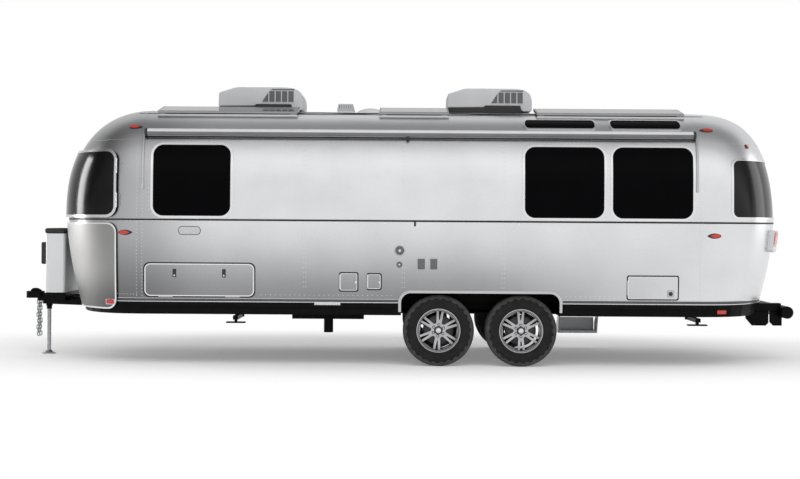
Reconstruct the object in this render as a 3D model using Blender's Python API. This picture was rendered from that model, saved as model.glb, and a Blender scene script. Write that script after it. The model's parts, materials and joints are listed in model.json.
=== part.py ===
"""Twin-axle travel caravan with a rounded, riveted aluminium body, parked on its nose jack.

Metres, +Z up. The floor it stands on is z = 0. -X is the hitch end and +X the tail,
-Y is the street side and +Y the curb side with the entry door.
"""

import math

import bmesh
import bpy
from mathutils import Matrix, Vector

# Clearances
GAP = 0.0003
RUN_CLEARANCE = 0.006
LATCH_CLEARANCE = 0.008
DOOR_CLEARANCE = 0.012
OVERRUN = 0.06
MERGE_DISTANCE = 0.00001
ROW_MARGIN = 0.004

# Body shell: plan, section and end profiles
HALF_WIDTH = 1.29
CROWN_Z = 2.70
BELT_Z = 1.505
WALL_LOW_Z = 0.655
SKIRT_LOW_Z = 0.53
FRONT_SEAM_X = -2.72
STRAIGHT = 5.776
FRONT_REACH = 0.96
REAR_REACH = 1.015
WALL = 0.045
TUCK_SHARE = 0.035
END_TUCK_SHARE = 0.20
ROOF_SPLIT_SHARE = 0.92
TOP_RING_SHARE = 0.996
PLAN_POWER = 2.2
END_TUCK_POWER = 1.6
SECTION_POWER = 5.0
SECTION_ROOT = 0.37
FRONT_POWER = 2.5
FRONT_ROOT = 0.46
REAR_POWER = 2.05
REAR_ROOT = 0.30
CAP_STEPS = 8
ROUND_STEPS = 18
CORNER_STEPS = 4
LOWER_ROW_SHARES = (1.0, 0.72, 0.42, 0.16)
UPPER_ROW_SHARES = (0, 0.22, 0.40, 0.53, 0.635, 0.72, 0.79, 0.85, 0.90, 0.94, 0.972)

# Side windows: name, side, start and end as shares of the straight body, height as shares of
# belt to crown
WINDOW_LOW_SHARE = 0.034
WINDOW_HIGH_SHARE = 0.648
SIDE_WINDOW_SHARES = (
    ("window_street_front", -1, 0.0230, 0.1612),
    ("window_street_middle", -1, 0.6870, 0.8286),
    ("window_street_rear", -1, 0.8440, 0.9872),
    ("window_curb_front", 1, 0.0230, 0.1612),
    ("window_curb_middle", 1, 0.4400, 0.6000),
)
UPPER_WINDOW_LOW_SHARE = 0.816
UPPER_WINDOW_HIGH_SHARE = 0.896
UPPER_WINDOW_SHARES = (
    ("upper_window_street_front", -1, 0.6899, 0.8163),
    ("upper_window_street_rear", -1, 0.8449, 0.9713),
    ("upper_window_curb_front", 1, 0.6899, 0.8163),
    ("upper_window_curb_rear", 1, 0.8449, 0.9713),
)
WINDOW_CORNER = 0.105
UPPER_WINDOW_CORNER = 0.042
GLASS_SET_BACK = 0.004
GLASS_THICKNESS = 0.012

# Wrap-round end windows, their edges as shares of the end's reach
END_WINDOW_LOW_SHARE = 0.030
END_WINDOW_HIGH_SHARE = 0.565
FRONT_WINDOW_EDGE_SHARE = 0.3229
REAR_WINDOW_EDGE_SHARE = 0.3291
END_WINDOW_CORNER = 0.085

# Stand-off guards at the front corners
GUARD_EDGE_SHARE = 0.2552
GUARD_INNER_Y = 0.36
GUARD_STAND_OFF = 0.028
GUARD_THICKNESS = 0.009
WINDOW_GUARD_LOW_SHARE = 0.0167
WINDOW_GUARD_HIGH_SHARE = 0.6109
WINDOW_GUARD_CORNER = 0.11
STONE_GUARD_LOW_SHARE = 0.0462
STONE_GUARD_HIGH_SHARE = 0.9641
STONE_GUARD_CORNER = 0.10
STONE_GUARD_STAND_OFF = 0.016
GUARD_PAD_WIDTH = 0.06
GUARD_HINGE_SHARES = (0.25, 0.75)

# Hinged hatches: name, side, start and end shares of the straight body, low and high shares
# of the lower wall, hinge edge
HATCH_THICKNESS = 0.020
HATCH_CORNER = 0.06
SMALL_HATCH_CORNER = 0.02
HATCH_HINGE_SHARES = (0.2, 0.8)
HATCH_SHARES = (
    ("storage_hatch", -1, 0.0069, 0.2059, 0.061, 0.478, "bottom"),
    ("service_hatch_front", -1, 0.3565, 0.3901, 0.142, 0.371, "front"),
    ("service_hatch_rear", -1, 0.4055, 0.4318, 0.163, 0.361, "front"),
    ("heater_hatch", -1, 0.8709, 0.9628, 0.060, 0.353, "front"),
)

# Knuckle hinges
KNUCKLE_RADIUS = 0.007
KNUCKLE_STAND_OFF = 0.011
KNUCKLE_LENGTH = 0.05
LEAF_REACH = 0.030
LEAF_DEPTH = 0.008
LEAF_RISE = 0.003
KNUCKLE_STEPS = 4

# Entry door
DOOR_START_SHARE = 0.776
DOOR_END_SHARE = 0.888
DOOR_LOW_SHARE = 0.0941
DOOR_HIGH_SHARE = 0.5314
DOOR_CORNER = 0.12
DOOR_WINDOW_EDGE = 0.13
DOOR_WINDOW_LOW_SHARE = 0.0460
DOOR_WINDOW_HIGH_SHARE = 0.4142
DOOR_WINDOW_CORNER = 0.08
DOOR_HINGE_SHARES = (0.12, 0.80)

# Floor, belly pan and chassis
DECK_THICKNESS = 0.062
DECK_SIDE_CLEARANCE = 0.006
PAN_SKIN = 0.014
PAN_WALL = 0.050
RAIL_HALF_SPREAD = 0.58
RAIL_WIDTH = 0.06
RAIL_HEIGHT = 0.095
RAIL_INSET = 0.0095
RAIL_REAR_SHARE = 0.6542
TONGUE_LENGTH = 1.26
APEX_HALF_SPREAD = 0.075
APEX_TOP_Z = 0.678
FRAME_LEAD = 0.30
CROSS_MEMBERS = 9
CROSS_WIDTH = 0.05

# Wheels and axles
AXLE_SET_BACK = 3.088
AXLE_SPREAD = 0.858
TYRE_RADIUS = 0.372
TYRE_HALF_WIDTH = 0.1125
TYRE_SIDES = 40
RIM_SIDES = 24
WHEEL_PLANE_Y = 1.088
RIM_LIP_RADIUS = 0.2215
RIM_SEAT_RADIUS = 0.203
RIM_BORE_RADIUS = 0.188
SPOKE_PAIRS = 6
HUB_FACE_SHARE = 0.09
LUG_ROOT_SHARE = 0.972
# Rim profile: shares of the lip's radius and of the tyre's half width
RIM_SHARES = (
    (0, 0.55), (0.18, 0.55), (0.20, 0.45), (0.42, 0.42), (0.87, 0.60), (0.94, 0.98), (1, 0.98),
    (1, 0.86), (0.92, 0.80), (0.92, -0.80), (1, -0.86), (1, -0.98), (0.88, -0.98), (0.86, 0.18),
    (0.38, 0.16), (0.30, HUB_FACE_SHARE), (0, HUB_FACE_SHARE),
)
# Tyre profile below its lugs: shares of the tyre's radius and half width
TYRE_SHARES = (
    (0.596, -0.89), (0.596, 0.89), (0.80, 1.0), (0.94, 0.94), (LUG_ROOT_SHARE, 0.82),
    (LUG_ROOT_SHARE, 0.30), (LUG_ROOT_SHARE, -0.30), (LUG_ROOT_SHARE, -0.82), (0.94, -0.94),
    (0.80, -1.0),
)
LUG_BANDS = (4, 6)
# Windows between spokes: shift in pairs, inner radius and half turn, outer radius and half turn
SPOKE_WINDOW_SHARES = ((0, 0.44, 0.022, 0.84, 0.050), (0.5, 0.52, 0.007, 0.84, 0.017))
WELL_CLEARANCE = 0.018
WELL_INNER_Y = 0.90
WELL_SKIN = 0.014
WELL_TOP_Z = 0.81
ARCH_TOP_Z = 0.762
ARCH_CORNER = 0.10
AXLE_SIZE = 0.072
AXLE_LEAD = 0.15
AXLE_DROP = 0.004
AXLE_HALF_LENGTH = 0.90
ARM_WIDTH = 0.045
ARM_HEIGHT = 0.06
ARM_SET_IN = 0.003
SPINDLE_RADIUS = 0.045
BRACKET_WIDTH = 0.08

# Hitch: coupler, jack and gas bottle housing
COUPLER_LENGTH = 0.23
COUPLER_HALF_WIDTH = 0.062
COUPLER_CORNER = 0.048
COUPLER_LOW_Z = 0.622
SOCKET_SET_BACK = 0.06
SOCKET_RADIUS = 0.0315
SOCKET_DEPTH = 0.045
COUPLER_HIGH_Z = 0.700
LEVER_SET_BACK = 0.05
COUPLER_LEVER_HIGH_Z = 0.735
COUPLER_LEVER_HALF_WIDTH = 0.022
CHAIN_SET_BACK = 0.145
CHAIN_Y = 0.045
CHAIN_LINKS = 7
LINK_LENGTH = 0.072
LINK_WIDTH = 0.036
LINK_WIRE = 0.0048
CHAIN_EYE = 0.012
CHAIN_EYE_DROP = 0.030
LINK_SHARES = ((0, 1), (1, 0.45), (1, -0.45), (0, -1), (-1, -0.45), (-1, 0.45))
JACK_SET_BACK = 0.025
JACK_TUBE_RADIUS = 0.029
JACK_LEG_RADIUS = 0.022
JACK_TUBE_LOW_Z = 0.50
JACK_TUBE_HIGH_Z = 1.03
JACK_HEAD_HIGH_Z = 1.245
JACK_HEAD_FRONT = 0.085
JACK_HEAD_REAR = 0.028
JACK_HEAD_HALF_WIDTH = 0.050
JACK_FOOT_RADIUS = 0.075
JACK_FOOT_HEIGHT = 0.022
JACK_LEG_OVERLAP = 0.15
JACK_TRAVEL = 0.30
JACK_FLANGE_RADIUS = 0.036
JACK_FLANGE_HEIGHT = 0.012
HOUSING_SET_BACK = 0.062
HOUSING_DEPTH = 0.218
HOUSING_HALF_WIDTH = 0.355
HOUSING_LOW_Z = 0.6984
HOUSING_HIGH_Z = 1.345
HOUSING_WALL = 0.012
HOUSING_CORNER = 0.035
LID_HIGH_Z = 1.403
LID_FRONT_RISE = 0.020
LID_HINGE_Y = 0.22

# Roof equipment
COOLER_SET_BACKS = (0.686, 3.195)
COOLER_LENGTH = 0.925
COOLER_HALF_WIDTH = 0.345
COOLER_BASE_HALF_WIDTH = 0.26
COOLER_HEIGHT = 0.268
COOLER_NOSE_SHARES = (
    (0, 0.12), (0, 0.45), (0.16, 0.93), (0.24, 1.0), (0.90, 1.0), (0.985, 0.88), (1.0, 0.60),
    (1.0, 0.12),
)
LOUVRES = 6
LOUVRE_SPAN_SHARES = (0.68, 0.95)
LOUVRE_RISE_SHARES = (0.26, 0.84)
LOUVRE_STAND = 0.006
VENT_SET_BACK = 1.978
VENT_LENGTH = 0.188
VENT_HALF_WIDTH = 0.16
VENT_HEIGHT = 0.1045
DOME_SET_BACK = 2.19
DOME_LENGTH = 0.31
DOME_HALF_WIDTH = 0.20
DOME_HEIGHT = 0.0665
PANEL_STARTS_SHARES = (0.018, 0.425, 0.714)
PANEL_ENDS_SHARES = (0.275, 0.553, 0.985)
PANEL_OUTER_Y = 0.86
PANEL_INNER_Y = 0.45
PANEL_THICKNESS = 0.022
PANEL_LIFT = 0.030
PANEL_FOOT = 0.045

# Awnings
AWNING_START_SHARE = 0.006
AWNING_END_SHARE = 0.994
AWNING_SHARE = 0.7573
AWNING_RADIUS = 0.040
AWNING_STAND_OFF = 0.056
AWNING_SIDES = 14
ARM_STRIP_WIDTH = 0.028
ARM_STRIP_DEPTH = 0.022
ARM_LOW_SHARE = 0.2803
CRADLE_DROP = 0.020
CRADLE_SHARE = 0.475
ARM_TOP_ROW_SHARE = 0.85

# Under the floor: stabilisers, drain and step
STABILISER_SET_BACKS = (0.96, 5.82)
STABILISER_PIVOT_Y = 0.50
STABILISER_PIVOT_Z = 0.478
STABILISER_LENGTH = 0.50
STABILISER_WIDTH = 0.055
STABILISER_HEIGHT = 0.040
STABILISER_FOOT = 0.20
STABILISER_FOOT_THICKNESS = 0.012
EAR = 0.012
EYE_RADIUS = 0.020
PIPE_SET_BACK = 1.53
PIPE_LENGTH = 0.77
PIPE_RADIUS = 0.042
PIPE_Y = -0.62
PIPE_Z = 0.488
OUTLET_SET_BACK = 1.92
OUTLET_RADIUS = 0.050
OUTLET_LOW_Z = 0.305
TANK_LEAD = 0.08
TANK_LENGTH = 0.56
TANK_LOW_Z = 0.475
TANK_HALF_WIDTH = 0.30
STEP_INSET = 0.098
STEP_LENGTH = 0.47
STEP_PIVOT_Y = 1.02
STEP_PIVOT_Z = 0.492
STEP_LOW_Z = 0.18
STEP_TREAD_DEPTH = 0.21
STEP_TREAD_OUT_Y = 1.34
STEP_TREAD_THICKNESS = 0.030
STEP_ARM_THICKNESS = 0.014

# Rear bumper
BUMPER_STAND_OFF = 0.069
BUMPER_Z = 0.545
BUMPER_RADIUS = 0.068
BUMPER_HALF_LENGTH = 0.62
BUMPER_ARM_Y = 0.45
BUMPER_ARM_WIDTH = 0.10
BUMPER_ARM_HEIGHT = 0.080
BUMPER_ARM_LOW_Z = 0.562
BUMPER_SLOT = 0.00475
BUMPER_PLATE_LOW_Z = 0.365
BUMPER_PLATE_DEPTH = 0.18
BUMPER_PLATE_LEAD = 0.08
BUMPER_PLATE_THICKNESS = 0.016
BUMPER_PLATE_Y = 0.47

# Lamps on the end shells: end, start and end shares of its reach, low and high shares of the
# lower or the upper wall
LAMP_STAND_OFF = 0.014
LAMP_CORNER = 0.014
MARKER_SHARES = (
    (-1, 0.104, 0.250, "lower", 0.815, 0.867), (-1, 0.021, 0.167, "upper", 0.793, 0.830),
    (1, 0.073, 0.231, "lower", 0.815, 0.867), (1, 0.024, 0.162, "upper", 0.793, 0.830),
)
TAIL_LAMP_STAND_OFF = 0.045
TAIL_LAMP_SHARES = (0.43, 0.62, 0.64, 0.91)

# Fittings on the walls: latches as shares of their hatch, sockets by set-back, height and size
LATCH_SHARES = (
    ("storage_hatch", 0.277, 0.785), ("storage_hatch", 0.722, 0.785), ("heater_hatch", 0.82, 0.20),
)
LATCH_HALF_WIDTH = 0.018
LATCH_HALF_HEIGHT = 0.043
LATCH_STAND_OFF = 0.012
INLETS = ((2.682, 1.201, 0.060), (2.678, 1.056, 0.040))
OUTLETS = ((2.859, 0.091, 1.066, 0.128), (2.989, 0.088, 1.066, 0.128))
FITTING_DEPTH = 0.010
HANDLE_INSET = 0.085
HANDLE_RISE_SHARE = 0.60
HANDLE_HALF_WIDTH = 0.045
HANDLE_HALF_HEIGHT = 0.085
HANDLE_STAND_OFF = 0.020

# Worked out from the sizes above
REAR_SEAM_X = FRONT_SEAM_X + STRAIGHT
FRONT_WINDOW_EDGE_X = FRONT_SEAM_X - FRONT_WINDOW_EDGE_SHARE * FRONT_REACH
REAR_WINDOW_EDGE_X = REAR_SEAM_X + REAR_WINDOW_EDGE_SHARE * REAR_REACH
GUARD_EDGE_X = FRONT_SEAM_X - GUARD_EDGE_SHARE * FRONT_REACH
WINDOW_GUARD_LOW_Z = BELT_Z + WINDOW_GUARD_LOW_SHARE * (CROWN_Z - BELT_Z)
WINDOW_GUARD_HIGH_Z = BELT_Z + WINDOW_GUARD_HIGH_SHARE * (CROWN_Z - BELT_Z)
STONE_GUARD_LOW_Z = SKIRT_LOW_Z + STONE_GUARD_LOW_SHARE * (BELT_Z - SKIRT_LOW_Z)
STONE_GUARD_HIGH_Z = SKIRT_LOW_Z + STONE_GUARD_HIGH_SHARE * (BELT_Z - SKIRT_LOW_Z)
DOOR_LOW_Z = WALL_LOW_Z + DOOR_LOW_SHARE * (BELT_Z - WALL_LOW_Z)
DOOR_HIGH_Z = BELT_Z + DOOR_HIGH_SHARE * (CROWN_Z - BELT_Z)
DOOR_WINDOW_LOW_Z = BELT_Z + DOOR_WINDOW_LOW_SHARE * (CROWN_Z - BELT_Z)
DOOR_WINDOW_HIGH_Z = BELT_Z + DOOR_WINDOW_HIGH_SHARE * (CROWN_Z - BELT_Z)
AWNING_Z = BELT_Z + AWNING_SHARE * (CROWN_Z - BELT_Z)
ARM_LOW_Z = BELT_Z + ARM_LOW_SHARE * (CROWN_Z - BELT_Z)
RAIL_REAR_X = REAR_SEAM_X + RAIL_REAR_SHARE * REAR_REACH
FRAME_FRONT_X = FRONT_SEAM_X - FRAME_LEAD
APEX_X = FRONT_SEAM_X - TONGUE_LENGTH
COUPLER_NOSE_X = APEX_X - COUPLER_LENGTH
JACK_X = APEX_X + JACK_SET_BACK
HOUSING_FRONT_X = APEX_X + HOUSING_SET_BACK
HOUSING_REAR_X = HOUSING_FRONT_X + HOUSING_DEPTH
WHEEL_X = (FRONT_SEAM_X + AXLE_SET_BACK, FRONT_SEAM_X + AXLE_SET_BACK + AXLE_SPREAD)
WHEEL_CENTRE_Z = TYRE_RADIUS * math.cos(math.pi / TYRE_SIDES)
WELL_FRONT_X = WHEEL_X[0] - TYRE_RADIUS - WELL_CLEARANCE
WELL_REAR_X = WHEEL_X[1] + TYRE_RADIUS + WELL_CLEARANCE
VENT_FRONT_X = FRONT_SEAM_X + VENT_SET_BACK
DOME_FRONT_X = FRONT_SEAM_X + DOME_SET_BACK
PIPE_FRONT_X = FRONT_SEAM_X + PIPE_SET_BACK
OUTLET_X = FRONT_SEAM_X + OUTLET_SET_BACK
TANK_FRONT_X = FRONT_SEAM_X - TANK_LEAD
BUMPER_X = REAR_SEAM_X + REAR_REACH + BUMPER_STAND_OFF
BUMPER_PLATE_REAR_X = BUMPER_X - BUMPER_PLATE_LEAD
DECK_TOP_Z = WALL_LOW_Z + DECK_THICKNESS
ROOF_SPLIT_Z = BELT_Z + ROOF_SPLIT_SHARE * (CROWN_Z - BELT_Z)
FAR = HALF_WIDTH + OVERRUN + AWNING_RADIUS
DOOR_FRONT_X = FRONT_SEAM_X + DOOR_START_SHARE * STRAIGHT
DOOR_REAR_X = FRONT_SEAM_X + DOOR_END_SHARE * STRAIGHT
STEP_FRONT_X = DOOR_FRONT_X + STEP_INSET
STEP_REAR_X = STEP_FRONT_X + STEP_LENGTH

FINISHES = {
    "aluminium": ((0.62, 0.63, 0.65), 0.30, 1.0),
    "black_paint": ((0.02, 0.02, 0.022), 0.50, 0.0),
    "dark_glass": ((0.01, 0.01, 0.012), 0.08, 0.0),
    "white_paint": ((0.80, 0.81, 0.82), 0.35, 0.0),
    "stainless": ((0.70, 0.70, 0.69), 0.25, 1.0),
    "rubber": ((0.03, 0.03, 0.03), 0.85, 0.0),
    "alloy": ((0.45, 0.46, 0.48), 0.30, 1.0),
    "plywood": ((0.45, 0.33, 0.20), 0.70, 0.0),
    "galvanised": ((0.42, 0.43, 0.44), 0.50, 0.8),
}


def clear_scene():
    """Removes what a new file holds."""
    for item in list(bpy.data.objects):
        bpy.data.objects.remove(item, do_unlink=True)


def finish_of(name):
    """Returns the material of a finish, made once."""
    found = bpy.data.materials.get(name)
    if found:
        return found
    colour, roughness, metallic = FINISHES[name]
    made = bpy.data.materials.new(name)
    made.use_nodes = True
    shader = made.node_tree.nodes["Principled BSDF"]
    shader.inputs["Base Color"].default_value = (*colour, 1)
    shader.inputs["Roughness"].default_value = roughness
    shader.inputs["Metallic"].default_value = metallic
    return made


def add_object(name, bm, finish=None):
    """Puts a bmesh in the scene: a node with a finish, or else a hidden cutter."""
    bmesh.ops.remove_doubles(bm, verts=bm.verts, dist=MERGE_DISTANCE)
    bmesh.ops.recalc_face_normals(bm, faces=bm.faces)
    mesh = bpy.data.meshes.new(name)
    bm.to_mesh(mesh)
    bm.free()
    item = bpy.data.objects.new(name, mesh)
    bpy.context.scene.collection.objects.link(item)
    if finish:
        mesh.materials.append(finish_of(finish))
    else:
        item.hide_render = True
        item.display_type = "WIRE"
    return item


def change(target, other, operation):
    """Cuts, joins or crops target with another closed solid."""
    modifier = target.modifiers.new(operation.lower(), "BOOLEAN")
    modifier.operation = operation
    modifier.object = other
    modifier.solver = "EXACT"


def cut(target, other):
    """Takes the other solid out of target."""
    change(target, other, "DIFFERENCE")


def join(target, other):
    """Fuses the other solid to target."""
    change(target, other, "UNION")


def crop(target, other):
    """Keeps what target shares with the other solid."""
    change(target, other, "INTERSECT")


def box(name, low, high, finish=None):
    """A block between two corners."""
    bm = bmesh.new()
    centre = (Vector(low) + Vector(high)) / 2
    size = Vector(high) - Vector(low)
    bmesh.ops.create_cube(bm, size=1, matrix=Matrix.Translation(centre) @ Matrix.Diagonal((*size, 1)))
    return add_object(name, bm, finish)


def rod(name, start, end, radius, finish=None, sides=ROUND_STEPS, end_radius=None):
    """A round bar or cone between two points, a flat side facing down when it lies level."""
    bm = bmesh.new()
    axis = Vector(end) - Vector(start)
    turn = axis.to_track_quat("Z", "Y").to_matrix().to_4x4()
    place = Matrix.Translation((Vector(start) + Vector(end)) / 2) @ turn
    bmesh.ops.create_cone(
        bm, cap_ends=True, segments=sides, radius1=radius,
        radius2=radius if end_radius is None else end_radius, depth=axis.length, matrix=place,
    )
    return add_object(name, bm, finish)


def prism(name, outline, start, step, finish=None):
    """Extrudes an outline of points, given in 3-D, by one step from start."""
    bm = bmesh.new()
    face = bm.faces.new([bm.verts.new(Vector(point) + Vector(start)) for point in outline])
    grown = bmesh.ops.extrude_face_region(bm, geom=[face])
    bmesh.ops.translate(bm, vec=step, verts=[v for v in grown["geom"] if isinstance(v, bmesh.types.BMVert)])
    return add_object(name, bm, finish)


def rounded(left, right, low, high, corner, steps=CORNER_STEPS):
    """Points of a rectangle with round corners, as pairs."""
    corner = min(corner, (right - left) / 2, (high - low) / 2)
    centres = (
        (right - corner, low + corner, -90), (right - corner, high - corner, 0),
        (left + corner, high - corner, 90), (left + corner, low + corner, 180),
    )
    points = []
    for across, up, start in centres:
        for step in range(steps + 1):
            angle = math.radians(start + 90 * step / steps)
            points.append((across + corner * math.cos(angle), up + corner * math.sin(angle)))
    return points


def side_prism(name, left, right, low, high, corner, near_y, far_y, finish=None):
    """A rounded block that runs along Y, seen round from the side."""
    outline = [(x, 0, z) for x, z in rounded(left, right, low, high, corner)]
    return prism(name, outline, (0, near_y, 0), (0, far_y - near_y, 0), finish)


def turned(name, profile, centre, outward, sides, finish=None, lugs=()):
    """Turns a closed profile of (radius, offset) about the Y axis through centre.

    Every other face of the bands that start at the profile points in lugs grows into a lug.
    """
    bm = bmesh.new()
    rings = []
    for side in range(sides):
        angle = 2 * math.pi * (side + 0.5) / sides - math.pi / 2
        ring = []
        for radius, offset in profile:
            spot = (radius * math.cos(angle), outward * offset, radius * math.sin(angle))
            ring.append(bm.verts.new(Vector(spot) + Vector(centre)))
        rings.append(ring)
    blocks = []
    for side, (here, there) in enumerate(zip(rings, shifted(rings))):
        corners = zip(here, shifted(here), shifted(there), there)
        for point, four in enumerate(corners):
            face = bm.faces.new(four)
            if side % 2 and point in lugs:
                blocks.append(face)
    grown = bmesh.ops.extrude_discrete_faces(bm, faces=blocks)["faces"] if blocks else ()
    for vertex in {v for face in grown for v in face.verts}:
        spoke = vertex.co - Vector(centre)
        spoke.y = 0
        vertex.co += spoke * (1 / LUG_ROOT_SHARE - 1)
    bmesh.ops.remove_doubles(bm, verts=bm.verts, dist=MERGE_DISTANCE)
    return add_object(name, bm, finish)


def shifted(items):
    """The same ring of items, one place further round."""
    return items[1:] + items[:1]


def section_half_width(z, offset):
    """Half the body's width at a height, moved out by offset."""
    reach = HALF_WIDTH + offset
    if z < BELT_Z:
        share = (BELT_Z - z) / (BELT_Z - SKIRT_LOW_Z)
        return reach - HALF_WIDTH * TUCK_SHARE * share * share
    share = (z - BELT_Z) / (CROWN_Z + offset - BELT_Z)
    return reach * (1 - min(share, 1) ** SECTION_POWER) ** SECTION_ROOT


def skin_y(x, z, offset):
    """Distance of the body's side from the centre plane at a place and height."""
    across = section_half_width(z, offset)
    past = max(FRONT_SEAM_X - x, x - REAR_SEAM_X, 0)
    share = past / end_reach(z, offset, -1 if x < FRONT_SEAM_X else 1)
    return across * (1 - share ** PLAN_POWER) ** (1 / PLAN_POWER)


def end_reach(z, offset, end):
    """How far the rounded end stands past its seam at a height, moved out by offset."""
    full, power, root = (
        (FRONT_REACH, FRONT_POWER, FRONT_ROOT) if end < 0 else (REAR_REACH, REAR_POWER, REAR_ROOT)
    )
    reach = full + offset
    if z < BELT_Z:
        share = (BELT_Z - z) / (BELT_Z - SKIRT_LOW_Z)
        return reach - full * END_TUCK_SHARE * share ** END_TUCK_POWER
    share = (z - BELT_Z) / (CROWN_Z + offset - BELT_Z)
    return reach * (1 - min(share, 1) ** power) ** root


def body_ring(z, offset):
    """The body's plan outline at a height, anticlockwise from the street side's rear seam."""
    across = section_half_width(z, offset)
    points = []
    for end, seam in ((1, REAR_SEAM_X), (-1, FRONT_SEAM_X)):
        reach = end_reach(z, offset, end)
        for step in range(2 * CAP_STEPS + 1):
            angle = math.pi * (step / (2 * CAP_STEPS) - 0.5)
            along = abs(math.cos(angle)) ** (2 / PLAN_POWER)
            over = abs(math.sin(angle)) ** (2 / PLAN_POWER) * (1 if math.sin(angle) > 0 else -1)
            points.append((seam + end * reach * along, end * across * over, z))
    return points


def body_rows(low, high, offset):
    """Heights of the rings between two heights, from the body's own rows."""
    top = CROWN_Z + offset
    rows = [BELT_Z - share * (BELT_Z - WALL_LOW_Z) for share in LOWER_ROW_SHARES]
    rows += [BELT_Z + share * (top - BELT_Z) for share in UPPER_ROW_SHARES]
    inside = [row for row in rows if low + ROW_MARGIN < row < high - ROW_MARGIN]
    return [low, *inside, high]


def bridge(bm, lower, upper):
    """Joins two rings with a band of triangles, split the same way on every skin."""
    for here, there, far_up, near_up in zip(lower, shifted(lower), shifted(upper), upper):
        bm.faces.new((here, there, far_up))
        bm.faces.new((here, far_up, near_up))


def body_solid(name, low, high, offset, finish=None):
    """The whole body's outer form between two heights, moved out by offset."""
    bm = bmesh.new()
    rings = [[bm.verts.new(p) for p in body_ring(z, offset)] for z in body_rows(low, high, offset)]
    for lower, upper in zip(rings, rings[1:]):
        bridge(bm, lower, upper)
    bm.faces.new(rings[0])
    bm.faces.new(rings[-1])
    return add_object(name, bm, finish)


def top_of(offset):
    """Height of the flat top of the crown."""
    return BELT_Z + TOP_RING_SHARE * (CROWN_Z + offset - BELT_Z)


def body_skin(name, low, high, outer, inner, finish=None, closed_top=False):
    """A skin that follows the body between two offsets, open or closed at the crown."""
    bm = bmesh.new()
    stacks = []
    for offset in (outer, inner):
        top = top_of(offset) if closed_top else high
        rows = body_rows(low, top, offset)
        stacks.append([[bm.verts.new(p) for p in body_ring(z, offset)] for z in rows])
    for rings in stacks:
        for lower, upper in zip(rings, rings[1:]):
            bridge(bm, lower, upper)
        if closed_top:
            bm.faces.new(rings[-1])
    bridge(bm, stacks[0][0], stacks[1][0])
    if not closed_top:
        bridge(bm, stacks[0][-1], stacks[1][-1])
    return add_object(name, bm, finish)


def along(share):
    """A place along the straight body, from its share."""
    return FRONT_SEAM_X + share * STRAIGHT


def lower_wall(share):
    """A height on the wall below the belt, from its share."""
    return WALL_LOW_Z + share * (BELT_Z - WALL_LOW_Z)


def upper_wall(share):
    """A height between belt and crown, from its share."""
    return BELT_Z + share * (CROWN_Z - BELT_Z)


def skin_patch(name, side, span, outer, inner, corner, finish, trim=0):
    """A piece of skin inside a rounded side outline (left, right, low, high), less trim."""
    left, right, low, high = span
    patch = body_skin(name, low - OVERRUN, high + OVERRUN, outer, inner, finish)
    window = side_prism(
        name + "_outline", left + trim, right - trim, low + trim, high - trim, corner,
        0, side * FAR,
    )
    crop(patch, window)
    return patch


def side_hole(target, name, side, span, corner):
    """Cuts a rounded hole in a side wall."""
    left, right, low, high = span
    cut(target, side_prism(name + "_hole", left, right, low, high, corner, 0, side * FAR))


def knuckle(name, centre, axis, outward, toward, drop):
    """One hinge knuckle: a barrel round centre and a leaf that drops into its carrier's skin."""
    points = []
    for step in range(KNUCKLE_STEPS + 1):
        angle = math.pi * (0.5 + step / KNUCKLE_STEPS)
        points.append((KNUCKLE_RADIUS * math.cos(angle), KNUCKLE_RADIUS * math.sin(angle)))
    points += [(0, -drop - LEAF_DEPTH), (LEAF_REACH, -drop - LEAF_DEPTH), (LEAF_REACH, LEAF_RISE - drop)]
    outline = [Vector(toward) * across + Vector(outward) * up for across, up in points]
    start = centre - axis * KNUCKLE_LENGTH / 2
    return prism(name, outline, start, axis * KNUCKLE_LENGTH)


def hinge(name, fixed, moving, centre, axis, outward, toward, fixed_drop, moving_drop):
    """Three knuckles in a row: the middle one on the moving piece, the others on the fixed."""
    centre, axis, toward = Vector(centre), Vector(axis), Vector(toward)
    join(moving, knuckle(name + "_moving", centre, axis, outward, toward, moving_drop))
    step = KNUCKLE_LENGTH + GAP
    for side in (-1, 1):
        spot = centre + axis * side * step
        join(fixed, knuckle(name + "_fixed", spot, axis, outward, -toward, fixed_drop))


def pivot_empty(name, place, pieces):
    """An empty on a joint's axis that carries the moving pieces."""
    empty = bpy.data.objects.new(name, None)
    empty.location = place
    bpy.context.scene.collection.objects.link(empty)
    bpy.context.view_layer.update()
    for piece in pieces:
        piece.parent = empty
        piece.matrix_parent_inverse = empty.matrix_world.inverted()
    return empty


def build_body():
    """The walls, roof and ends of the hollow body, split at its seams."""
    whole = {}
    edge = GAP / 2
    spans = {
        "front_end_shell": ((-FAR * 4, -FAR, 0), (FRONT_SEAM_X - edge, FAR, CROWN_Z + OVERRUN)),
        "rear_end_shell": ((REAR_SEAM_X + edge, -FAR, 0), (FAR * 4, FAR, CROWN_Z + OVERRUN)),
        "roof_panel": (
            (FRONT_SEAM_X + edge, -FAR, ROOF_SPLIT_Z + edge), (REAR_SEAM_X - edge, FAR, CROWN_Z + OVERRUN)
        ),
        "side_wall_street": (
            (FRONT_SEAM_X + edge, -FAR, 0), (REAR_SEAM_X - edge, 0, ROOF_SPLIT_Z - edge)
        ),
        "side_wall_curb": (
            (FRONT_SEAM_X + edge, 0, 0), (REAR_SEAM_X - edge, FAR, ROOF_SPLIT_Z - edge)
        ),
    }
    for name, (low, high) in spans.items():
        panel = body_skin(name, WALL_LOW_Z, CROWN_Z, 0, -WALL, "aluminium", closed_top=True)
        crop(panel, box(name + "_span", low, high))
        whole[name] = panel
    return whole


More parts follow.
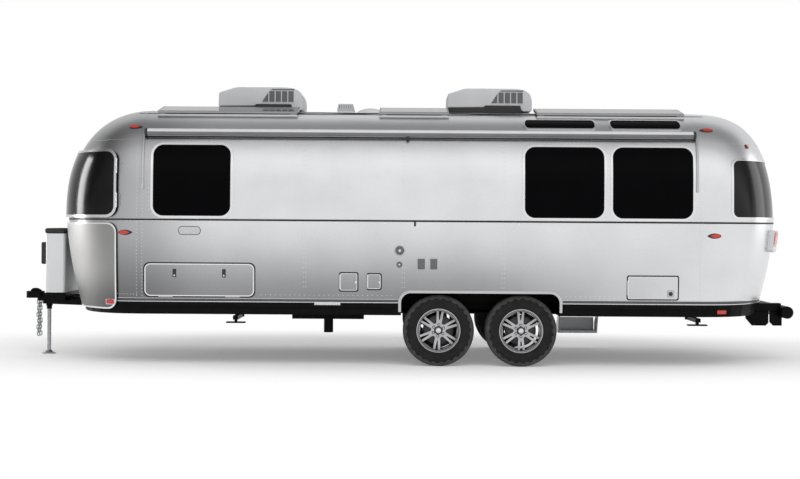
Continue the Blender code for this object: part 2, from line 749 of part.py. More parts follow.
def build_side_windows(body):
    """The panes in both side walls and in the shoulders above them."""
    walls = {-1: body["side_wall_street"], 1: body["side_wall_curb"]}
    groups = (
        (SIDE_WINDOW_SHARES, WINDOW_LOW_SHARE, WINDOW_HIGH_SHARE, WINDOW_CORNER),
        (UPPER_WINDOW_SHARES, UPPER_WINDOW_LOW_SHARE, UPPER_WINDOW_HIGH_SHARE, UPPER_WINDOW_CORNER),
    )
    for table, low_share, high_share, corner in groups:
        for name, side, start, end in table:
            span = (along(start), along(end), upper_wall(low_share), upper_wall(high_share))
            side_hole(walls[side], name, side, span, corner)
            skin_patch(
                name, side, span, -GLASS_SET_BACK, -GLASS_SET_BACK - GLASS_THICKNESS, corner,
                "dark_glass", trim=GAP,
            )


def build_end_windows(body):
    """One pane that wraps round each end."""
    low, high = upper_wall(END_WINDOW_LOW_SHARE), upper_wall(END_WINDOW_HIGH_SHARE)
    ends = (
        ("front_window", "front_end_shell", -FAR * 4, FRONT_WINDOW_EDGE_X, GAP),
        ("rear_window", "rear_end_shell", REAR_WINDOW_EDGE_X, FAR * 4, GAP),
    )
    for name, shell, left, right, trim in ends:
        hole = side_prism(name + "_hole", left, right, low, high, END_WINDOW_CORNER, -FAR, FAR)
        cut(body[shell], hole)
        pane = body_skin(
            name, low - OVERRUN, high + OVERRUN, -GLASS_SET_BACK, -GLASS_SET_BACK - GLASS_THICKNESS,
            "dark_glass",
        )
        crop(pane, side_prism(
            name + "_outline", left + trim, right - trim, low + trim, high - trim, END_WINDOW_CORNER,
            -FAR, FAR,
        ))


def build_guards(body):
    """Tinted window guards on rear-edge hinges, and fixed stone guards below them."""
    shell = body["front_end_shell"]
    for side, label in ((-1, "street"), (1, "curb")):
        build_window_guard("window_guard_" + label, shell, side)
        build_stone_guard("stone_guard_" + label, side)


def build_window_guard(name, shell, side):
    """A tinted guard that stands off the front window, hinged at its rear edge."""
    outer = GUARD_STAND_OFF + GUARD_THICKNESS
    guard = body_skin(
        name, WINDOW_GUARD_LOW_Z - OVERRUN, WINDOW_GUARD_HIGH_Z + OVERRUN, outer, GUARD_STAND_OFF,
        "dark_glass",
    )
    crop(guard, side_prism(
        name + "_outline", -FAR * 4, GUARD_EDGE_X, WINDOW_GUARD_LOW_Z, WINDOW_GUARD_HIGH_Z,
        WINDOW_GUARD_CORNER, side * GUARD_INNER_Y, side * FAR,
    ))
    hinge_x = GUARD_EDGE_X + RUN_CLEARANCE
    height = WINDOW_GUARD_HIGH_Z - WINDOW_GUARD_LOW_Z
    hinge_y = skin_y(hinge_x, WINDOW_GUARD_LOW_Z, outer) + KNUCKLE_STAND_OFF
    for share in GUARD_HINGE_SHARES:
        z = WINDOW_GUARD_LOW_Z + share * height
        hinge(
            name + "_hinge", shell, guard, (hinge_x, side * hinge_y, z), (0, 0, 1), (0, side, 0),
            (-1, 0, 0), hinge_y - skin_y(hinge_x, z, 0), hinge_y - skin_y(hinge_x, z, outer),
        )
    pivot_empty(name + "_axis", (hinge_x, side * hinge_y, WINDOW_GUARD_LOW_Z), [guard])


def build_stone_guard(name, side):
    """A stainless guard round the lower front corner, on pads that touch the shell."""
    outer = STONE_GUARD_STAND_OFF + GUARD_THICKNESS
    guard = body_skin(
        name, STONE_GUARD_LOW_Z - OVERRUN / 2, STONE_GUARD_HIGH_Z + OVERRUN / 2, outer,
        STONE_GUARD_STAND_OFF, "stainless",
    )
    crop(guard, side_prism(
        name + "_outline", -FAR * 4, GUARD_EDGE_X, STONE_GUARD_LOW_Z, STONE_GUARD_HIGH_Z,
        STONE_GUARD_CORNER, side * GUARD_INNER_Y, side * FAR,
    ))
    pad = body_skin(name + "_pads", WALL_LOW_Z, BELT_Z, STONE_GUARD_STAND_OFF + GUARD_THICKNESS / 2, GAP)
    near, far = sorted((side * GUARD_INNER_Y, side * FAR))
    pad_rear = GUARD_EDGE_X - GUARD_PAD_WIDTH
    crop(pad, box(
        name + "_pad_span", (pad_rear - GUARD_PAD_WIDTH, near, WALL_LOW_Z + OVERRUN),
        (pad_rear, far, STONE_GUARD_HIGH_Z - OVERRUN),
    ))
    join(guard, pad)


def build_hatches(body):
    """The hinged hatches in the street side's wall."""
    wall = body["side_wall_street"]
    for name, side, start, end, low_share, high_share, edge in HATCH_SHARES:
        span = (along(start), along(end), lower_wall(low_share), lower_wall(high_share))
        corner = HATCH_CORNER if edge == "bottom" else SMALL_HATCH_CORNER
        side_hole(wall, name, side, span, corner)
        hatch = skin_patch(name, side, span, 0, -HATCH_THICKNESS, corner, "aluminium", LATCH_CLEARANCE)
        build_latches(hatch, name, side, span)
        left, right, low, high = span
        if edge == "bottom":
            hinge_z = low + LATCH_CLEARANCE / 2
            hinge_y = side * (section_half_width(hinge_z, 0) + KNUCKLE_STAND_OFF)
            for share in HATCH_HINGE_SHARES:
                spot = (left + share * (right - left), hinge_y, hinge_z)
                hinge(
                    name + "_hinge", wall, hatch, spot, (1, 0, 0), (0, side, 0), (0, 0, 1),
                    KNUCKLE_STAND_OFF, KNUCKLE_STAND_OFF,
                )
            pivot_empty(name + "_axis", (left, hinge_y, hinge_z), [hatch])
            continue
        hinge_x = left + LATCH_CLEARANCE / 2
        hinge_z = (low + high) / 2
        hinge_y = side * (section_half_width(hinge_z, 0) + KNUCKLE_STAND_OFF)
        hinge(
            name + "_hinge", wall, hatch, (hinge_x, hinge_y, hinge_z), (0, 0, 1), (0, side, 0), (1, 0, 0),
            KNUCKLE_STAND_OFF, KNUCKLE_STAND_OFF,
        )
        pivot_empty(name + "_axis", (hinge_x, hinge_y, low), [hatch])


def build_latches(hatch, name, side, span):
    """The latches fused to a hatch's face."""
    left, right, low, high = span
    for carrier, across_share, up_share in LATCH_SHARES:
        if carrier == name:
            x, z = left + across_share * (right - left), low + up_share * (high - low)
            join(hatch, fitting(side, x, z, LATCH_HALF_WIDTH, LATCH_HALF_HEIGHT, LATCH_STAND_OFF))


def fitting(side, x, z, half_width, half_height, stand_off):
    """A block on a side wall, let into its skin and proud of it."""
    skin = section_half_width(z, 0)
    near, far = sorted((side * (skin - FITTING_DEPTH), side * (skin + stand_off)))
    return box("fitting", (x - half_width, near, z - half_height), (x + half_width, far, z + half_height))


def build_fittings(body):
    """Water and power inlets and the outdoor sockets on the street side."""
    wall = body["side_wall_street"]
    for set_back, z, radius in INLETS:
        x, skin = FRONT_SEAM_X + set_back, section_half_width(z, 0)
        start, end = (x, -skin + FITTING_DEPTH, z), (x, -skin - LATCH_STAND_OFF, z)
        join(wall, rod("inlet", start, end, radius, sides=TYRE_SIDES // 3))
    for set_back, width, z, height in OUTLETS:
        x = FRONT_SEAM_X + set_back + width / 2
        join(wall, fitting(-1, x, z, width / 2, height / 2, LATCH_STAND_OFF))


def build_lamps(body):
    """The marker lamps and tail lamps on the end shells."""
    walls = {"lower": lower_wall, "upper": upper_wall}
    ends = {
        -1: (body["front_end_shell"], FRONT_SEAM_X, FRONT_REACH),
        1: (body["rear_end_shell"], REAR_SEAM_X, REAR_REACH),
    }
    for end, start, finish, wall, low_share, high_share in MARKER_SHARES:
        shell, seam, reach = ends[end]
        left, right = sorted((seam + end * start * reach, seam + end * finish * reach))
        span = (left, right, walls[wall](low_share), walls[wall](high_share))
        for side in (-1, 1):
            join(shell, skin_patch("marker", side, span, LAMP_STAND_OFF, -WALL / 2, LAMP_CORNER, None))
    near_share, far_share, low_share, high_share = TAIL_LAMP_SHARES
    low, high = lower_wall(low_share), lower_wall(high_share)
    for side in (-1, 1):
        near, far = sorted((side * near_share * HALF_WIDTH, side * far_share * HALF_WIDTH))
        lamp = body_skin("tail_lamp", low - OVERRUN, high + OVERRUN, TAIL_LAMP_STAND_OFF, -WALL / 2)
        crop(lamp, box("tail_lamp_span", (REAR_SEAM_X + REAR_REACH / 2, near, low), (BUMPER_X, far, high)))
        join(ends[1][0], lamp)


def build_door(body):
    """The entry door in the curb side, as thick as the wall, with its pane."""
    wall = body["side_wall_curb"]
    hole = (DOOR_FRONT_X, DOOR_REAR_X, DOOR_LOW_Z, DOOR_HIGH_Z)
    side_hole(wall, "entry_door", 1, hole, DOOR_CORNER)
    door = skin_patch("entry_door", 1, hole, 0, -WALL, DOOR_CORNER, "aluminium", DOOR_CLEARANCE)
    pane = (
        DOOR_FRONT_X + DOOR_WINDOW_EDGE, DOOR_REAR_X - DOOR_WINDOW_EDGE,
        DOOR_WINDOW_LOW_Z, DOOR_WINDOW_HIGH_Z,
    )
    side_hole(door, "door_window", 1, pane, DOOR_WINDOW_CORNER)
    join(door, fitting(
        1, DOOR_REAR_X - HANDLE_INSET, lower_wall(HANDLE_RISE_SHARE), HANDLE_HALF_WIDTH,
        HANDLE_HALF_HEIGHT, HANDLE_STAND_OFF,
    ))
    glass = skin_patch(
        "door_window", 1, pane, -GLASS_SET_BACK, -GLASS_SET_BACK - GLASS_THICKNESS,
        DOOR_WINDOW_CORNER, "dark_glass", trim=GAP,
    )
    hinge_x = DOOR_FRONT_X + DOOR_CLEARANCE / 2
    hinge_y = HALF_WIDTH + KNUCKLE_STAND_OFF
    for share in DOOR_HINGE_SHARES:
        z = DOOR_LOW_Z + share * (DOOR_HIGH_Z - DOOR_LOW_Z)
        drop = hinge_y - section_half_width(z, 0)
        hinge(
            "entry_door_hinge", wall, door, (hinge_x, hinge_y, z), (0, 0, 1), (0, 1, 0), (1, 0, 0),
            drop, drop,
        )
    pivot_empty("entry_door_axis", (hinge_x, hinge_y, DOOR_LOW_Z), [door, glass])


def build_floor(body):
    """The floor deck, the belly pan and what hangs from the pan."""
    deck, pan = build_deck(body)
    hang_pipes(pan)
    hang_ears(pan)


def build_deck(body):
    """The floor deck with its wheel boxes, the belly pan below it and the arch cuts."""
    for side, wall in ((-1, "side_wall_street"), (1, "side_wall_curb")):
        arch = side_prism(
            wall + "_arch", WELL_FRONT_X, WELL_REAR_X, SKIRT_LOW_Z - ARCH_CORNER, ARCH_TOP_Z, ARCH_CORNER,
            side * WELL_INNER_Y, side * FAR,
        )
        cut(body[wall], arch)
    deck = body_solid(
        "floor_deck", WALL_LOW_Z, DECK_TOP_Z, -WALL - DECK_SIDE_CLEARANCE, "plywood"
    )
    pan = body_solid("belly_pan", SKIRT_LOW_Z, WALL_LOW_Z - GAP, 0, "black_paint")
    cut(pan, body_solid("belly_pan_inside", SKIRT_LOW_Z + PAN_SKIN, WALL_LOW_Z + OVERRUN, -PAN_WALL))
    tongue = RAIL_HALF_SPREAD + RAIL_WIDTH
    cut(pan, box(
        "tongue_slot", (-FAR * 4, -tongue, SKIRT_LOW_Z + PAN_SKIN),
        (FRAME_FRONT_X, tongue, WALL_LOW_Z + OVERRUN),
    ))
    outer_y = section_half_width(WALL_LOW_Z, 0) - WALL - DECK_SIDE_CLEARANCE
    for side in (-1, 1):
        near, far = sorted((side * WELL_INNER_Y, side * outer_y))
        join(deck, box(
            "wheel_box", (WELL_FRONT_X - WELL_SKIN, near - WELL_SKIN * (side > 0), WALL_LOW_Z),
            (WELL_REAR_X + WELL_SKIN, far + WELL_SKIN * (side < 0), WELL_TOP_Z + WELL_SKIN),
        ))
        near, far = sorted((side * WELL_INNER_Y, side * FAR))
        cut(deck, box("wheel_space", (WELL_FRONT_X, near, 0), (WELL_REAR_X, far, WELL_TOP_Z)))
        cut(pan, box("wheel_notch", (WELL_FRONT_X, near, 0), (WELL_REAR_X, far, WELL_TOP_Z)))
    slot = BUMPER_SLOT
    for side in (-1, 1):
        near, far = sorted((side * BUMPER_ARM_Y, side * (BUMPER_ARM_Y + BUMPER_ARM_WIDTH)))
        cut(pan, box(
            "bumper_slot", (RAIL_REAR_X, near - slot, BUMPER_ARM_LOW_Z - slot),
            (BUMPER_X, far + slot, BUMPER_ARM_LOW_Z + BUMPER_ARM_HEIGHT + slot),
        ))
    return deck, pan


def hang_pipes(pan):
    """The drain pipe with its outlet, and the tank bottom, under the belly pan."""
    pipe_start = (PIPE_FRONT_X, PIPE_Y, PIPE_Z)
    pipe_end = (PIPE_FRONT_X + PIPE_LENGTH, PIPE_Y, PIPE_Z)
    join(pan, rod("drain_pipe", pipe_start, pipe_end, PIPE_RADIUS, sides=12))
    join(pan, box(
        "pipe_hanger", (OUTLET_X - PIPE_RADIUS, PIPE_Y - PIPE_RADIUS / 2, PIPE_Z),
        (OUTLET_X + PIPE_RADIUS, PIPE_Y + PIPE_RADIUS / 2, SKIRT_LOW_Z + PAN_SKIN / 2),
    ))
    outlet_top = (OUTLET_X, PIPE_Y, PIPE_Z)
    join(pan, rod("drain_outlet", (OUTLET_X, PIPE_Y, OUTLET_LOW_Z), outlet_top, OUTLET_RADIUS, sides=12))
    join(pan, box(
        "front_tank", (TANK_FRONT_X, -TANK_HALF_WIDTH, TANK_LOW_Z),
        (TANK_FRONT_X + TANK_LENGTH, TANK_HALF_WIDTH, SKIRT_LOW_Z + PAN_SKIN / 2),
    ))


def hang_ears(pan):
    """Pairs of ears under the pan that hold the stabilisers' and the step's pivots."""
    pivots = []
    half = STABILISER_WIDTH / 2
    for set_back in STABILISER_SET_BACKS:
        left, right = FRONT_SEAM_X + set_back - half, FRONT_SEAM_X + set_back + half
        for side in (-1, 1):
            pivots.append((left, right, side * STABILISER_PIVOT_Y, STABILISER_PIVOT_Z))
    pivots.append((STEP_FRONT_X, STEP_REAR_X, STEP_PIVOT_Y, STEP_PIVOT_Z))
    for left, right, pivot_y, pivot_z in pivots:
        for near, far in ((left - GAP - EAR, left - GAP), (right + GAP, right + GAP + EAR)):
            join(pan, box(
                "ear", (near, pivot_y - EYE_RADIUS, pivot_z - EYE_RADIUS),
                (far, pivot_y + EYE_RADIUS, SKIRT_LOW_Z + PAN_SKIN / 2),
            ))


def build_chassis():
    """Two rails, their cross members and the two arms that meet at the hitch."""
    top = WALL_LOW_Z - GAP
    low = top - RAIL_HEIGHT
    inner = RAIL_HALF_SPREAD - RAIL_WIDTH / 2
    frame = box(
        "chassis_frame", (FRAME_FRONT_X, inner, low), (RAIL_REAR_X, inner + RAIL_WIDTH, top),
        "black_paint",
    )
    join(frame, box("street_rail", (FRAME_FRONT_X, -inner - RAIL_WIDTH, low), (RAIL_REAR_X, -inner, top)))
    step = (RAIL_REAR_X - FRAME_FRONT_X - CROSS_WIDTH) / (CROSS_MEMBERS - 1)
    for number in range(CROSS_MEMBERS):
        start = FRAME_FRONT_X + number * step
        join(frame, box(
            "cross_member", (start, -RAIL_HALF_SPREAD, low + RAIL_INSET),
            (start + CROSS_WIDTH, RAIL_HALF_SPREAD, top - RAIL_INSET),
        ))
    for side in (-1, 1):
        arm_rear = FRAME_FRONT_X + RAIL_WIDTH
        corners = [
            (APEX_X, side * APEX_HALF_SPREAD, 0), (arm_rear, side * (inner + RAIL_WIDTH), 0),
            (arm_rear, side * inner, 0), (APEX_X, side * (APEX_HALF_SPREAD - RAIL_WIDTH), 0),
        ]
        join(frame, prism("tongue_arm", corners, (0, 0, low), (0, 0, RAIL_HEIGHT)))
    join(frame, box(
        "gas_tray", (HOUSING_FRONT_X + HOUSING_WALL, -HOUSING_HALF_WIDTH, low + RAIL_HEIGHT / 2),
        (HOUSING_REAR_X, HOUSING_HALF_WIDTH, HOUSING_LOW_Z - GAP),
    ))
    plate = box(
        "apex_plate", (APEX_X - RAIL_WIDTH / 2, -APEX_HALF_SPREAD, low),
        (APEX_X + RAIL_WIDTH * 2, APEX_HALF_SPREAD, APEX_TOP_Z),
    )
    join(frame, plate)
    cut(frame, rod(
        "jack_bore", (JACK_X, 0, low - OVERRUN), (JACK_X, 0, top + OVERRUN), JACK_TUBE_RADIUS + GAP
    ))


def build_hitch():
    """The coupler at the nose of the frame."""
    rear = APEX_X - RAIL_WIDTH / 2 - GAP
    nose = [(x, y, 0) for x, y in rounded(
        COUPLER_NOSE_X, rear, -COUPLER_HALF_WIDTH, COUPLER_HALF_WIDTH, COUPLER_CORNER
    )]
    coupler = prism(
        "coupler", nose, (0, 0, COUPLER_LOW_Z), (0, 0, COUPLER_HIGH_Z - COUPLER_LOW_Z), "black_paint"
    )
    join(coupler, box(
        "coupler_foot", (rear - COUPLER_HALF_WIDTH, -COUPLER_HALF_WIDTH, COUPLER_LOW_Z),
        (rear, COUPLER_HALF_WIDTH, COUPLER_HIGH_Z),
    ))
    socket_x, socket_top = COUPLER_NOSE_X + SOCKET_SET_BACK, COUPLER_LOW_Z + SOCKET_DEPTH
    cut(coupler, rod(
        "ball_socket", (socket_x, 0, COUPLER_LOW_Z - OVERRUN), (socket_x, 0, socket_top), SOCKET_RADIUS
    ))
    join(coupler, box(
        "lever",
        (COUPLER_NOSE_X + LEVER_SET_BACK, -COUPLER_LEVER_HALF_WIDTH, (socket_top + COUPLER_HIGH_Z) / 2),
        (rear - COUPLER_HALF_WIDTH, COUPLER_LEVER_HALF_WIDTH, COUPLER_LEVER_HIGH_Z),
    ))
    for side in (-1, 1):
        hang_chain(coupler, COUPLER_NOSE_X + CHAIN_SET_BACK, side * CHAIN_Y)


def hang_chain(carrier, x, y):
    """A safety chain that hangs straight down from an eye under the coupler."""
    eye_low = COUPLER_LOW_Z - CHAIN_EYE_DROP
    join(carrier, box(
        "chain_eye", (x - CHAIN_EYE, y - CHAIN_EYE, eye_low),
        (x + CHAIN_EYE, y + CHAIN_EYE, COUPLER_LOW_Z + GAP),
    ))
    pitch = LINK_LENGTH - 4 * LINK_WIRE + LINK_WIRE / 2
    top = eye_low + LINK_WIRE - LINK_LENGTH / 2
    for number in range(CHAIN_LINKS):
        flat = (1, 0, 0) if number % 2 else (0, 1, 0)
        join(carrier, chain_link((x, y, top - number * pitch), Vector(flat)))


def chain_link(centre, flat):
    """One long link in the upright plane that holds flat, its wire four-sided."""
    half_width, half_length = LINK_WIDTH / 2 - LINK_WIRE, LINK_LENGTH / 2 - LINK_WIRE
    across = flat.cross((0, 0, 1))
    bm = bmesh.new()
    rings = []
    for side, rise in LINK_SHARES:
        spot = flat * side * half_width + Vector((0, 0, rise * half_length))
        out = spot.normalized() * LINK_WIRE
        through = across * LINK_WIRE
        corners = (spot + out, spot + through, spot - out, spot - through)
        rings.append([bm.verts.new(Vector(centre) + corner) for corner in corners])
    for here, there in zip(rings, shifted(rings)):
        for four in zip(here, shifted(here), shifted(there), there):
            bm.faces.new(four)
    return add_object("chain_link", bm)


def build_jack():
    """The nose jack: a fixed tube with its head, and the leg and foot that slide in it."""
    tube = rod(
        "jack_tube", (JACK_X, 0, JACK_TUBE_LOW_Z), (JACK_X, 0, JACK_TUBE_HIGH_Z), JACK_TUBE_RADIUS,
        "galvanised",
    )
    join(tube, box(
        "jack_head", (JACK_X - JACK_HEAD_FRONT, -JACK_HEAD_HALF_WIDTH, JACK_TUBE_HIGH_Z - OVERRUN / 2),
        (JACK_X + JACK_HEAD_REAR, JACK_HEAD_HALF_WIDTH, JACK_HEAD_HIGH_Z),
    ))
    join(tube, rod(
        "jack_flange", (JACK_X, 0, APEX_TOP_Z + GAP), (JACK_X, 0, APEX_TOP_Z + GAP + JACK_FLANGE_HEIGHT),
        JACK_FLANGE_RADIUS,
    ))
    bore_high = JACK_TUBE_LOW_Z + JACK_LEG_OVERLAP + JACK_TRAVEL + RUN_CLEARANCE
    bore_low = JACK_TUBE_LOW_Z - OVERRUN
    cut(tube, rod("jack_bore_inside", (JACK_X, 0, bore_low), (JACK_X, 0, bore_high), JACK_LEG_RADIUS + GAP))
    leg_top = JACK_TUBE_LOW_Z + JACK_LEG_OVERLAP
    leg = rod(
        "jack_leg", (JACK_X, 0, JACK_FOOT_HEIGHT / 2), (JACK_X, 0, leg_top), JACK_LEG_RADIUS,
        "galvanised",
    )
    join(leg, rod("jack_foot", (JACK_X, 0, 0), (JACK_X, 0, JACK_FOOT_HEIGHT), JACK_FOOT_RADIUS))
    pivot_empty("jack_axis", (JACK_X, 0, 0), [leg])


def build_gas_housing():
    """The gas bottle housing on its tray, open at the top, with a lid hinged at the front."""
    plan = [(x, y, 0) for x, y in rounded(
        HOUSING_FRONT_X, HOUSING_REAR_X, -HOUSING_HALF_WIDTH, HOUSING_HALF_WIDTH, HOUSING_CORNER
    )]
    housing = prism(
        "gas_housing", plan, (0, 0, HOUSING_LOW_Z), (0, 0, HOUSING_HIGH_Z - HOUSING_LOW_Z), "white_paint"
    )
    cut(housing, box(
        "gas_room",
        (HOUSING_FRONT_X + HOUSING_WALL, -HOUSING_HALF_WIDTH + HOUSING_WALL, HOUSING_LOW_Z + HOUSING_WALL),
        (HOUSING_REAR_X - HOUSING_WALL, HOUSING_HALF_WIDTH - HOUSING_WALL, HOUSING_HIGH_Z + OVERRUN),
    ))
    lid_low = HOUSING_HIGH_Z + GAP
    profile = [
        (HOUSING_FRONT_X, 0, lid_low), (HOUSING_REAR_X, 0, lid_low), (HOUSING_REAR_X, 0, LID_HIGH_Z),
        (HOUSING_FRONT_X + HOUSING_CORNER, 0, LID_HIGH_Z), (HOUSING_FRONT_X, 0, lid_low + LID_FRONT_RISE),
    ]
    lid = prism(
        "gas_lid", profile, (0, -HOUSING_HALF_WIDTH, 0), (0, 2 * HOUSING_HALF_WIDTH, 0), "black_paint"
    )
    hinge_x = HOUSING_FRONT_X - KNUCKLE_STAND_OFF
    for side in (-1, 1):
        spot = (hinge_x, side * LID_HINGE_Y, HOUSING_HIGH_Z)
        hinge(
            "gas_lid_hinge", housing, lid, spot, (0, 1, 0), (-1, 0, 0), (0, 0, 1),
            KNUCKLE_STAND_OFF, KNUCKLE_STAND_OFF,
        )
    pivot_empty("gas_lid_axis", (hinge_x, 0, HOUSING_HIGH_Z), [lid])


def build_wheels():
    """Four turning wheels, each a tyre on its rim, and the two axles that carry them."""
    inner = (RIM_LIP_RADIUS + GAP) / math.cos(math.pi / TYRE_SIDES)
    wheels = []
    for row, wheel_x in zip(("front", "rear"), WHEEL_X):
        for side, label in ((-1, "street"), (1, "curb")):
            centre = (wheel_x, side * WHEEL_PLANE_Y, WHEEL_CENTRE_Z)
            profile = [(r * RIM_LIP_RADIUS, y * TYRE_HALF_WIDTH) for r, y in RIM_SHARES]
            rim = turned(f"rim_{label}_{row}", profile, centre, side, RIM_SIDES, "alloy")
            cut_spokes(rim, centre, side)
            tread = [
                (max(r * TYRE_RADIUS, inner), y * TYRE_HALF_WIDTH) for r, y in TYRE_SHARES
            ]
            tyre = turned(
                f"tyre_{label}_{row}", tread, centre, side, TYRE_SIDES, "rubber", lugs=LUG_BANDS
            )
            pivot_empty(f"wheel_{label}_{row}_axis", centre, [rim, tyre])
            wheels.append(centre)
        build_axle("axle_" + row, wheel_x)


def cut_spokes(rim, centre, side):
    """Cuts the windows between paired spokes: a wide one between pairs, a slit within each."""
    for number in range(SPOKE_PAIRS):
        for shift, near, near_half, far, far_half in SPOKE_WINDOW_SHARES:
            middle = (number + shift) / SPOKE_PAIRS
            points = []
            for radius, turn in ((near, -near_half), (far, -far_half), (far, far_half), (near, near_half)):
                reach = radius * RIM_LIP_RADIUS
                angle = 2 * math.pi * (middle + turn)
                points.append((reach * math.cos(angle), 0, reach * math.sin(angle)))
            start = Vector(centre)
            cutter = prism("spoke_window", points, start, (0, side * TYRE_HALF_WIDTH, 0))
            cut(rim, cutter)


def build_axle(name, wheel_x):
    """A square axle tube under the belly with trailing arms and stub axles."""
    top = SKIRT_LOW_Z - GAP
    tube_x = wheel_x - AXLE_LEAD
    tube_top = top - AXLE_DROP
    half = AXLE_SIZE / 2
    axle = box(
        name, (tube_x - half, -AXLE_HALF_LENGTH + ARM_WIDTH, tube_top - AXLE_SIZE),
        (tube_x + half, AXLE_HALF_LENGTH - ARM_WIDTH, tube_top), "black_paint",
    )
    hub_y = WHEEL_PLANE_Y + HUB_FACE_SHARE * TYRE_HALF_WIDTH - GAP
    for side in (-1, 1):
        near, far = sorted((side * RAIL_HALF_SPREAD, side * (RAIL_HALF_SPREAD + BRACKET_WIDTH)))
        join(axle, box(
            "axle_bracket", (tube_x - AXLE_SIZE, near, tube_top - AXLE_SIZE / 2),
            (tube_x + AXLE_SIZE, far, top),
        ))
        low, high = WHEEL_CENTRE_Z, tube_top - half
        outline = [
            (tube_x - half, 0, high - ARM_HEIGHT / 2), (tube_x - half, 0, high + ARM_HEIGHT / 2),
            (tube_x + half, 0, high + ARM_HEIGHT / 2), (wheel_x + half, 0, low + ARM_HEIGHT / 2),
            (wheel_x + half, 0, low - ARM_HEIGHT / 2), (wheel_x - half, 0, low - ARM_HEIGHT / 2),
        ]
        start = side * (AXLE_HALF_LENGTH - 2 * ARM_WIDTH + ARM_SET_IN)
        join(axle, prism("trailing_arm", outline, (0, start, 0), (0, side * ARM_WIDTH * 2, 0)))
        join(axle, rod(
            "stub_axle", (wheel_x, side * (AXLE_HALF_LENGTH - ARM_WIDTH), WHEEL_CENTRE_Z),
            (wheel_x, side * hub_y, WHEEL_CENTRE_Z), SPINDLE_RADIUS,
        ))


def build_roof_equipment():
    """Two coolers, a vent, a dome and the solar panels."""
    top = top_of(0) + GAP
    for name, set_back in zip(("cooler_front", "cooler_rear"), COOLER_SET_BACKS):
        start = FRONT_SEAM_X + set_back
        outline = [
            (start + along_share * COOLER_LENGTH, 0, top + up_share * COOLER_HEIGHT)
            for along_share, up_share in COOLER_NOSE_SHARES
        ]
        cooler = prism(
            name, outline, (0, -COOLER_HALF_WIDTH, 0), (0, 2 * COOLER_HALF_WIDTH, 0), "white_paint"
        )
        inset = COOLER_HALF_WIDTH - COOLER_BASE_HALF_WIDTH
        join(cooler, box(
            "cooler_base", (start + inset, -COOLER_BASE_HALF_WIDTH, top),
            (start + COOLER_LENGTH - inset, COOLER_BASE_HALF_WIDTH, top + COOLER_HEIGHT / 3),
        ))
        build_louvres(cooler, start, top)
    box(
        "roof_vent", (VENT_FRONT_X, -VENT_HALF_WIDTH, top),
        (VENT_FRONT_X + VENT_LENGTH, VENT_HALF_WIDTH, top + VENT_HEIGHT), "white_paint",
    )
    dome_outline = [(x, y, 0) for x, y in rounded(
        DOME_FRONT_X, DOME_FRONT_X + DOME_LENGTH, -DOME_HALF_WIDTH, DOME_HALF_WIDTH,
        DOME_HALF_WIDTH / 2,
    )]
    prism("roof_dome", dome_outline, (0, 0, top), (0, 0, DOME_HEIGHT), "white_paint")
    build_solar_panels()


def build_louvres(cooler, start, top):
    """The louvres on the rear third of a cooler's two sides."""
    left, right = (start + share * COOLER_LENGTH for share in LOUVRE_SPAN_SHARES)
    low, high = (top + share * COOLER_HEIGHT for share in LOUVRE_RISE_SHARES)
    pitch = (high - low) / LOUVRES
    for side in (-1, 1):
        near, far = sorted((
            side * (COOLER_HALF_WIDTH - LOUVRE_STAND), side * (COOLER_HALF_WIDTH + LOUVRE_STAND)
        ))
        for number in range(LOUVRES):
            z = low + number * pitch
            join(cooler, box("louvre", (left, near, z), (right, far, z + pitch / 2)))


def build_solar_panels():
    """The solar panels on feet along the street side's shoulder."""
    seat = body_solid("roof_form", BELT_Z, top_of(GAP), GAP)
    names = ("solar_panel_front", "solar_panel_middle", "solar_panel_rear")
    for name, start, end in zip(names, PANEL_STARTS_SHARES, PANEL_ENDS_SHARES):
        left, right = along(start), along(end)
        outer_z = roof_height(PANEL_OUTER_Y) + PANEL_LIFT
        inner_z = roof_height(PANEL_INNER_Y) + PANEL_LIFT
        outline = [
            (0, -PANEL_OUTER_Y, outer_z), (0, -PANEL_INNER_Y, inner_z),
            (0, -PANEL_INNER_Y, inner_z + PANEL_THICKNESS), (0, -PANEL_OUTER_Y, outer_z + PANEL_THICKNESS),
        ]
        panel = prism(name, outline, (left, 0, 0), (right - left, 0, 0), "dark_glass")
        for foot_x in (left + PANEL_FOOT, right - 2 * PANEL_FOOT):
            rows = (PANEL_OUTER_Y - PANEL_FOOT, outer_z), (PANEL_INNER_Y + PANEL_FOOT, inner_z)
            for foot_y, foot_z in rows:
                join(panel, box(
                    "panel_foot", (foot_x, -foot_y - PANEL_FOOT / 2, foot_z - 2 * PANEL_LIFT),
                    (foot_x + PANEL_FOOT, -foot_y + PANEL_FOOT / 2, foot_z + PANEL_THICKNESS / 2),
                ))
        cut(panel, seat)


def roof_height(across):
    """Height of the roof at a distance from the centre plane."""
    share = (1 - (across / HALF_WIDTH) ** (1 / SECTION_ROOT)) ** (1 / SECTION_POWER)
    return BELT_Z + share * (CROWN_Z - BELT_Z)


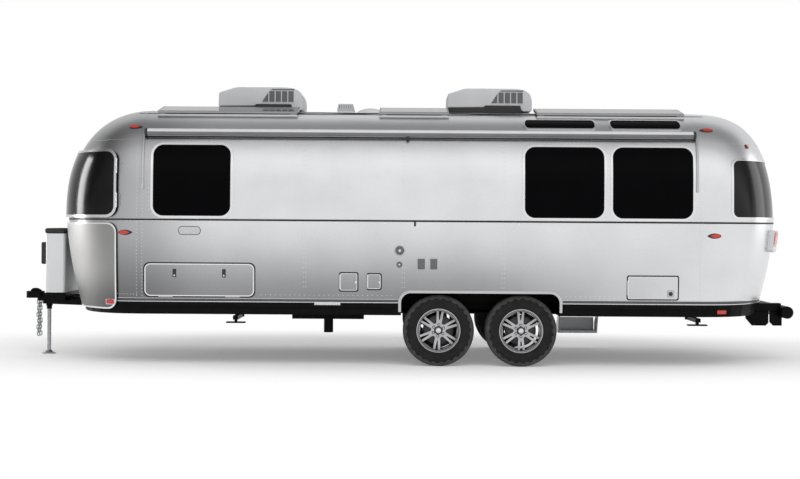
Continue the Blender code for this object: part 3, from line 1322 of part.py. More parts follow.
def build_awnings():
    """A rolled awning on each side, with end arms down the wall and a middle cradle."""
    for side, label in ((-1, "street"), (1, "curb")):
        left, right = along(AWNING_START_SHARE), along(AWNING_END_SHARE)
        roll_y = side * (section_half_width(AWNING_Z, 0) + AWNING_STAND_OFF)
        awning = rod(
            "awning_" + label, (left, roll_y, AWNING_Z), (right, roll_y, AWNING_Z), AWNING_RADIUS,
            "white_paint", sides=AWNING_SIDES,
        )
        middle = along(CRADLE_SHARE)
        strips = (
            (left, ARM_LOW_Z), (right - ARM_STRIP_WIDTH, ARM_LOW_Z),
            (middle, AWNING_Z - AWNING_RADIUS - CRADLE_DROP),
        )
        for start, low in strips:
            strip = body_skin("arm_strip", BELT_Z, upper_wall(ARM_TOP_ROW_SHARE), ARM_STRIP_DEPTH, GAP)
            near, far = sorted((0, side * FAR))
            crop(strip, box(
                "arm_span", (start, near, low), (start + ARM_STRIP_WIDTH, far, AWNING_Z + AWNING_RADIUS / 2)
            ))
            join(awning, strip)


def build_under_floor():
    """Four stabilisers that swing down, and the entry step."""
    for row, set_back in zip(("front", "rear"), STABILISER_SET_BACKS):
        for side, label in ((-1, "street"), (1, "curb")):
            build_stabiliser(f"{label}_{row}", FRONT_SEAM_X + set_back, side)
    build_step()


def build_step():
    """The entry step: a tread on two arms that hang from the pan's ears."""
    tread_low = STEP_LOW_Z
    tread_in_y = STEP_TREAD_OUT_Y - STEP_TREAD_DEPTH
    step = box(
        "entry_step", (STEP_FRONT_X, tread_in_y, tread_low),
        (STEP_REAR_X, STEP_TREAD_OUT_Y, tread_low + STEP_TREAD_THICKNESS), "galvanised",
    )
    outline = [
        (0, STEP_PIVOT_Y - EYE_RADIUS, STEP_PIVOT_Z), (0, STEP_PIVOT_Y, STEP_PIVOT_Z + EYE_RADIUS),
        (0, STEP_PIVOT_Y + EYE_RADIUS, STEP_PIVOT_Z),
        (0, STEP_TREAD_OUT_Y, tread_low + STEP_TREAD_DEPTH / 2),
        (0, STEP_TREAD_OUT_Y, tread_low + STEP_TREAD_THICKNESS / 2),
        (0, tread_in_y, tread_low + STEP_TREAD_THICKNESS / 2),
    ]
    for start in (STEP_FRONT_X, STEP_REAR_X - STEP_ARM_THICKNESS):
        join(step, prism("step_arm", outline[::-1], (start, 0, 0), (STEP_ARM_THICKNESS, 0, 0)))
    pivot_empty("entry_step_axis", (STEP_FRONT_X, STEP_PIVOT_Y, STEP_PIVOT_Z), [step])


def build_stabiliser(label, pivot_x, side):
    """One stabiliser leg with its foot, folded up under the belly."""
    half = STABILISER_WIDTH / 2
    pivot_y = side * STABILISER_PIVOT_Y
    tip_y = side * (STABILISER_PIVOT_Y + STABILISER_LENGTH)
    near, far = sorted((pivot_y, tip_y))
    low = STABILISER_PIVOT_Z - STABILISER_HEIGHT / 2
    leg = box(
        "stabiliser_" + label, (pivot_x - half, near, low),
        (pivot_x + half, far, low + STABILISER_HEIGHT), "black_paint",
    )
    eye_start = (pivot_x - half, pivot_y, STABILISER_PIVOT_Z)
    eye_end = (pivot_x + half, pivot_y, STABILISER_PIVOT_Z)
    join(leg, rod("leg_eye", eye_start, eye_end, EYE_RADIUS, sides=12))
    near, far = sorted((tip_y, tip_y - side * STABILISER_FOOT / 2))
    foot_low = low - STABILISER_FOOT_THICKNESS * 3
    join(leg, box(
        "leg_foot", (pivot_x - STABILISER_FOOT / 2, near, foot_low),
        (pivot_x + STABILISER_FOOT / 2, far, foot_low + STABILISER_FOOT_THICKNESS),
    ))
    inset = STABILISER_FOOT / 8
    join(leg, box(
        "foot_web", (pivot_x - half / 2, near + inset, foot_low + STABILISER_FOOT_THICKNESS / 2),
        (pivot_x + half / 2, far - inset, low + STABILISER_HEIGHT / 2),
    ))
    pivot_empty(f"stabiliser_{label}_axis", (pivot_x, pivot_y, STABILISER_PIVOT_Z), [leg])


def build_bumper():
    """The rear bumper tube on two arms, with its hanging plates."""
    start, end = (BUMPER_X, -BUMPER_HALF_LENGTH, BUMPER_Z), (BUMPER_X, BUMPER_HALF_LENGTH, BUMPER_Z)
    bumper = rod("rear_bumper", start, end, BUMPER_RADIUS, "black_paint", sides=16)
    for side in (-1, 1):
        near, far = sorted((side * BUMPER_ARM_Y, side * (BUMPER_ARM_Y + BUMPER_ARM_WIDTH)))
        join(bumper, box(
            "bumper_arm", (RAIL_REAR_X + GAP, near, BUMPER_ARM_LOW_Z),
            (BUMPER_X, far, BUMPER_ARM_LOW_Z + BUMPER_ARM_HEIGHT),
        ))
        near, far = sorted((side * BUMPER_PLATE_Y, side * (BUMPER_PLATE_Y + BUMPER_PLATE_THICKNESS)))
        join(bumper, box(
            "bumper_plate", (BUMPER_PLATE_REAR_X - BUMPER_PLATE_DEPTH, near, BUMPER_PLATE_LOW_Z),
            (BUMPER_PLATE_REAR_X, far, BUMPER_ARM_LOW_Z + BUMPER_ARM_HEIGHT / 2),
        ))


def main():
    """Builds the caravan."""
    clear_scene()
    body = build_body()
    build_side_windows(body)
    build_end_windows(body)
    build_guards(body)
    build_hatches(body)
    build_fittings(body)
    build_lamps(body)
    build_door(body)
    build_floor(body)
    build_chassis()
    build_hitch()
    build_jack()
    build_gas_housing()
    build_wheels()
    build_roof_equipment()
    build_awnings()
    build_under_floor()
    build_bumper()


main()
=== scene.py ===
"""Looks of the travel caravan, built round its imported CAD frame."""

import json
import logging
import math
from dataclasses import dataclass
from enum import Enum
from typing import Callable, Iterable, Sequence

import bpy
import numpy as np
from mathutils import Matrix, Vector

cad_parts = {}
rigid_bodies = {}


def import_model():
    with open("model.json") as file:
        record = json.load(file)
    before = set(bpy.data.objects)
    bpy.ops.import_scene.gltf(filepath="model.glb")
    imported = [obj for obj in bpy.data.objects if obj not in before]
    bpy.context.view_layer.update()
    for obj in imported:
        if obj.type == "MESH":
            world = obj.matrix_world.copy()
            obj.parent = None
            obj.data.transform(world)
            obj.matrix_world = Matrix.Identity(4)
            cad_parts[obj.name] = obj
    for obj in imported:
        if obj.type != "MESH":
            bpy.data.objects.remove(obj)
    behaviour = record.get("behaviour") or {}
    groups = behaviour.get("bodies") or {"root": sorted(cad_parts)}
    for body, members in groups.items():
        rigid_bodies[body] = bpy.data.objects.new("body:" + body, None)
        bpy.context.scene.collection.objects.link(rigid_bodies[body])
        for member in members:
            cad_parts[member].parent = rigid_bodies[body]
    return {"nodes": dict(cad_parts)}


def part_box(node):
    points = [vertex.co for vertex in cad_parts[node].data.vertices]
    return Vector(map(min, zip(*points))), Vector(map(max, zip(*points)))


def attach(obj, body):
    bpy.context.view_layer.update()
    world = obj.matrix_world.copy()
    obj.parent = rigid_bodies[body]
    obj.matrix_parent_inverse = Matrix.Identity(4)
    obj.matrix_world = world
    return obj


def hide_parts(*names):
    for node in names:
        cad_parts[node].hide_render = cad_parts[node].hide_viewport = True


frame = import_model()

log = logging.getLogger("caravan")

Nodes = bpy.types.Nodes
Links = bpy.types.NodeLinks
Socket = bpy.types.NodeSocket
Bump = bpy.types.ShaderNodeBump

Point = tuple[float, float, float]
Flat = tuple[float, float]

BODY = "caravan"


class Side(Enum):
    """The two long sides, with the sign of Y that each lies on."""

    STREET = -1
    CURB = 1


class End(Enum):
    """The two rounded ends, with the sign of X that each lies on."""

    FRONT = -1
    REAR = 1


class Form:
    """The body's rounded outer form, with the sizes that the CAD model has."""

    half_width = 1.29
    crown = 2.70
    belt = 1.505
    sill = 0.655
    skirt = 0.53
    seam = {End.FRONT: -2.72, End.REAR: 3.056}
    full_reach = {End.FRONT: 0.96, End.REAR: 1.015}
    reach_power = {End.FRONT: 2.5, End.REAR: 2.05}
    reach_root = {End.FRONT: 0.46, End.REAR: 0.30}
    tuck = 0.035
    end_tuck = 0.20
    end_tuck_power = 1.6
    plan_power = 2.2
    section_power = 5.0
    section_root = 0.37
    top_share = 0.996
    roof_split = 1.505 + 0.92 * 1.195
    top = 1.505 + 0.996 * 1.195

    def across(self, z: np.ndarray | float, offset: float = 0.0) -> np.ndarray:
        """Gives half the body's width at a height.

        Args:
            z: Heights in metres.
            offset: Distance that the form is moved out.

        Returns:
            Half widths, one for each height.
        """
        z = np.asarray(z, float)
        reach = self.half_width + offset
        low = np.clip((self.belt - z) / (self.belt - self.skirt), 0, None)
        high = np.clip((z - self.belt) / (self.crown + offset - self.belt), 0, 1)
        upper = reach * (1 - high**self.section_power) ** self.section_root
        return np.where(z < self.belt, reach - self.half_width * self.tuck * low**2, upper)

    def reach(self, z: np.ndarray | float, end: End, offset: float = 0.0) -> np.ndarray:
        """Gives how far a rounded end stands past its seam at a height.

        Args:
            z: Heights in metres.
            end: Which end.
            offset: Distance that the form is moved out.

        Returns:
            Distances past the seam, one for each height.
        """
        z = np.asarray(z, float)
        full = self.full_reach[end]
        low = np.clip((self.belt - z) / (self.belt - self.skirt), 0, None)
        high = np.clip((z - self.belt) / (self.crown + offset - self.belt), 0, 1)
        lower = full + offset - full * self.end_tuck * low**self.end_tuck_power
        upper = (full + offset) * (1 - high ** self.reach_power[end]) ** self.reach_root[end]
        return np.where(z < self.belt, lower, upper)

    def ring(self, turn: float, z: float, offset: float = 0.0) -> Vector:
        """Gives a point on the form from its turn round the plan.

        Args:
            turn: 0 to 1 round the rear end from the street seam, to 2 forwards along the
                curb side, to 3 round the front end, to 4 back along the street side.
            z: Height in metres.
            offset: Distance that the form is moved out.

        Returns:
            The point.
        """
        turn = turn % 4
        leg = int(turn)
        share = turn - leg
        across = float(self.across(z, offset))
        if leg in (0, 2):
            end = End.REAR if leg == 0 else End.FRONT
            angle = math.pi * (share - 0.5)
            along = abs(math.cos(angle)) ** (2 / self.plan_power)
            over = math.copysign(abs(math.sin(angle)) ** (2 / self.plan_power), math.sin(angle))
            x = self.seam[end] + end.value * float(self.reach(z, end, offset)) * along
            return Vector((x, end.value * across * over, z))
        front, rear = self.seam[End.FRONT], self.seam[End.REAR]
        if leg == 1:
            return Vector((rear + share * (front - rear), across, z))
        return Vector((front + share * (rear - front), -across, z))

    def normals(self, points: np.ndarray) -> np.ndarray:
        """Gives the form's outward normals near some points.

        Args:
            points: An array of points, one to a row.

        Returns:
            Unit normals, one to a row.
        """
        x, y, z = points.T
        z = np.clip(z, self.skirt, self.top)
        step = 1e-5
        power = self.plan_power
        across = self.across(z)
        across_slope = (self.across(z + step) - self.across(z - step)) / (2 * step)
        found = np.zeros_like(points)
        share = np.clip(np.abs(y) / across, 1e-9, 4)
        found[:, 1] = np.sign(y) * share ** (power - 1) / across
        found[:, 2] = -(share**power) * across_slope / across
        for end in End:
            past = np.clip((x - self.seam[end]) * end.value, 0, None)
            reach = self.reach(z, end)
            slope = (self.reach(z + step, end) - self.reach(z - step, end)) / (2 * step)
            part = np.clip(past / reach, 0, 4)
            found[:, 0] += end.value * part ** (power - 1) / reach
            found[:, 2] -= part**power * slope / reach
        return found / np.linalg.norm(found, axis=1)[:, None]

    def normal(self, point: Vector) -> Vector:
        """Gives the outward normal near one point."""
        return Vector(self.normals(np.array([point[:]], float))[0])

    def side_point(self, x: float, z: float, side: Side, stand: float = 0.0) -> Vector:
        """Gives the point of the skin that shows at a place in the side view.

        Args:
            x: Place along the body.
            z: Height.
            side: Which long side.
            stand: Distance off the skin, along its normal.

        Returns:
            The point.
        """
        across = float(self.across(z))
        y = across
        for end in End:
            past = (x - self.seam[end]) * end.value
            if past > 0:
                share = min(past / float(self.reach(z, end)), 1)
                y = across * (1 - share**self.plan_power) ** (1 / self.plan_power)
        spot = Vector((x, side.value * y, z))
        return spot + self.normal(spot) * stand

    def roof_height(self, y: float) -> float:
        """Gives the height of the roof at a distance from the centre plane."""
        share = (1 - (abs(y) / self.half_width) ** (1 / self.section_root)) ** (1 / self.section_power)
        return self.belt + min(share, self.top_share) * (self.crown - self.belt)

    def rows(self, low: float, high: float, count: int) -> list[float]:
        """Gives heights between two others, closer together where the form turns in.

        Args:
            low: Lowest height.
            high: Highest height.
            count: Number of heights.

        Returns:
            The heights, rising.
        """
        heights = np.linspace(low, high, 2001)
        seen = np.stack([self.across(heights), self.reach(heights, End.REAR), heights], 1)
        lengths = np.concatenate([[0], np.cumsum(np.linalg.norm(np.diff(seen, axis=0), axis=1))])
        return list(np.interp(np.linspace(0, lengths[-1], count), lengths, heights))


FORM = Form()


@dataclass(frozen=True)
class Finish:
    """A surface finish whose colour, gloss and grain vary over the piece."""

    name: str
    colour: Point
    metallic: float = 0.0
    roughness: float = 0.4
    mottle: float = 0.08
    mottle_scale: float = 6.0
    gloss_swing: float = 0.08
    grain: float = 0.05
    grain_scale: Point = (180.0, 180.0, 180.0)
    coat: float = 0.0
    specular: float = 0.5

    def material(self) -> bpy.types.Material:
        """Returns the finish's material, made once."""
        found = bpy.data.materials.get(self.name)
        return found or self.make()

    def make(self) -> bpy.types.Material:
        """Makes the material's nodes.

        Returns:
            The new material.
        """
        made = bpy.data.materials.new(self.name)
        made.use_nodes = True
        nodes, links = made.node_tree.nodes, made.node_tree.links
        shader = nodes["Principled BSDF"]
        shader.inputs["Metallic"].default_value = self.metallic
        shader.inputs["Coat Weight"].default_value = self.coat
        shader.inputs["Coat Roughness"].default_value = 0.08
        shader.inputs["Specular IOR Level"].default_value = self.specular
        place = nodes.new("ShaderNodeTexCoord").outputs["Object"]
        cloud = self.noise(nodes, links, place, (1, 1, 1), self.mottle_scale, 4)
        low, high = 1 - self.mottle, 1 + self.mottle
        tone = self.spread(nodes, links, cloud, low, high)
        colour = self.tint(nodes, links, tone, place)
        links.new(colour, shader.inputs["Base Color"])
        fine = self.noise(nodes, links, place, self.grain_scale, 1.0, 3)
        gloss = self.spread(
            nodes, links, fine, self.roughness - self.gloss_swing, self.roughness + self.gloss_swing
        )
        links.new(gloss, shader.inputs["Roughness"])
        bump = nodes.new("ShaderNodeBump")
        bump.inputs["Strength"].default_value = self.grain
        bump.inputs["Distance"].default_value = 0.002
        links.new(fine, bump.inputs["Height"])
        links.new(self.relief(nodes, links, bump, place), shader.inputs["Normal"])
        return made

    def noise(
        self, nodes: Nodes, links: Links, place: Socket, scale: Point, size: float, detail: float
    ) -> Socket:
        """Adds a noise pattern.

        Args:
            nodes: The material's nodes.
            links: The material's links.
            place: The coordinate socket.
            scale: Stretch of the pattern along each axis.
            size: Scale of the noise itself.
            detail: Number of finer layers.

        Returns:
            The pattern's socket.
        """
        mapping = nodes.new("ShaderNodeMapping")
        mapping.inputs["Scale"].default_value = scale
        links.new(place, mapping.inputs["Vector"])
        noise = nodes.new("ShaderNodeTexNoise")
        noise.inputs["Scale"].default_value = size
        noise.inputs["Detail"].default_value = detail
        links.new(mapping.outputs["Vector"], noise.inputs["Vector"])
        return noise.outputs["Fac"]

    def spread(self, nodes: Nodes, links: Links, socket: Socket, low: float, high: float) -> Socket:
        """Maps a pattern's usual range to two values and returns the socket."""
        spread = nodes.new("ShaderNodeMapRange")
        spread.inputs["From Min"].default_value = 0.3
        spread.inputs["From Max"].default_value = 0.7
        spread.inputs["To Min"].default_value = low
        spread.inputs["To Max"].default_value = high
        links.new(socket, spread.inputs["Value"])
        return spread.outputs["Result"]

    def tint(self, nodes: Nodes, links: Links, tone: Socket, place: Socket) -> Socket:
        """Multiplies the finish's colour by a tone and returns the colour socket."""
        scale = nodes.new("ShaderNodeVectorMath")
        scale.operation = "SCALE"
        scale.inputs[0].default_value = self.colour
        links.new(tone, scale.inputs["Scale"])
        return scale.outputs["Vector"]

    def product(self, nodes: Nodes, links: Links, tone: Socket, others: Sequence[Socket]) -> Socket:
        """Multiplies a tone by other values in turn.

        Args:
            nodes: The material's nodes.
            links: The material's links.
            tone: The tone to start from.
            others: The values to multiply it by.

        Returns:
            The socket of the product.
        """
        for other in others:
            both = nodes.new("ShaderNodeMath")
            both.operation = "MULTIPLY"
            links.new(tone, both.inputs[0])
            links.new(other, both.inputs[1])
            tone = both.outputs["Value"]
        return tone

    def ease(self, nodes: Nodes, links: Links, socket: Socket, start: Flat, end: Flat) -> Socket:
        """Adds a soft step between two places, each with its value.

        Args:
            nodes: The material's nodes.
            links: The material's links.
            socket: The place that is read.
            start: The first place and its value.
            end: The other place and its value.

        Returns:
            The step's socket.
        """
        step = nodes.new("ShaderNodeMapRange")
        step.interpolation_type = "SMOOTHSTEP"
        step.inputs["From Min"].default_value, step.inputs["To Min"].default_value = start
        step.inputs["From Max"].default_value, step.inputs["To Max"].default_value = end
        links.new(socket, step.inputs["Value"])
        return step.outputs["Result"]

    def relief(self, nodes: Nodes, links: Links, bump: Bump, place: Socket) -> Socket:
        """Returns the normal socket, for finishes that add a second relief."""
        return bump.outputs["Normal"]


@dataclass(frozen=True)
class SheetFinish(Finish):
    """Rolled aluminium sheet, with a fine grain, slow waves and painted shade that darkens it towards the sill and the
    front, in place of reflections.
    """

    wave: float = 0.35
    # painted shade: how dark the sheet is painted at the sill and at the front
    sill_shade_tone: float = 0.37
    front_tone: float = 0.60

    def tint(self, nodes: Nodes, links: Links, tone: Socket, place: Socket) -> Socket:
        """Paints shade on the sheet, darker towards the sill and the front, and returns the colour socket."""
        parts = nodes.new("ShaderNodeSeparateXYZ")
        links.new(place, parts.inputs["Vector"])
        # painted shade: darker towards the sill, more so further forward, and darker towards the front, standing in for
        # reflections of a darker surround
        rise = self.ease(nodes, links, parts.outputs["Z"], (FORM.skirt + 0.12, 0.0), (1.52, 1.0))
        sill = self.ease(nodes, links, parts.outputs["X"], (0.3, self.sill_shade_tone), (3.6, 0.97))
        front = self.ease(nodes, links, parts.outputs["X"], (-2.85, self.front_tone), (-1.9, 1.0))
        fall = nodes.new("ShaderNodeMix")
        links.new(rise, fall.inputs["Factor"])
        links.new(sill, fall.inputs["A"])
        fall.inputs["B"].default_value = 1.0
        tone = self.product(nodes, links, tone, (fall.outputs["Result"], front))
        return super().tint(nodes, links, tone, place)

    def relief(self, nodes: Nodes, links: Links, bump: Bump, place: Socket) -> Socket:
        """Adds the slow waves of riveted sheet and returns the normal socket."""
        slow = self.noise(nodes, links, place, (1.0, 1.0, 1.6), 1.7, 2)
        wave = nodes.new("ShaderNodeBump")
        wave.inputs["Strength"].default_value = self.wave
        wave.inputs["Distance"].default_value = 0.02
        links.new(slow, wave.inputs["Height"])
        links.new(bump.outputs["Normal"], wave.inputs["Normal"])
        return wave.outputs["Normal"]


@dataclass(frozen=True)
class GuardFinish(Finish):
    """Stainless sheet, darker towards its foot, with painted shade towards its rear edge."""

    def tint(self, nodes: Nodes, links: Links, tone: Socket, place: Socket) -> Socket:
        """Darkens the sheet towards its foot, paints shade towards its rear edge, and returns the colour socket."""
        parts = nodes.new("ShaderNodeSeparateXYZ")
        links.new(place, parts.inputs["Vector"])
        # painted shade: darker towards the rear edge, where the highlight falls off
        rear = self.ease(nodes, links, parts.outputs["X"], (-3.50, 1.0), (-3.02, 0.60))
        foot = self.ease(nodes, links, parts.outputs["Z"], (0.60, 0.45), (1.05, 1.0))
        tone = self.product(nodes, links, tone, (rear, foot))
        return super().tint(nodes, links, tone, place)


@dataclass(frozen=True)
class DeckFinish(Finish):
    """Plywood floor with a black weather coat on its underside and edges."""

    coated_below: float = 0.815

    def tint(self, nodes: Nodes, links: Links, tone: Socket, place: Socket) -> Socket:
        """Blackens what lies below the floor's top face and returns the colour socket."""
        parts = nodes.new("ShaderNodeSeparateXYZ")
        links.new(place, parts.inputs["Vector"])
        above = nodes.new("ShaderNodeMath")
        above.operation = "GREATER_THAN"
        above.inputs[1].default_value = self.coated_below
        links.new(parts.outputs["Z"], above.inputs[0])
        tone = self.product(nodes, links, tone, (above.outputs["Value"],))
        return super().tint(nodes, links, tone, place)


# this sheet carries painted shade towards its sill and front
SHEET = SheetFinish(
    "aluminium_sheet", (0.745, 0.75, 0.765), metallic=1.0, roughness=0.30, mottle=0.04,
    mottle_scale=2.2, gloss_swing=0.05, grain=0.05, grain_scale=(900.0, 900.0, 30.0),
)
TRIM = Finish(
    "bright_trim", (0.80, 0.80, 0.81), metallic=1.0, roughness=0.24, mottle=0.03,
    gloss_swing=0.05, grain=0.02, grain_scale=(60.0, 600.0, 600.0),
)
SATIN_TRIM = Finish(
    "satin_trim", (0.54, 0.54, 0.55), metallic=1.0, roughness=0.32, mottle=0.03, gloss_swing=0.05,
    grain=0.02, grain_scale=(60.0, 600.0, 600.0),
)
PANEL_FRAME = Finish(
    "panel_frame", (0.32, 0.32, 0.33), metallic=1.0, roughness=0.36, mottle=0.03, gloss_swing=0.05,
    grain=0.02, grain_scale=(60.0, 600.0, 600.0),
)
DARK_TRIM = Finish(
    "dark_trim", (0.10, 0.10, 0.105), metallic=0.6, roughness=0.35, gloss_swing=0.05, grain=0.02,
)
SHADOW_LINE = Finish("dark_line", (0.02, 0.02, 0.022), gloss_swing=0.05, specular=0.15)
# this guard sheet carries painted shade towards its rear edge
GUARD_SHEET = GuardFinish(
    "guard_sheet", (0.58, 0.575, 0.57), metallic=1.0, roughness=0.48, mottle=0.04,
    mottle_scale=3.0, gloss_swing=0.05, grain=0.05, grain_scale=(700.0, 700.0, 25.0),
)
STAINLESS = Finish(
    "stainless_sheet", (0.70, 0.69, 0.68), metallic=1.0, roughness=0.27, mottle=0.04,
    mottle_scale=3.0, gloss_swing=0.05, grain=0.05, grain_scale=(700.0, 700.0, 25.0),
)
GLASS = Finish(
    "tinted_glass", (0.0015, 0.0015, 0.002), roughness=0.05, mottle=0.10, gloss_swing=0.02,
    grain=0.004, grain_scale=(3.0, 3.0, 3.0), specular=0.03,
)
ACRYLIC = Finish(
    "tinted_acrylic", (0.002, 0.002, 0.0025), roughness=0.15, mottle=0.10, gloss_swing=0.03,
    grain=0.006, grain_scale=(3.0, 3.0, 3.0), specular=0.30,
)
BLACK_STEEL = Finish(
    "satin_black_steel", (0.003, 0.003, 0.0033), roughness=0.40, mottle=0.35, mottle_scale=9.0,
    gloss_swing=0.10, grain=0.06, grain_scale=(160.0, 160.0, 160.0), specular=0.08,
)
BLACK_PLASTIC = Finish(
    "black_plastic", (0.012, 0.012, 0.014), roughness=0.42, mottle=0.15, gloss_swing=0.08,
    grain=0.15, grain_scale=(900.0, 900.0, 900.0), specular=0.25,
)
GALVANISED = Finish(
    "galvanised_steel", (0.42, 0.43, 0.44), metallic=0.9, roughness=0.42, mottle=0.18,
    mottle_scale=40.0, gloss_swing=0.12, grain=0.10, grain_scale=(120.0, 120.0, 120.0),
)
WHITE_PAINT = Finish(
    "white_paint", (0.84, 0.85, 0.87), roughness=0.34, mottle=0.03, gloss_swing=0.05,
    grain=0.04, grain_scale=(300.0, 300.0, 300.0), coat=0.2,
)
WHITE_PLASTIC = Finish(
    "moulded_white_plastic", (0.72, 0.73, 0.75), roughness=0.45, mottle=0.03, gloss_swing=0.06,
    grain=0.08, grain_scale=(500.0, 500.0, 500.0),
)
COOLER_PLASTIC = Finish(
    "cooler_plastic", (0.60, 0.61, 0.625), roughness=0.45, mottle=0.03, gloss_swing=0.06,
    grain=0.08, grain_scale=(500.0, 500.0, 500.0), specular=0.3,
)
GREY_PLASTIC = Finish(
    "grey_plastic", (0.15, 0.152, 0.158), roughness=0.5, mottle=0.10, gloss_swing=0.06,
    grain=0.10, grain_scale=(500.0, 500.0, 500.0), specular=0.3,
)
VINYL = Finish(
    "awning_vinyl", (0.72, 0.72, 0.73), roughness=0.5, mottle=0.04, mottle_scale=4.0,
    gloss_swing=0.06, grain=0.12, grain_scale=(25.0, 700.0, 700.0),
)
# painted shade: a darker copy of the awning vinyl for the roll's lower front
SHADED_VINYL = Finish(
    "awning_painted_shade", (0.20, 0.20, 0.205), roughness=0.5, mottle=0.08, mottle_scale=4.0,
    gloss_swing=0.06, grain=0.12, grain_scale=(25.0, 700.0, 700.0), specular=0.3,
)
RUBBER = Finish(
    "tyre_rubber", (0.016, 0.016, 0.0165), roughness=0.74, mottle=0.25, mottle_scale=14.0,
    gloss_swing=0.10, grain=0.25, grain_scale=(350.0, 350.0, 350.0), specular=0.22,
)
# painted highlight: a lighter copy of the tyre rubber, standing in for the highlights on the tread blocks
TREAD_HIGHLIGHT_RUBBER = Finish(
    "tread_rubber", (0.050, 0.050, 0.051), roughness=0.66, mottle=0.30, mottle_scale=14.0,
    gloss_swing=0.10, grain=0.20, grain_scale=(350.0, 350.0, 350.0), specular=0.35,
)
SEAL = Finish(
    "black_seal", (0.006, 0.006, 0.006), roughness=0.65, mottle=0.2, gloss_swing=0.08,
    grain=0.1, grain_scale=(400.0, 400.0, 400.0), specular=0.1,
)
ALLOY_FACE = Finish(
    "machined_alloy", (0.46, 0.46, 0.47), metallic=1.0, roughness=0.28, mottle=0.05,
    gloss_swing=0.06, grain=0.03, grain_scale=(500.0, 60.0, 500.0),
)
ALLOY_DARK = Finish(
    "painted_alloy", (0.045, 0.045, 0.048), metallic=0.5, roughness=0.38, mottle=0.10,
    gloss_swing=0.08, grain=0.05, grain_scale=(300.0, 300.0, 300.0),
)
RED_LENS = Finish(
    "red_lens", (0.60, 0.035, 0.025), roughness=0.16, mottle=0.20, mottle_scale=60.0,
    gloss_swing=0.05, grain=0.05, grain_scale=(200.0, 200.0, 200.0), coat=0.4,
)
DECK = DeckFinish(
    "coated_plywood", (0.36, 0.25, 0.14), roughness=0.62, mottle=0.18, mottle_scale=3.0,
    gloss_swing=0.08, grain=0.15, grain_scale=(12.0, 220.0, 220.0), specular=0.12,
)
PANEL_FACE = Finish(
    "solar_cells", (0.012, 0.014, 0.022), roughness=0.16, mottle=0.25, mottle_scale=9.0,
    gloss_swing=0.04, grain=0.03, grain_scale=(25.0, 25.0, 25.0), coat=0.5,
)


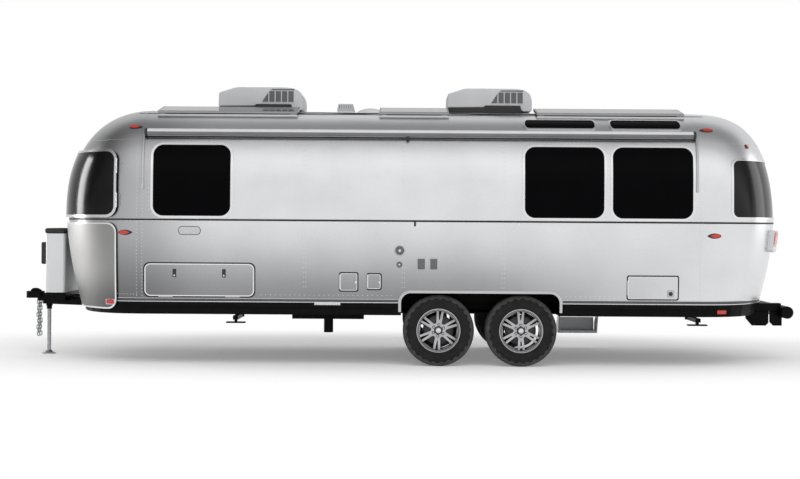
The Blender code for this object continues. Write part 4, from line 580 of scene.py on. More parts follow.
class Bench:
    """The modelling bench: each method does one thing as by hand, with Blender's own tools."""

    def clear(self) -> None:
        """Deselects everything."""
        for item in bpy.context.view_layer.objects:
            item.select_set(False)

    def pick(self, piece: bpy.types.Object) -> None:
        """Selects one piece alone and makes it active."""
        self.clear()
        piece.select_set(True)
        bpy.context.view_layer.objects.active = piece

    def settle(self, piece: bpy.types.Object) -> bpy.types.Object:
        """Moves a piece's place and turn into its mesh and returns it."""
        self.pick(piece)
        bpy.ops.object.transform_apply(location=True, rotation=True, scale=True)
        return piece

    def edit(self, piece: bpy.types.Object, *steps: Callable[[], object]) -> bpy.types.Object:
        """Runs operators on all of a piece's mesh in edit mode.

        Args:
            piece: The piece.
            steps: Calls to make in edit mode, in order.

        Returns:
            The piece.
        """
        self.pick(piece)
        bpy.ops.object.mode_set(mode="EDIT")
        bpy.ops.mesh.select_mode(type="FACE")
        bpy.ops.mesh.select_all(action="SELECT")
        for step in steps:
            step()
        bpy.ops.object.mode_set(mode="OBJECT")
        return piece

    def face_out(self, piece: bpy.types.Object) -> bpy.types.Object:
        """Merges doubled points and turns all faces outwards."""
        return self.edit(
            piece,
            lambda: bpy.ops.mesh.remove_doubles(threshold=1e-6),
            lambda: bpy.ops.mesh.normals_make_consistent(inside=False),
        )

    def modify(self, piece: bpy.types.Object, kind: str, **values: object) -> bpy.types.Object:
        """Adds a modifier and applies it.

        Args:
            piece: The piece.
            kind: The modifier's type.
            values: The modifier's settings.

        Returns:
            The piece.
        """
        self.pick(piece)
        modifier = piece.modifiers.new(kind.lower(), kind)
        for name, value in values.items():
            setattr(modifier, name, value)
        bpy.ops.object.modifier_apply(modifier=modifier.name)
        return piece

    def combine(
        self, piece: bpy.types.Object, tool: bpy.types.Object, way: str
    ) -> bpy.types.Object:
        """Cuts, joins or crops a piece with another, which is then removed.

        Args:
            piece: The piece that stays.
            tool: The piece that is used up.
            way: DIFFERENCE, UNION or INTERSECT.

        Returns:
            The piece.
        """
        self.modify(piece, "BOOLEAN", operation=way, solver="EXACT", object=tool)
        bpy.data.objects.remove(tool, do_unlink=True)
        return piece

    def bevel(
        self, piece: bpy.types.Object, width: float, segments: int = 2, angle: float = 35.0
    ) -> bpy.types.Object:
        """Rounds a piece's sharp edges.

        Args:
            piece: The piece.
            width: Width of the rounding.
            segments: Steps across it.
            angle: Edges sharper than this many degrees are rounded.

        Returns:
            The piece.
        """
        return self.modify(
            piece, "BEVEL", width=width, segments=segments, limit_method="ANGLE",
            angle_limit=math.radians(angle), harden_normals=False,
        )

    def smooth(self, piece: bpy.types.Object, angle: float = 40.0) -> bpy.types.Object:
        """Shades a piece smooth but for its sharp edges."""
        self.pick(piece)
        bpy.ops.object.shade_smooth_by_angle(angle=math.radians(angle))
        return piece

    def block(self, name: str, low: Sequence[float], high: Sequence[float]) -> bpy.types.Object:
        """Adds a block between two corners.

        Args:
            name: The piece's name.
            low: Lowest corner.
            high: Highest corner.

        Returns:
            The block.
        """
        self.clear()
        middle = (Vector(low) + Vector(high)) / 2
        bpy.ops.mesh.primitive_cube_add(size=1, location=middle)
        made = bpy.context.object
        made.name = made.data.name = name
        made.scale = Vector(high) - Vector(low)
        return self.settle(made)

    def drum(
        self, name: str, start: Sequence[float], end: Sequence[float], radius: float,
        sides: int = 32, tip: float | None = None,
    ) -> bpy.types.Object:
        """Adds a round bar, or a cone, between two points.

        Args:
            name: The piece's name.
            start: Middle of the first end.
            end: Middle of the other end.
            radius: Radius at the start.
            sides: Number of sides.
            tip: Radius at the other end, if it differs.

        Returns:
            The bar.
        """
        self.clear()
        start, end = Vector(start), Vector(end)
        axis = end - start
        turn = Vector((0, 0, 1)).rotation_difference(axis).to_euler()
        bpy.ops.mesh.primitive_cone_add(
            vertices=sides, radius1=radius, radius2=radius if tip is None else tip,
            depth=axis.length, location=(start + end) / 2, rotation=turn,
        )
        made = bpy.context.object
        made.name = made.data.name = name
        return self.settle(made)

    def sheet(
        self, name: str, columns: int, rows: int, place: Callable[[int, int], Sequence[float]],
        closed: bool = False,
    ) -> bpy.types.Object:
        """Adds a grid and lays each of its points where a rule says.

        Args:
            name: The piece's name.
            columns: Points along the first way.
            rows: Points along the second way.
            place: Gives a point from its column and row.
            closed: Whether doubled points are merged and faces turned out.

        Returns:
            The sheet.
        """
        self.clear()
        bpy.ops.mesh.primitive_grid_add(x_subdivisions=columns - 1, y_subdivisions=rows - 1, size=1)
        made = bpy.context.object
        made.name = made.data.name = name
        spots = np.array([place(c, r) for r in range(rows) for c in range(columns)], float)
        made.data.vertices.foreach_set("co", spots.ravel())
        made.data.update()
        self.edit(made, lambda: bpy.ops.mesh.remove_doubles(threshold=1e-6))
        return self.face_out(made) if closed else made

    def plate(
        self, name: str, outline: Sequence[Sequence[float]], depth: Sequence[float]
    ) -> bpy.types.Object:
        """Adds a flat outline and extrudes it.

        Args:
            name: The piece's name.
            outline: The corners, in order.
            depth: The way and distance of the extrusion.

        Returns:
            The closed plate.
        """
        self.clear()
        bpy.ops.mesh.primitive_circle_add(vertices=len(outline), fill_type="NGON")
        made = bpy.context.object
        made.name = made.data.name = name
        made.data.vertices.foreach_set("co", np.array(outline, float).ravel())
        made.data.update()
        self.edit(
            made,
            lambda: bpy.ops.mesh.extrude_region_move(TRANSFORM_OT_translate={"value": tuple(depth)}),
        )
        return self.face_out(made)

    def lathe(
        self, name: str, profile: Sequence[Flat], centre: Sequence[float], axis: Sequence[float],
        sides: int = 64,
    ) -> bpy.types.Object:
        """Spins a closed profile of radii and heights round an axis.

        Args:
            name: The piece's name.
            profile: Pairs of radius and distance along the axis, in order.
            centre: Where the axis distance is zero.
            axis: The way of the axis.
            sides: Steps round it.

        Returns:
            The turned piece.
        """
        way = Vector(axis).normalized()
        side = way.orthogonal().normalized()
        third = way.cross(side)
        count = len(profile)

        def place(column: int, row: int) -> Vector:
            radius, rise = profile[column % count]
            angle = 2 * math.pi * row / sides
            out = side * math.cos(angle) + third * math.sin(angle)
            return Vector(centre) + out * radius + way * rise

        return self.sheet(name, count + 1, sides + 1, place, closed=True)

    def join(self, name: str, pieces: Iterable[bpy.types.Object]) -> bpy.types.Object:
        """Makes one piece of several.

        Args:
            name: The joined piece's name.
            pieces: The pieces, each of which is used up.

        Returns:
            The joined piece.
        """
        pieces = list(pieces)
        self.clear()
        for piece in pieces:
            piece.select_set(True)
        bpy.context.view_layer.objects.active = pieces[0]
        bpy.ops.object.join()
        made = bpy.context.object
        made.name = made.data.name = name
        return made

    def copy(self, piece: bpy.types.Object, name: str, shift: Matrix) -> bpy.types.Object:
        """Copies a piece, with its own mesh, to another place.

        Args:
            piece: The piece to copy.
            name: The copy's name.
            shift: The matrix that moves it.

        Returns:
            The copy.
        """
        made = piece.copy()
        made.data = piece.data.copy()
        made.name = made.data.name = name
        bpy.context.scene.collection.objects.link(made)
        made.data.transform(shift)
        if shift.determinant() < 0:
            made.data.flip_normals()
        return made

    def sweep(
        self, name: str, path: Sequence[Vector], outs: Sequence[Vector],
        profile: Sequence[Flat], loop: bool = True,
    ) -> bpy.types.Object:
        """Runs a profile along a path.

        Args:
            name: The piece's name.
            path: Points along the way.
            outs: The outward normal at each point.
            profile: Pairs of sideways and outward distance, in order.
            loop: Whether the path closes.

        Returns:
            The closed strip.
        """
        count, size = len(path), len(profile)
        frames = []
        for number, spot in enumerate(path):
            before = path[number - 1] if loop or number else spot
            after = path[(number + 1) % count] if loop or number + 1 < count else spot
            way = (after - before).normalized()
            out = (outs[number] - way * outs[number].dot(way)).normalized()
            frames.append((spot, way.cross(out), out))
        steps = count + 1 if loop else count
        blank = 0 if loop else 1

        def place(column: int, row: int) -> Vector:
            spot, across, out = frames[min(max(row - blank, 0), count - 1) if blank else row % count]
            if blank and row in (0, steps + 1):
                middle = np.mean(np.array(profile, float), axis=0)
                return spot + across * middle[0] + out * middle[1]
            over, rise = profile[column % size]
            return spot + across * over + out * rise

        return self.sheet(name, size + 1, steps + 2 * blank, place, closed=True)

    def tube(self, name: str, points: Sequence[Sequence[float]], radius: float, sides: int = 8) -> bpy.types.Object:
        """Adds a bent round rod through some points.

        Args:
            name: The piece's name.
            points: Points along its middle.
            radius: Its radius.
            sides: Sides of its section.

        Returns:
            The rod.
        """
        path = [Vector(p) for p in points]
        ring = [
            (radius * math.cos(2 * math.pi * k / sides), radius * math.sin(2 * math.pi * k / sides))
            for k in range(sides)
        ]
        way = (path[-1] - path[0]).normalized()
        out = way.orthogonal().normalized()
        outs = []
        for number in range(len(path)):
            ahead = path[min(number + 1, len(path) - 1)] - path[max(number - 1, 0)]
            out = (out - ahead.normalized() * out.dot(ahead.normalized())).normalized()
            outs.append(out)
        return self.sweep(name, path, outs, ring, loop=False)


BENCH = Bench()


def dress(
    piece: bpy.types.Object, finish: Finish, body: str = BODY, slot: str | None = None,
    stands_for: Sequence[str] = (),
) -> bpy.types.Object:
    """Gives a finished piece its finish and its place in the frame.

    Args:
        piece: The piece.
        finish: Its finish.
        body: The CAD body that it moves with.
        slot: The record's material slot; not used.
        stands_for: CAD nodes that it replaces.

    Returns:
        The piece.
    """
    piece.data.materials.clear()
    piece.data.materials.append(finish.material())
    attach(piece, body)
    if stands_for:
        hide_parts(*stands_for)
    return piece


def rounded(left: float, right: float, low: float, high: float, corner: float, steps: int = 10) -> list[Flat]:
    """Gives a rectangle's outline with round corners, anticlockwise.

    Args:
        left: Lowest first value.
        right: Highest first value.
        low: Lowest second value.
        high: Highest second value.
        corner: Corner radius.
        steps: Steps round each corner.

    Returns:
        The outline's points.
    """
    corner = min(corner, (right - left) / 2, (high - low) / 2)
    centres = (
        (right - corner, high - corner, 0), (left + corner, high - corner, 1),
        (left + corner, low + corner, 2), (right - corner, low + corner, 3),
    )
    points = []
    for x, z, quarter in centres:
        for step in range(steps + 1):
            angle = math.pi / 2 * (quarter + step / steps)
            points.append((x + corner * math.cos(angle), z + corner * math.sin(angle)))
    return points


def finer(points: Sequence[Flat], gap: float) -> list[Flat]:
    """Adds points to a closed outline so that none lie further apart than a gap."""
    made = []
    for here, there in zip(points, list(points[1:]) + [points[0]]):
        steps = max(1, math.ceil(math.dist(here, there) / gap))
        made += [
            (here[0] + (there[0] - here[0]) * k / steps, here[1] + (there[1] - here[1]) * k / steps)
            for k in range(steps)
        ]
    return made


class Skin:
    """Helpers that lay pieces on the body's form."""

    def form_normals(self, piece: bpy.types.Object) -> bpy.types.Object:
        """Shades the faces that lie on the form by the form's own normals.

        Args:
            piece: The piece.

        Returns:
            The piece.
        """
        mesh = piece.data
        mesh.update()
        spots = np.zeros(len(mesh.vertices) * 3)
        mesh.vertices.foreach_get("co", spots)
        spots = spots.reshape(-1, 3)
        normals = FORM.normals(spots)
        flat = spots[:, 2] > FORM.top - 1e-4
        normals[flat] = (0, 0, 1)
        loops = []
        for polygon in mesh.polygons:
            polygon.use_smooth = True
            mean = Vector(np.mean(normals[list(polygon.vertices)], axis=0))
            on_form = mean.length > 0.3 and polygon.normal.dot(mean.normalized()) > 0.9
            for vertex in polygon.vertices:
                loops.append(tuple(normals[vertex]) if on_form else tuple(polygon.normal))
        mesh.normals_split_custom_set(loops)
        return piece

    def side_loop(self, points: Sequence[Flat], side: Side, stand: float = 0.0):
        """Lays an outline of the side view on the skin.

        Args:
            points: Pairs of place along the body and height.
            side: Which side.
            stand: Distance off the skin.

        Returns:
            The points on the skin and their normals.
        """
        path = [FORM.side_point(x, z, side, stand) for x, z in points]
        return path, [FORM.normal(p) for p in path]

    def frame_ring(
        self, name: str, points: Sequence[Flat], side: Side, width: float, height: float,
        bevel: float = 0.0015, sunk: float = 0.002,
    ) -> bpy.types.Object:
        """Makes a raised frame round an outline, outside its line.

        Args:
            name: The piece's name.
            points: The opening's outline in the side view, anticlockwise.
            side: Which side.
            width: Width of the frame.
            height: How far it stands off the skin.
            bevel: Rounding of its outer edges.
            sunk: How far it reaches into the skin.

        Returns:
            The frame.
        """
        path, outs = self.side_loop(points, side)
        sign = -side.value
        profile = [
            (0, -sunk), (0, height - bevel), (sign * bevel, height),
            (sign * (width - bevel), height), (sign * width, height - bevel), (sign * width, -sunk),
        ]
        return BENCH.smooth(BENCH.sweep(name, path, outs, profile), 30)


    def set_at(self, piece: bpy.types.Object, spot: Vector, out: Vector) -> bpy.types.Object:
        """Moves a piece modelled at the origin, facing -Y, to a place and an outward way.

        Args:
            piece: The piece.
            spot: Where its origin goes.
            out: The outward way there.

        Returns:
            The piece.
        """
        back = -out.normalized()
        right = back.cross(Vector((0, 0, 1))).normalized()
        turn = Matrix((right, back, right.cross(back))).transposed().to_4x4()
        piece.data.transform(Matrix.Translation(spot) @ turn)
        piece.data.update()
        return piece

    def set_on(self, piece: bpy.types.Object, x: float, z: float, side: Side) -> bpy.types.Object:
        """Moves a piece modelled at the origin, facing -Y, onto a side's skin."""
        spot = FORM.side_point(x, z, side)
        return self.set_at(piece, spot, FORM.normal(spot))


SKIN = Skin()


@dataclass
class Shell:
    """The riveted aluminium body: ends, walls and roof."""

    wall: float = 0.045
    seam_gap: float = 0.00015
    columns: int = 73
    rows: int = 64
    arch_front: float = -0.022
    arch_rear: float = 1.616
    arch_top: float = 0.762
    arch_corner: float = 0.10

    def build(self, openings: "Openings") -> None:
        """Builds the five skins with their openings cut.

        Args:
            openings: The windows, hatches and door that are cut.
        """
        for end, label in ((End.FRONT, "front"), (End.REAR, "rear")):
            cap = self.cap(label + "_cap", end)
            openings.cut_end(cap, end)
            self.finish(cap, label + "_end_shell")
        for side, label in ((Side.STREET, "street"), (Side.CURB, "curb")):
            wall = self.side(label + "_wall", side)
            openings.cut_side(wall, side)
            arch = rounded(
                self.arch_front, self.arch_rear, FORM.skirt - self.arch_corner, self.arch_top,
                self.arch_corner, 14,
            )
            BENCH.combine(wall, openings.cutter(arch, side, 0.9), "DIFFERENCE")
            self.finish(wall, "side_wall_" + label)
        self.finish(self.roof("roof_skin"), "roof_panel")

    def finish(self, piece: bpy.types.Object, node: str) -> None:
        """Shades a skin by the body's form and lets it stand for its node."""
        SKIN.form_normals(piece)
        dress(piece, SHEET, slot="aluminium_skin", stands_for=[node])
        log.info("skin %s stands for %s", piece.name, node)

    def thicken(self, piece: bpy.types.Object) -> bpy.types.Object:
        """Gives a sheet the wall's thickness, inwards."""
        return BENCH.modify(
            piece, "SOLIDIFY", thickness=self.wall, offset=-1.0, use_even_offset=True
        )

    def cap(self, name: str, end: End) -> bpy.types.Object:
        """Makes one rounded end.

        Args:
            name: The piece's name.
            end: Which end.

        Returns:
            The end's skin.
        """
        heights = FORM.rows(FORM.sill, FORM.top, self.rows)
        shrink = (0.75, 0.5, 0.25, 0.0)
        start = 0 if end == End.REAR else 2
        seam = FORM.seam[end]

        def place(column: int, row: int) -> Vector:
            turn = start + column / (self.columns - 1)
            if start == 0 and column == self.columns - 1:
                turn = 1 - 1e-9
            if row < self.rows:
                spot = FORM.ring(turn, heights[row])
            else:
                spot = FORM.ring(turn, heights[-1])
                share = shrink[row - self.rows]
                spot = Vector((seam + (spot.x - seam) * share, spot.y * share, spot.z))
            return spot + Vector((end.value * self.seam_gap, 0, 0))

        piece = BENCH.sheet(name, self.columns, self.rows + len(shrink), place)
        BENCH.edit(piece, lambda: bpy.ops.mesh.normals_make_consistent(inside=False))
        self.outward(piece)
        return self.thicken(piece)

    def outward(self, piece: bpy.types.Object) -> None:
        """Turns an open sheet's faces away from the body's middle."""
        middle = Vector((0, 0, FORM.belt))
        faces = piece.data.polygons
        out = sum(1 if (f.center - middle).dot(f.normal) > 0 else -1 for f in faces)
        if out < 0:
            BENCH.edit(piece, lambda: bpy.ops.mesh.flip_normals())

    def side(self, name: str, side: Side) -> bpy.types.Object:
        """Makes one long wall.

        Args:
            name: The piece's name.
            side: Which side.

        Returns:
            The wall's skin.
        """
        heights = FORM.rows(FORM.sill, FORM.roof_split - self.seam_gap, self.rows)
        front = FORM.seam[End.FRONT] + self.seam_gap
        rear = FORM.seam[End.REAR] - self.seam_gap

        def place(column: int, row: int) -> Vector:
            x = front + (rear - front) * column / 8
            return Vector((x, side.value * float(FORM.across(heights[row])), heights[row]))

        piece = BENCH.sheet(name, 9, self.rows, place)
        self.outward(piece)
        return self.thicken(piece)

    def roof(self, name: str) -> bpy.types.Object:
        """Makes the roof between the two walls and returns it."""
        rise = FORM.rows(FORM.roof_split + self.seam_gap, FORM.top, 26)
        section = [(-float(FORM.across(z)), z) for z in rise] + [(0.0, FORM.top)]
        section += [(-y, z) for y, z in reversed(section[:-1])]
        front = FORM.seam[End.FRONT] + self.seam_gap
        rear = FORM.seam[End.REAR] - self.seam_gap

        def place(column: int, row: int) -> Vector:
            return Vector((front + (rear - front) * column / 8, *section[row]))

        piece = BENCH.sheet(name, 9, len(section), place)
        self.outward(piece)
        return self.thicken(piece)


@dataclass(frozen=True)
class Opening:
    """A rounded opening in a long wall."""

    node: str
    side: Side
    left: float
    right: float
    low: float
    high: float
    corner: float

    def outline(self, trim: float = 0.0, steps: int = 10) -> list[Flat]:
        """Gives the opening's outline, less a trim all round."""
        return rounded(
            self.left + trim, self.right - trim, self.low + trim, self.high - trim,
            self.corner - trim * 0.5, steps,
        )


class Openings:
    """The windows, hatches and door of the body, at the CAD model's sizes."""

    window_low = 1.505 + 0.034 * 1.195
    window_high = 1.505 + 0.648 * 1.195
    upper_low = 1.505 + 0.816 * 1.195
    upper_high = 1.505 + 0.896 * 1.195
    window_corner = 0.105
    upper_corner = 0.042
    end_low = 1.505 + 0.030 * 1.195
    end_high = 1.505 + 0.565 * 1.195
    end_corner = 0.085
    end_edge = {End.FRONT: -3.03, End.REAR: 3.39}
    window_spans = (
        ("window_street_front", Side.STREET, 0.0230, 0.1612),
        ("window_street_middle", Side.STREET, 0.6870, 0.8286),
        ("window_street_rear", Side.STREET, 0.8440, 0.9872),
        ("window_curb_front", Side.CURB, 0.0230, 0.1612),
        ("window_curb_middle", Side.CURB, 0.4400, 0.6000),
    )
    upper_spans = (
        ("upper_window_street_front", Side.STREET, 0.6899, 0.8163),
        ("upper_window_street_rear", Side.STREET, 0.8449, 0.9713),
        ("upper_window_curb_front", Side.CURB, 0.6899, 0.8163),
        ("upper_window_curb_rear", Side.CURB, 0.8449, 0.9713),
    )
    hatch_spans = (
        ("storage_hatch", Side.STREET, 0.0069, 0.2059, 0.061, 0.478, 0.06),
        ("service_hatch_front", Side.STREET, 0.3565, 0.3901, 0.142, 0.371, 0.02),
        ("service_hatch_rear", Side.STREET, 0.4055, 0.4318, 0.163, 0.361, 0.02),
        ("heater_hatch", Side.STREET, 0.8709, 0.9628, 0.060, 0.353, 0.02),
    )
    door_span = (0.776, 0.888, 0.735, 2.14, 0.12)
    door_window_edge = 0.13
    door_window_heights = (1.56, 2.00)
    door_window_corner = 0.08

    def __init__(self) -> None:
        """Works out every opening's place."""
        self.windows = [
            Opening(n, s, self.along(a), self.along(b), self.window_low, self.window_high, self.window_corner)
            for n, s, a, b in self.window_spans
        ]
        self.uppers = [
            Opening(n, s, self.along(a), self.along(b), self.upper_low, self.upper_high, self.upper_corner)
            for n, s, a, b in self.upper_spans
        ]
        self.hatches = [
            Opening(n, s, self.along(a), self.along(b), self.rise(lo), self.rise(hi), corner)
            for n, s, a, b, lo, hi, corner in self.hatch_spans
        ]
        start, end, low, high, corner = self.door_span
        self.door = Opening(
            "entry_door", Side.CURB, self.along(start), self.along(end), low, high, corner
        )
        low, high = self.door_window_heights
        edge = self.door_window_edge
        self.door_window = Opening(
            "door_window", Side.CURB, self.door.left + edge, self.door.right - edge, low, high,
            self.door_window_corner,
        )

    def along(self, share: float) -> float:
        """Gives a place along the straight body from its share."""
        front, rear = FORM.seam[End.FRONT], FORM.seam[End.REAR]
        return front + share * (rear - front)

    def rise(self, share: float) -> float:
        """Gives a height of the lower wall from its share."""
        return FORM.sill + share * (FORM.belt - FORM.sill)

    def cutter(self, outline: Sequence[Flat], side: Side, inner: float = 0.0) -> bpy.types.Object:
        """Makes a block with an outline of the side view, from an inner plane outwards."""
        points = [(x, side.value * inner, z) for x, z in outline]
        return BENCH.plate("cutter", points, (0, side.value * (1.6 - inner), 0))

    def end_outline(self, end: End, trim: float = 0.0) -> list[Flat]:
        """Gives the outline of an end's wrap-round window in the side view."""
        edge = self.end_edge[end]
        left, right = (edge + trim, 6.0) if end == End.REAR else (-6.0, edge - trim)
        return rounded(left, right, self.end_low + trim, self.end_high - trim, self.end_corner, 14)

    def cut_end(self, piece: bpy.types.Object, end: End) -> None:
        """Cuts the wrap-round window into an end's skin."""
        points = [(x, -1.6, z) for x, z in self.end_outline(end)]
        BENCH.combine(piece, BENCH.plate("cutter", points, (0, 3.2, 0)), "DIFFERENCE")

    def cut_side(self, piece: bpy.types.Object, side: Side) -> None:
        """Cuts every opening of a side into its wall."""
        everything = [*self.windows, *self.uppers, *self.hatches, self.door]
        for opening in everything:
            if opening.side == side:
                BENCH.combine(piece, self.cutter(opening.outline(), side), "DIFFERENCE")


@dataclass
class Windows:
    """The dark panes, their seals and their frames."""

    openings: Openings
    set_back: float = 0.004
    thickness: float = 0.012
    frame_width: float = 0.026
    frame_height: float = 0.007
    seal_width: float = 0.007

    def build(self) -> None:
        """Builds the panes of the walls and of both ends."""
        for opening in [*self.openings.windows, *self.openings.uppers]:
            self.side_pane(opening)
        for end in End:
            self.end_pane(end)

    def side_pane(self, opening: Opening, body: str = BODY) -> None:
        """Builds one pane of a wall, with its seal and frame.

        Args:
            opening: The opening that it fills.
            body: The CAD body that it moves with.
        """
        name = opening.node
        pane = self.pane(name + "_pane", opening)
        dress(pane, GLASS, body, "dark_glass", [name])
        outline = finer(opening.outline(0.0006), 0.03)
        path, outs = SKIN.side_loop(outline, opening.side)
        sign = opening.side.value
        back = -self.set_back
        seal = [(0, back), (0, 0.0015), (sign * self.seal_width, -0.001), (sign * self.seal_width, back)]
        ring = BENCH.sweep(name + "_seal", path, outs, seal)
        dress(BENCH.smooth(ring, 30), SEAL, body)
        outline = finer(opening.outline(), 0.03)
        ring = SKIN.frame_ring(
            name + "_frame", outline, opening.side, self.frame_width, self.frame_height, sunk=0.0
        )
        dress(ring, TRIM, body)

    def pane(self, name: str, opening: Opening) -> bpy.types.Object:
        """Makes a pane that follows the wall inside its opening."""
        heights = FORM.rows(opening.low, opening.high, 25)
        side = opening.side

        def place(column: int, row: int) -> Vector:
            x = opening.left + (opening.right - opening.left) * column
            return FORM.side_point(x, heights[row], side, -self.set_back)

        piece = BENCH.sheet(name, 2, len(heights), place)
        middle = piece.data.polygons[0]
        if middle.normal.y * side.value < 0:
            BENCH.edit(piece, lambda: bpy.ops.mesh.flip_normals())
        BENCH.modify(piece, "SOLIDIFY", thickness=self.thickness, offset=-1.0)
        tool = self.openings.cutter(opening.outline(0.0003), side)
        BENCH.combine(piece, tool, "INTERSECT")
        return SKIN.form_normals(piece)

    def end_pane(self, end: End) -> None:
        """Builds the pane that wraps round an end, with its frame."""
        label = "front" if end == End.FRONT else "rear"
        rows = FORM.rows(self.openings.end_low, self.openings.end_high, 21)
        start = 2 if end == End.FRONT else 0

        def place(column: int, row: int) -> Vector:
            turn = start + min(0.02 + 0.96 * column / 88, 1 - 1e-9)
            return FORM.ring(turn, rows[row], -self.set_back)

        piece = BENCH.sheet(label + "_pane", 89, len(rows), place)
        middle = piece.data.polygons[len(piece.data.polygons) // 2]
        if middle.normal.x * end.value < 0:
            BENCH.edit(piece, lambda: bpy.ops.mesh.flip_normals())
        BENCH.modify(piece, "SOLIDIFY", thickness=self.thickness, offset=-1.0)
        points = [(x, -1.6, z) for x, z in self.openings.end_outline(end, 0.0003)]
        BENCH.combine(piece, BENCH.plate("cutter", points, (0, 3.2, 0)), "INTERSECT")
        dress(SKIN.form_normals(piece), ACRYLIC, slot="dark_glass", stands_for=[label + "_window"])
        path, outs = self.wrap_loop(end)
        width, height = self.frame_width, self.frame_height
        profile = [(0, 0), (0, height - 0.0015), (0.0015, height), (width - 0.0015, height), (width, height - 0.0015), (width, 0)]
        ring = BENCH.smooth(BENCH.sweep(label + "_pane_frame", path, outs, profile), 30)
        dress(ring, TRIM)

    def wrap_loop(self, end: End) -> tuple[list[Vector], list[Vector]]:
        """Gives the loop round an end's window, up one side and over to the other.

        Args:
            end: Which end.

        Returns:
            The points on the skin and their normals.
        """
        low, high = self.openings.end_low, self.openings.end_high
        corner, edge = self.openings.end_corner, self.openings.end_edge[end]
        street = [
            (edge + end.value * (corner - corner * math.cos(a)), low + corner - corner * math.sin(a))
            for a in np.linspace(math.pi / 2, 0, 14)
        ]
        street += [(edge, low + corner + (high - low - 2 * corner) * k / 12) for k in range(1, 12)]
        street += [
            (edge + end.value * (corner - corner * math.cos(a)), high - corner + corner * math.sin(a))
            for a in np.linspace(0, math.pi / 2, 14)
        ]
        side_path = [FORM.side_point(x, z, Side.STREET) for x, z in street]
        start = 2 if end == End.FRONT else 0
        street_side = (0.5, 1.0) if end == End.FRONT else (0.5, 0.0)
        first_x = abs(edge + end.value * corner)

        def across(z: float) -> list[Vector]:
            shares = np.linspace(street_side[1], 1 - street_side[1], 161)
            spots = [FORM.ring(start + min(float(s), 1 - 1e-9), z) for s in shares]
            return [p for p in spots if abs(p.x) > first_x + 0.01]

        top = across(high)
        bottom = across(low)
        mirrored = [Vector((p.x, -p.y, p.z)) for p in reversed(side_path)]
        path = side_path + top + mirrored + list(reversed(bottom))
        if end == End.FRONT:
            path.reverse()
        return path, [FORM.normal(p) for p in path]


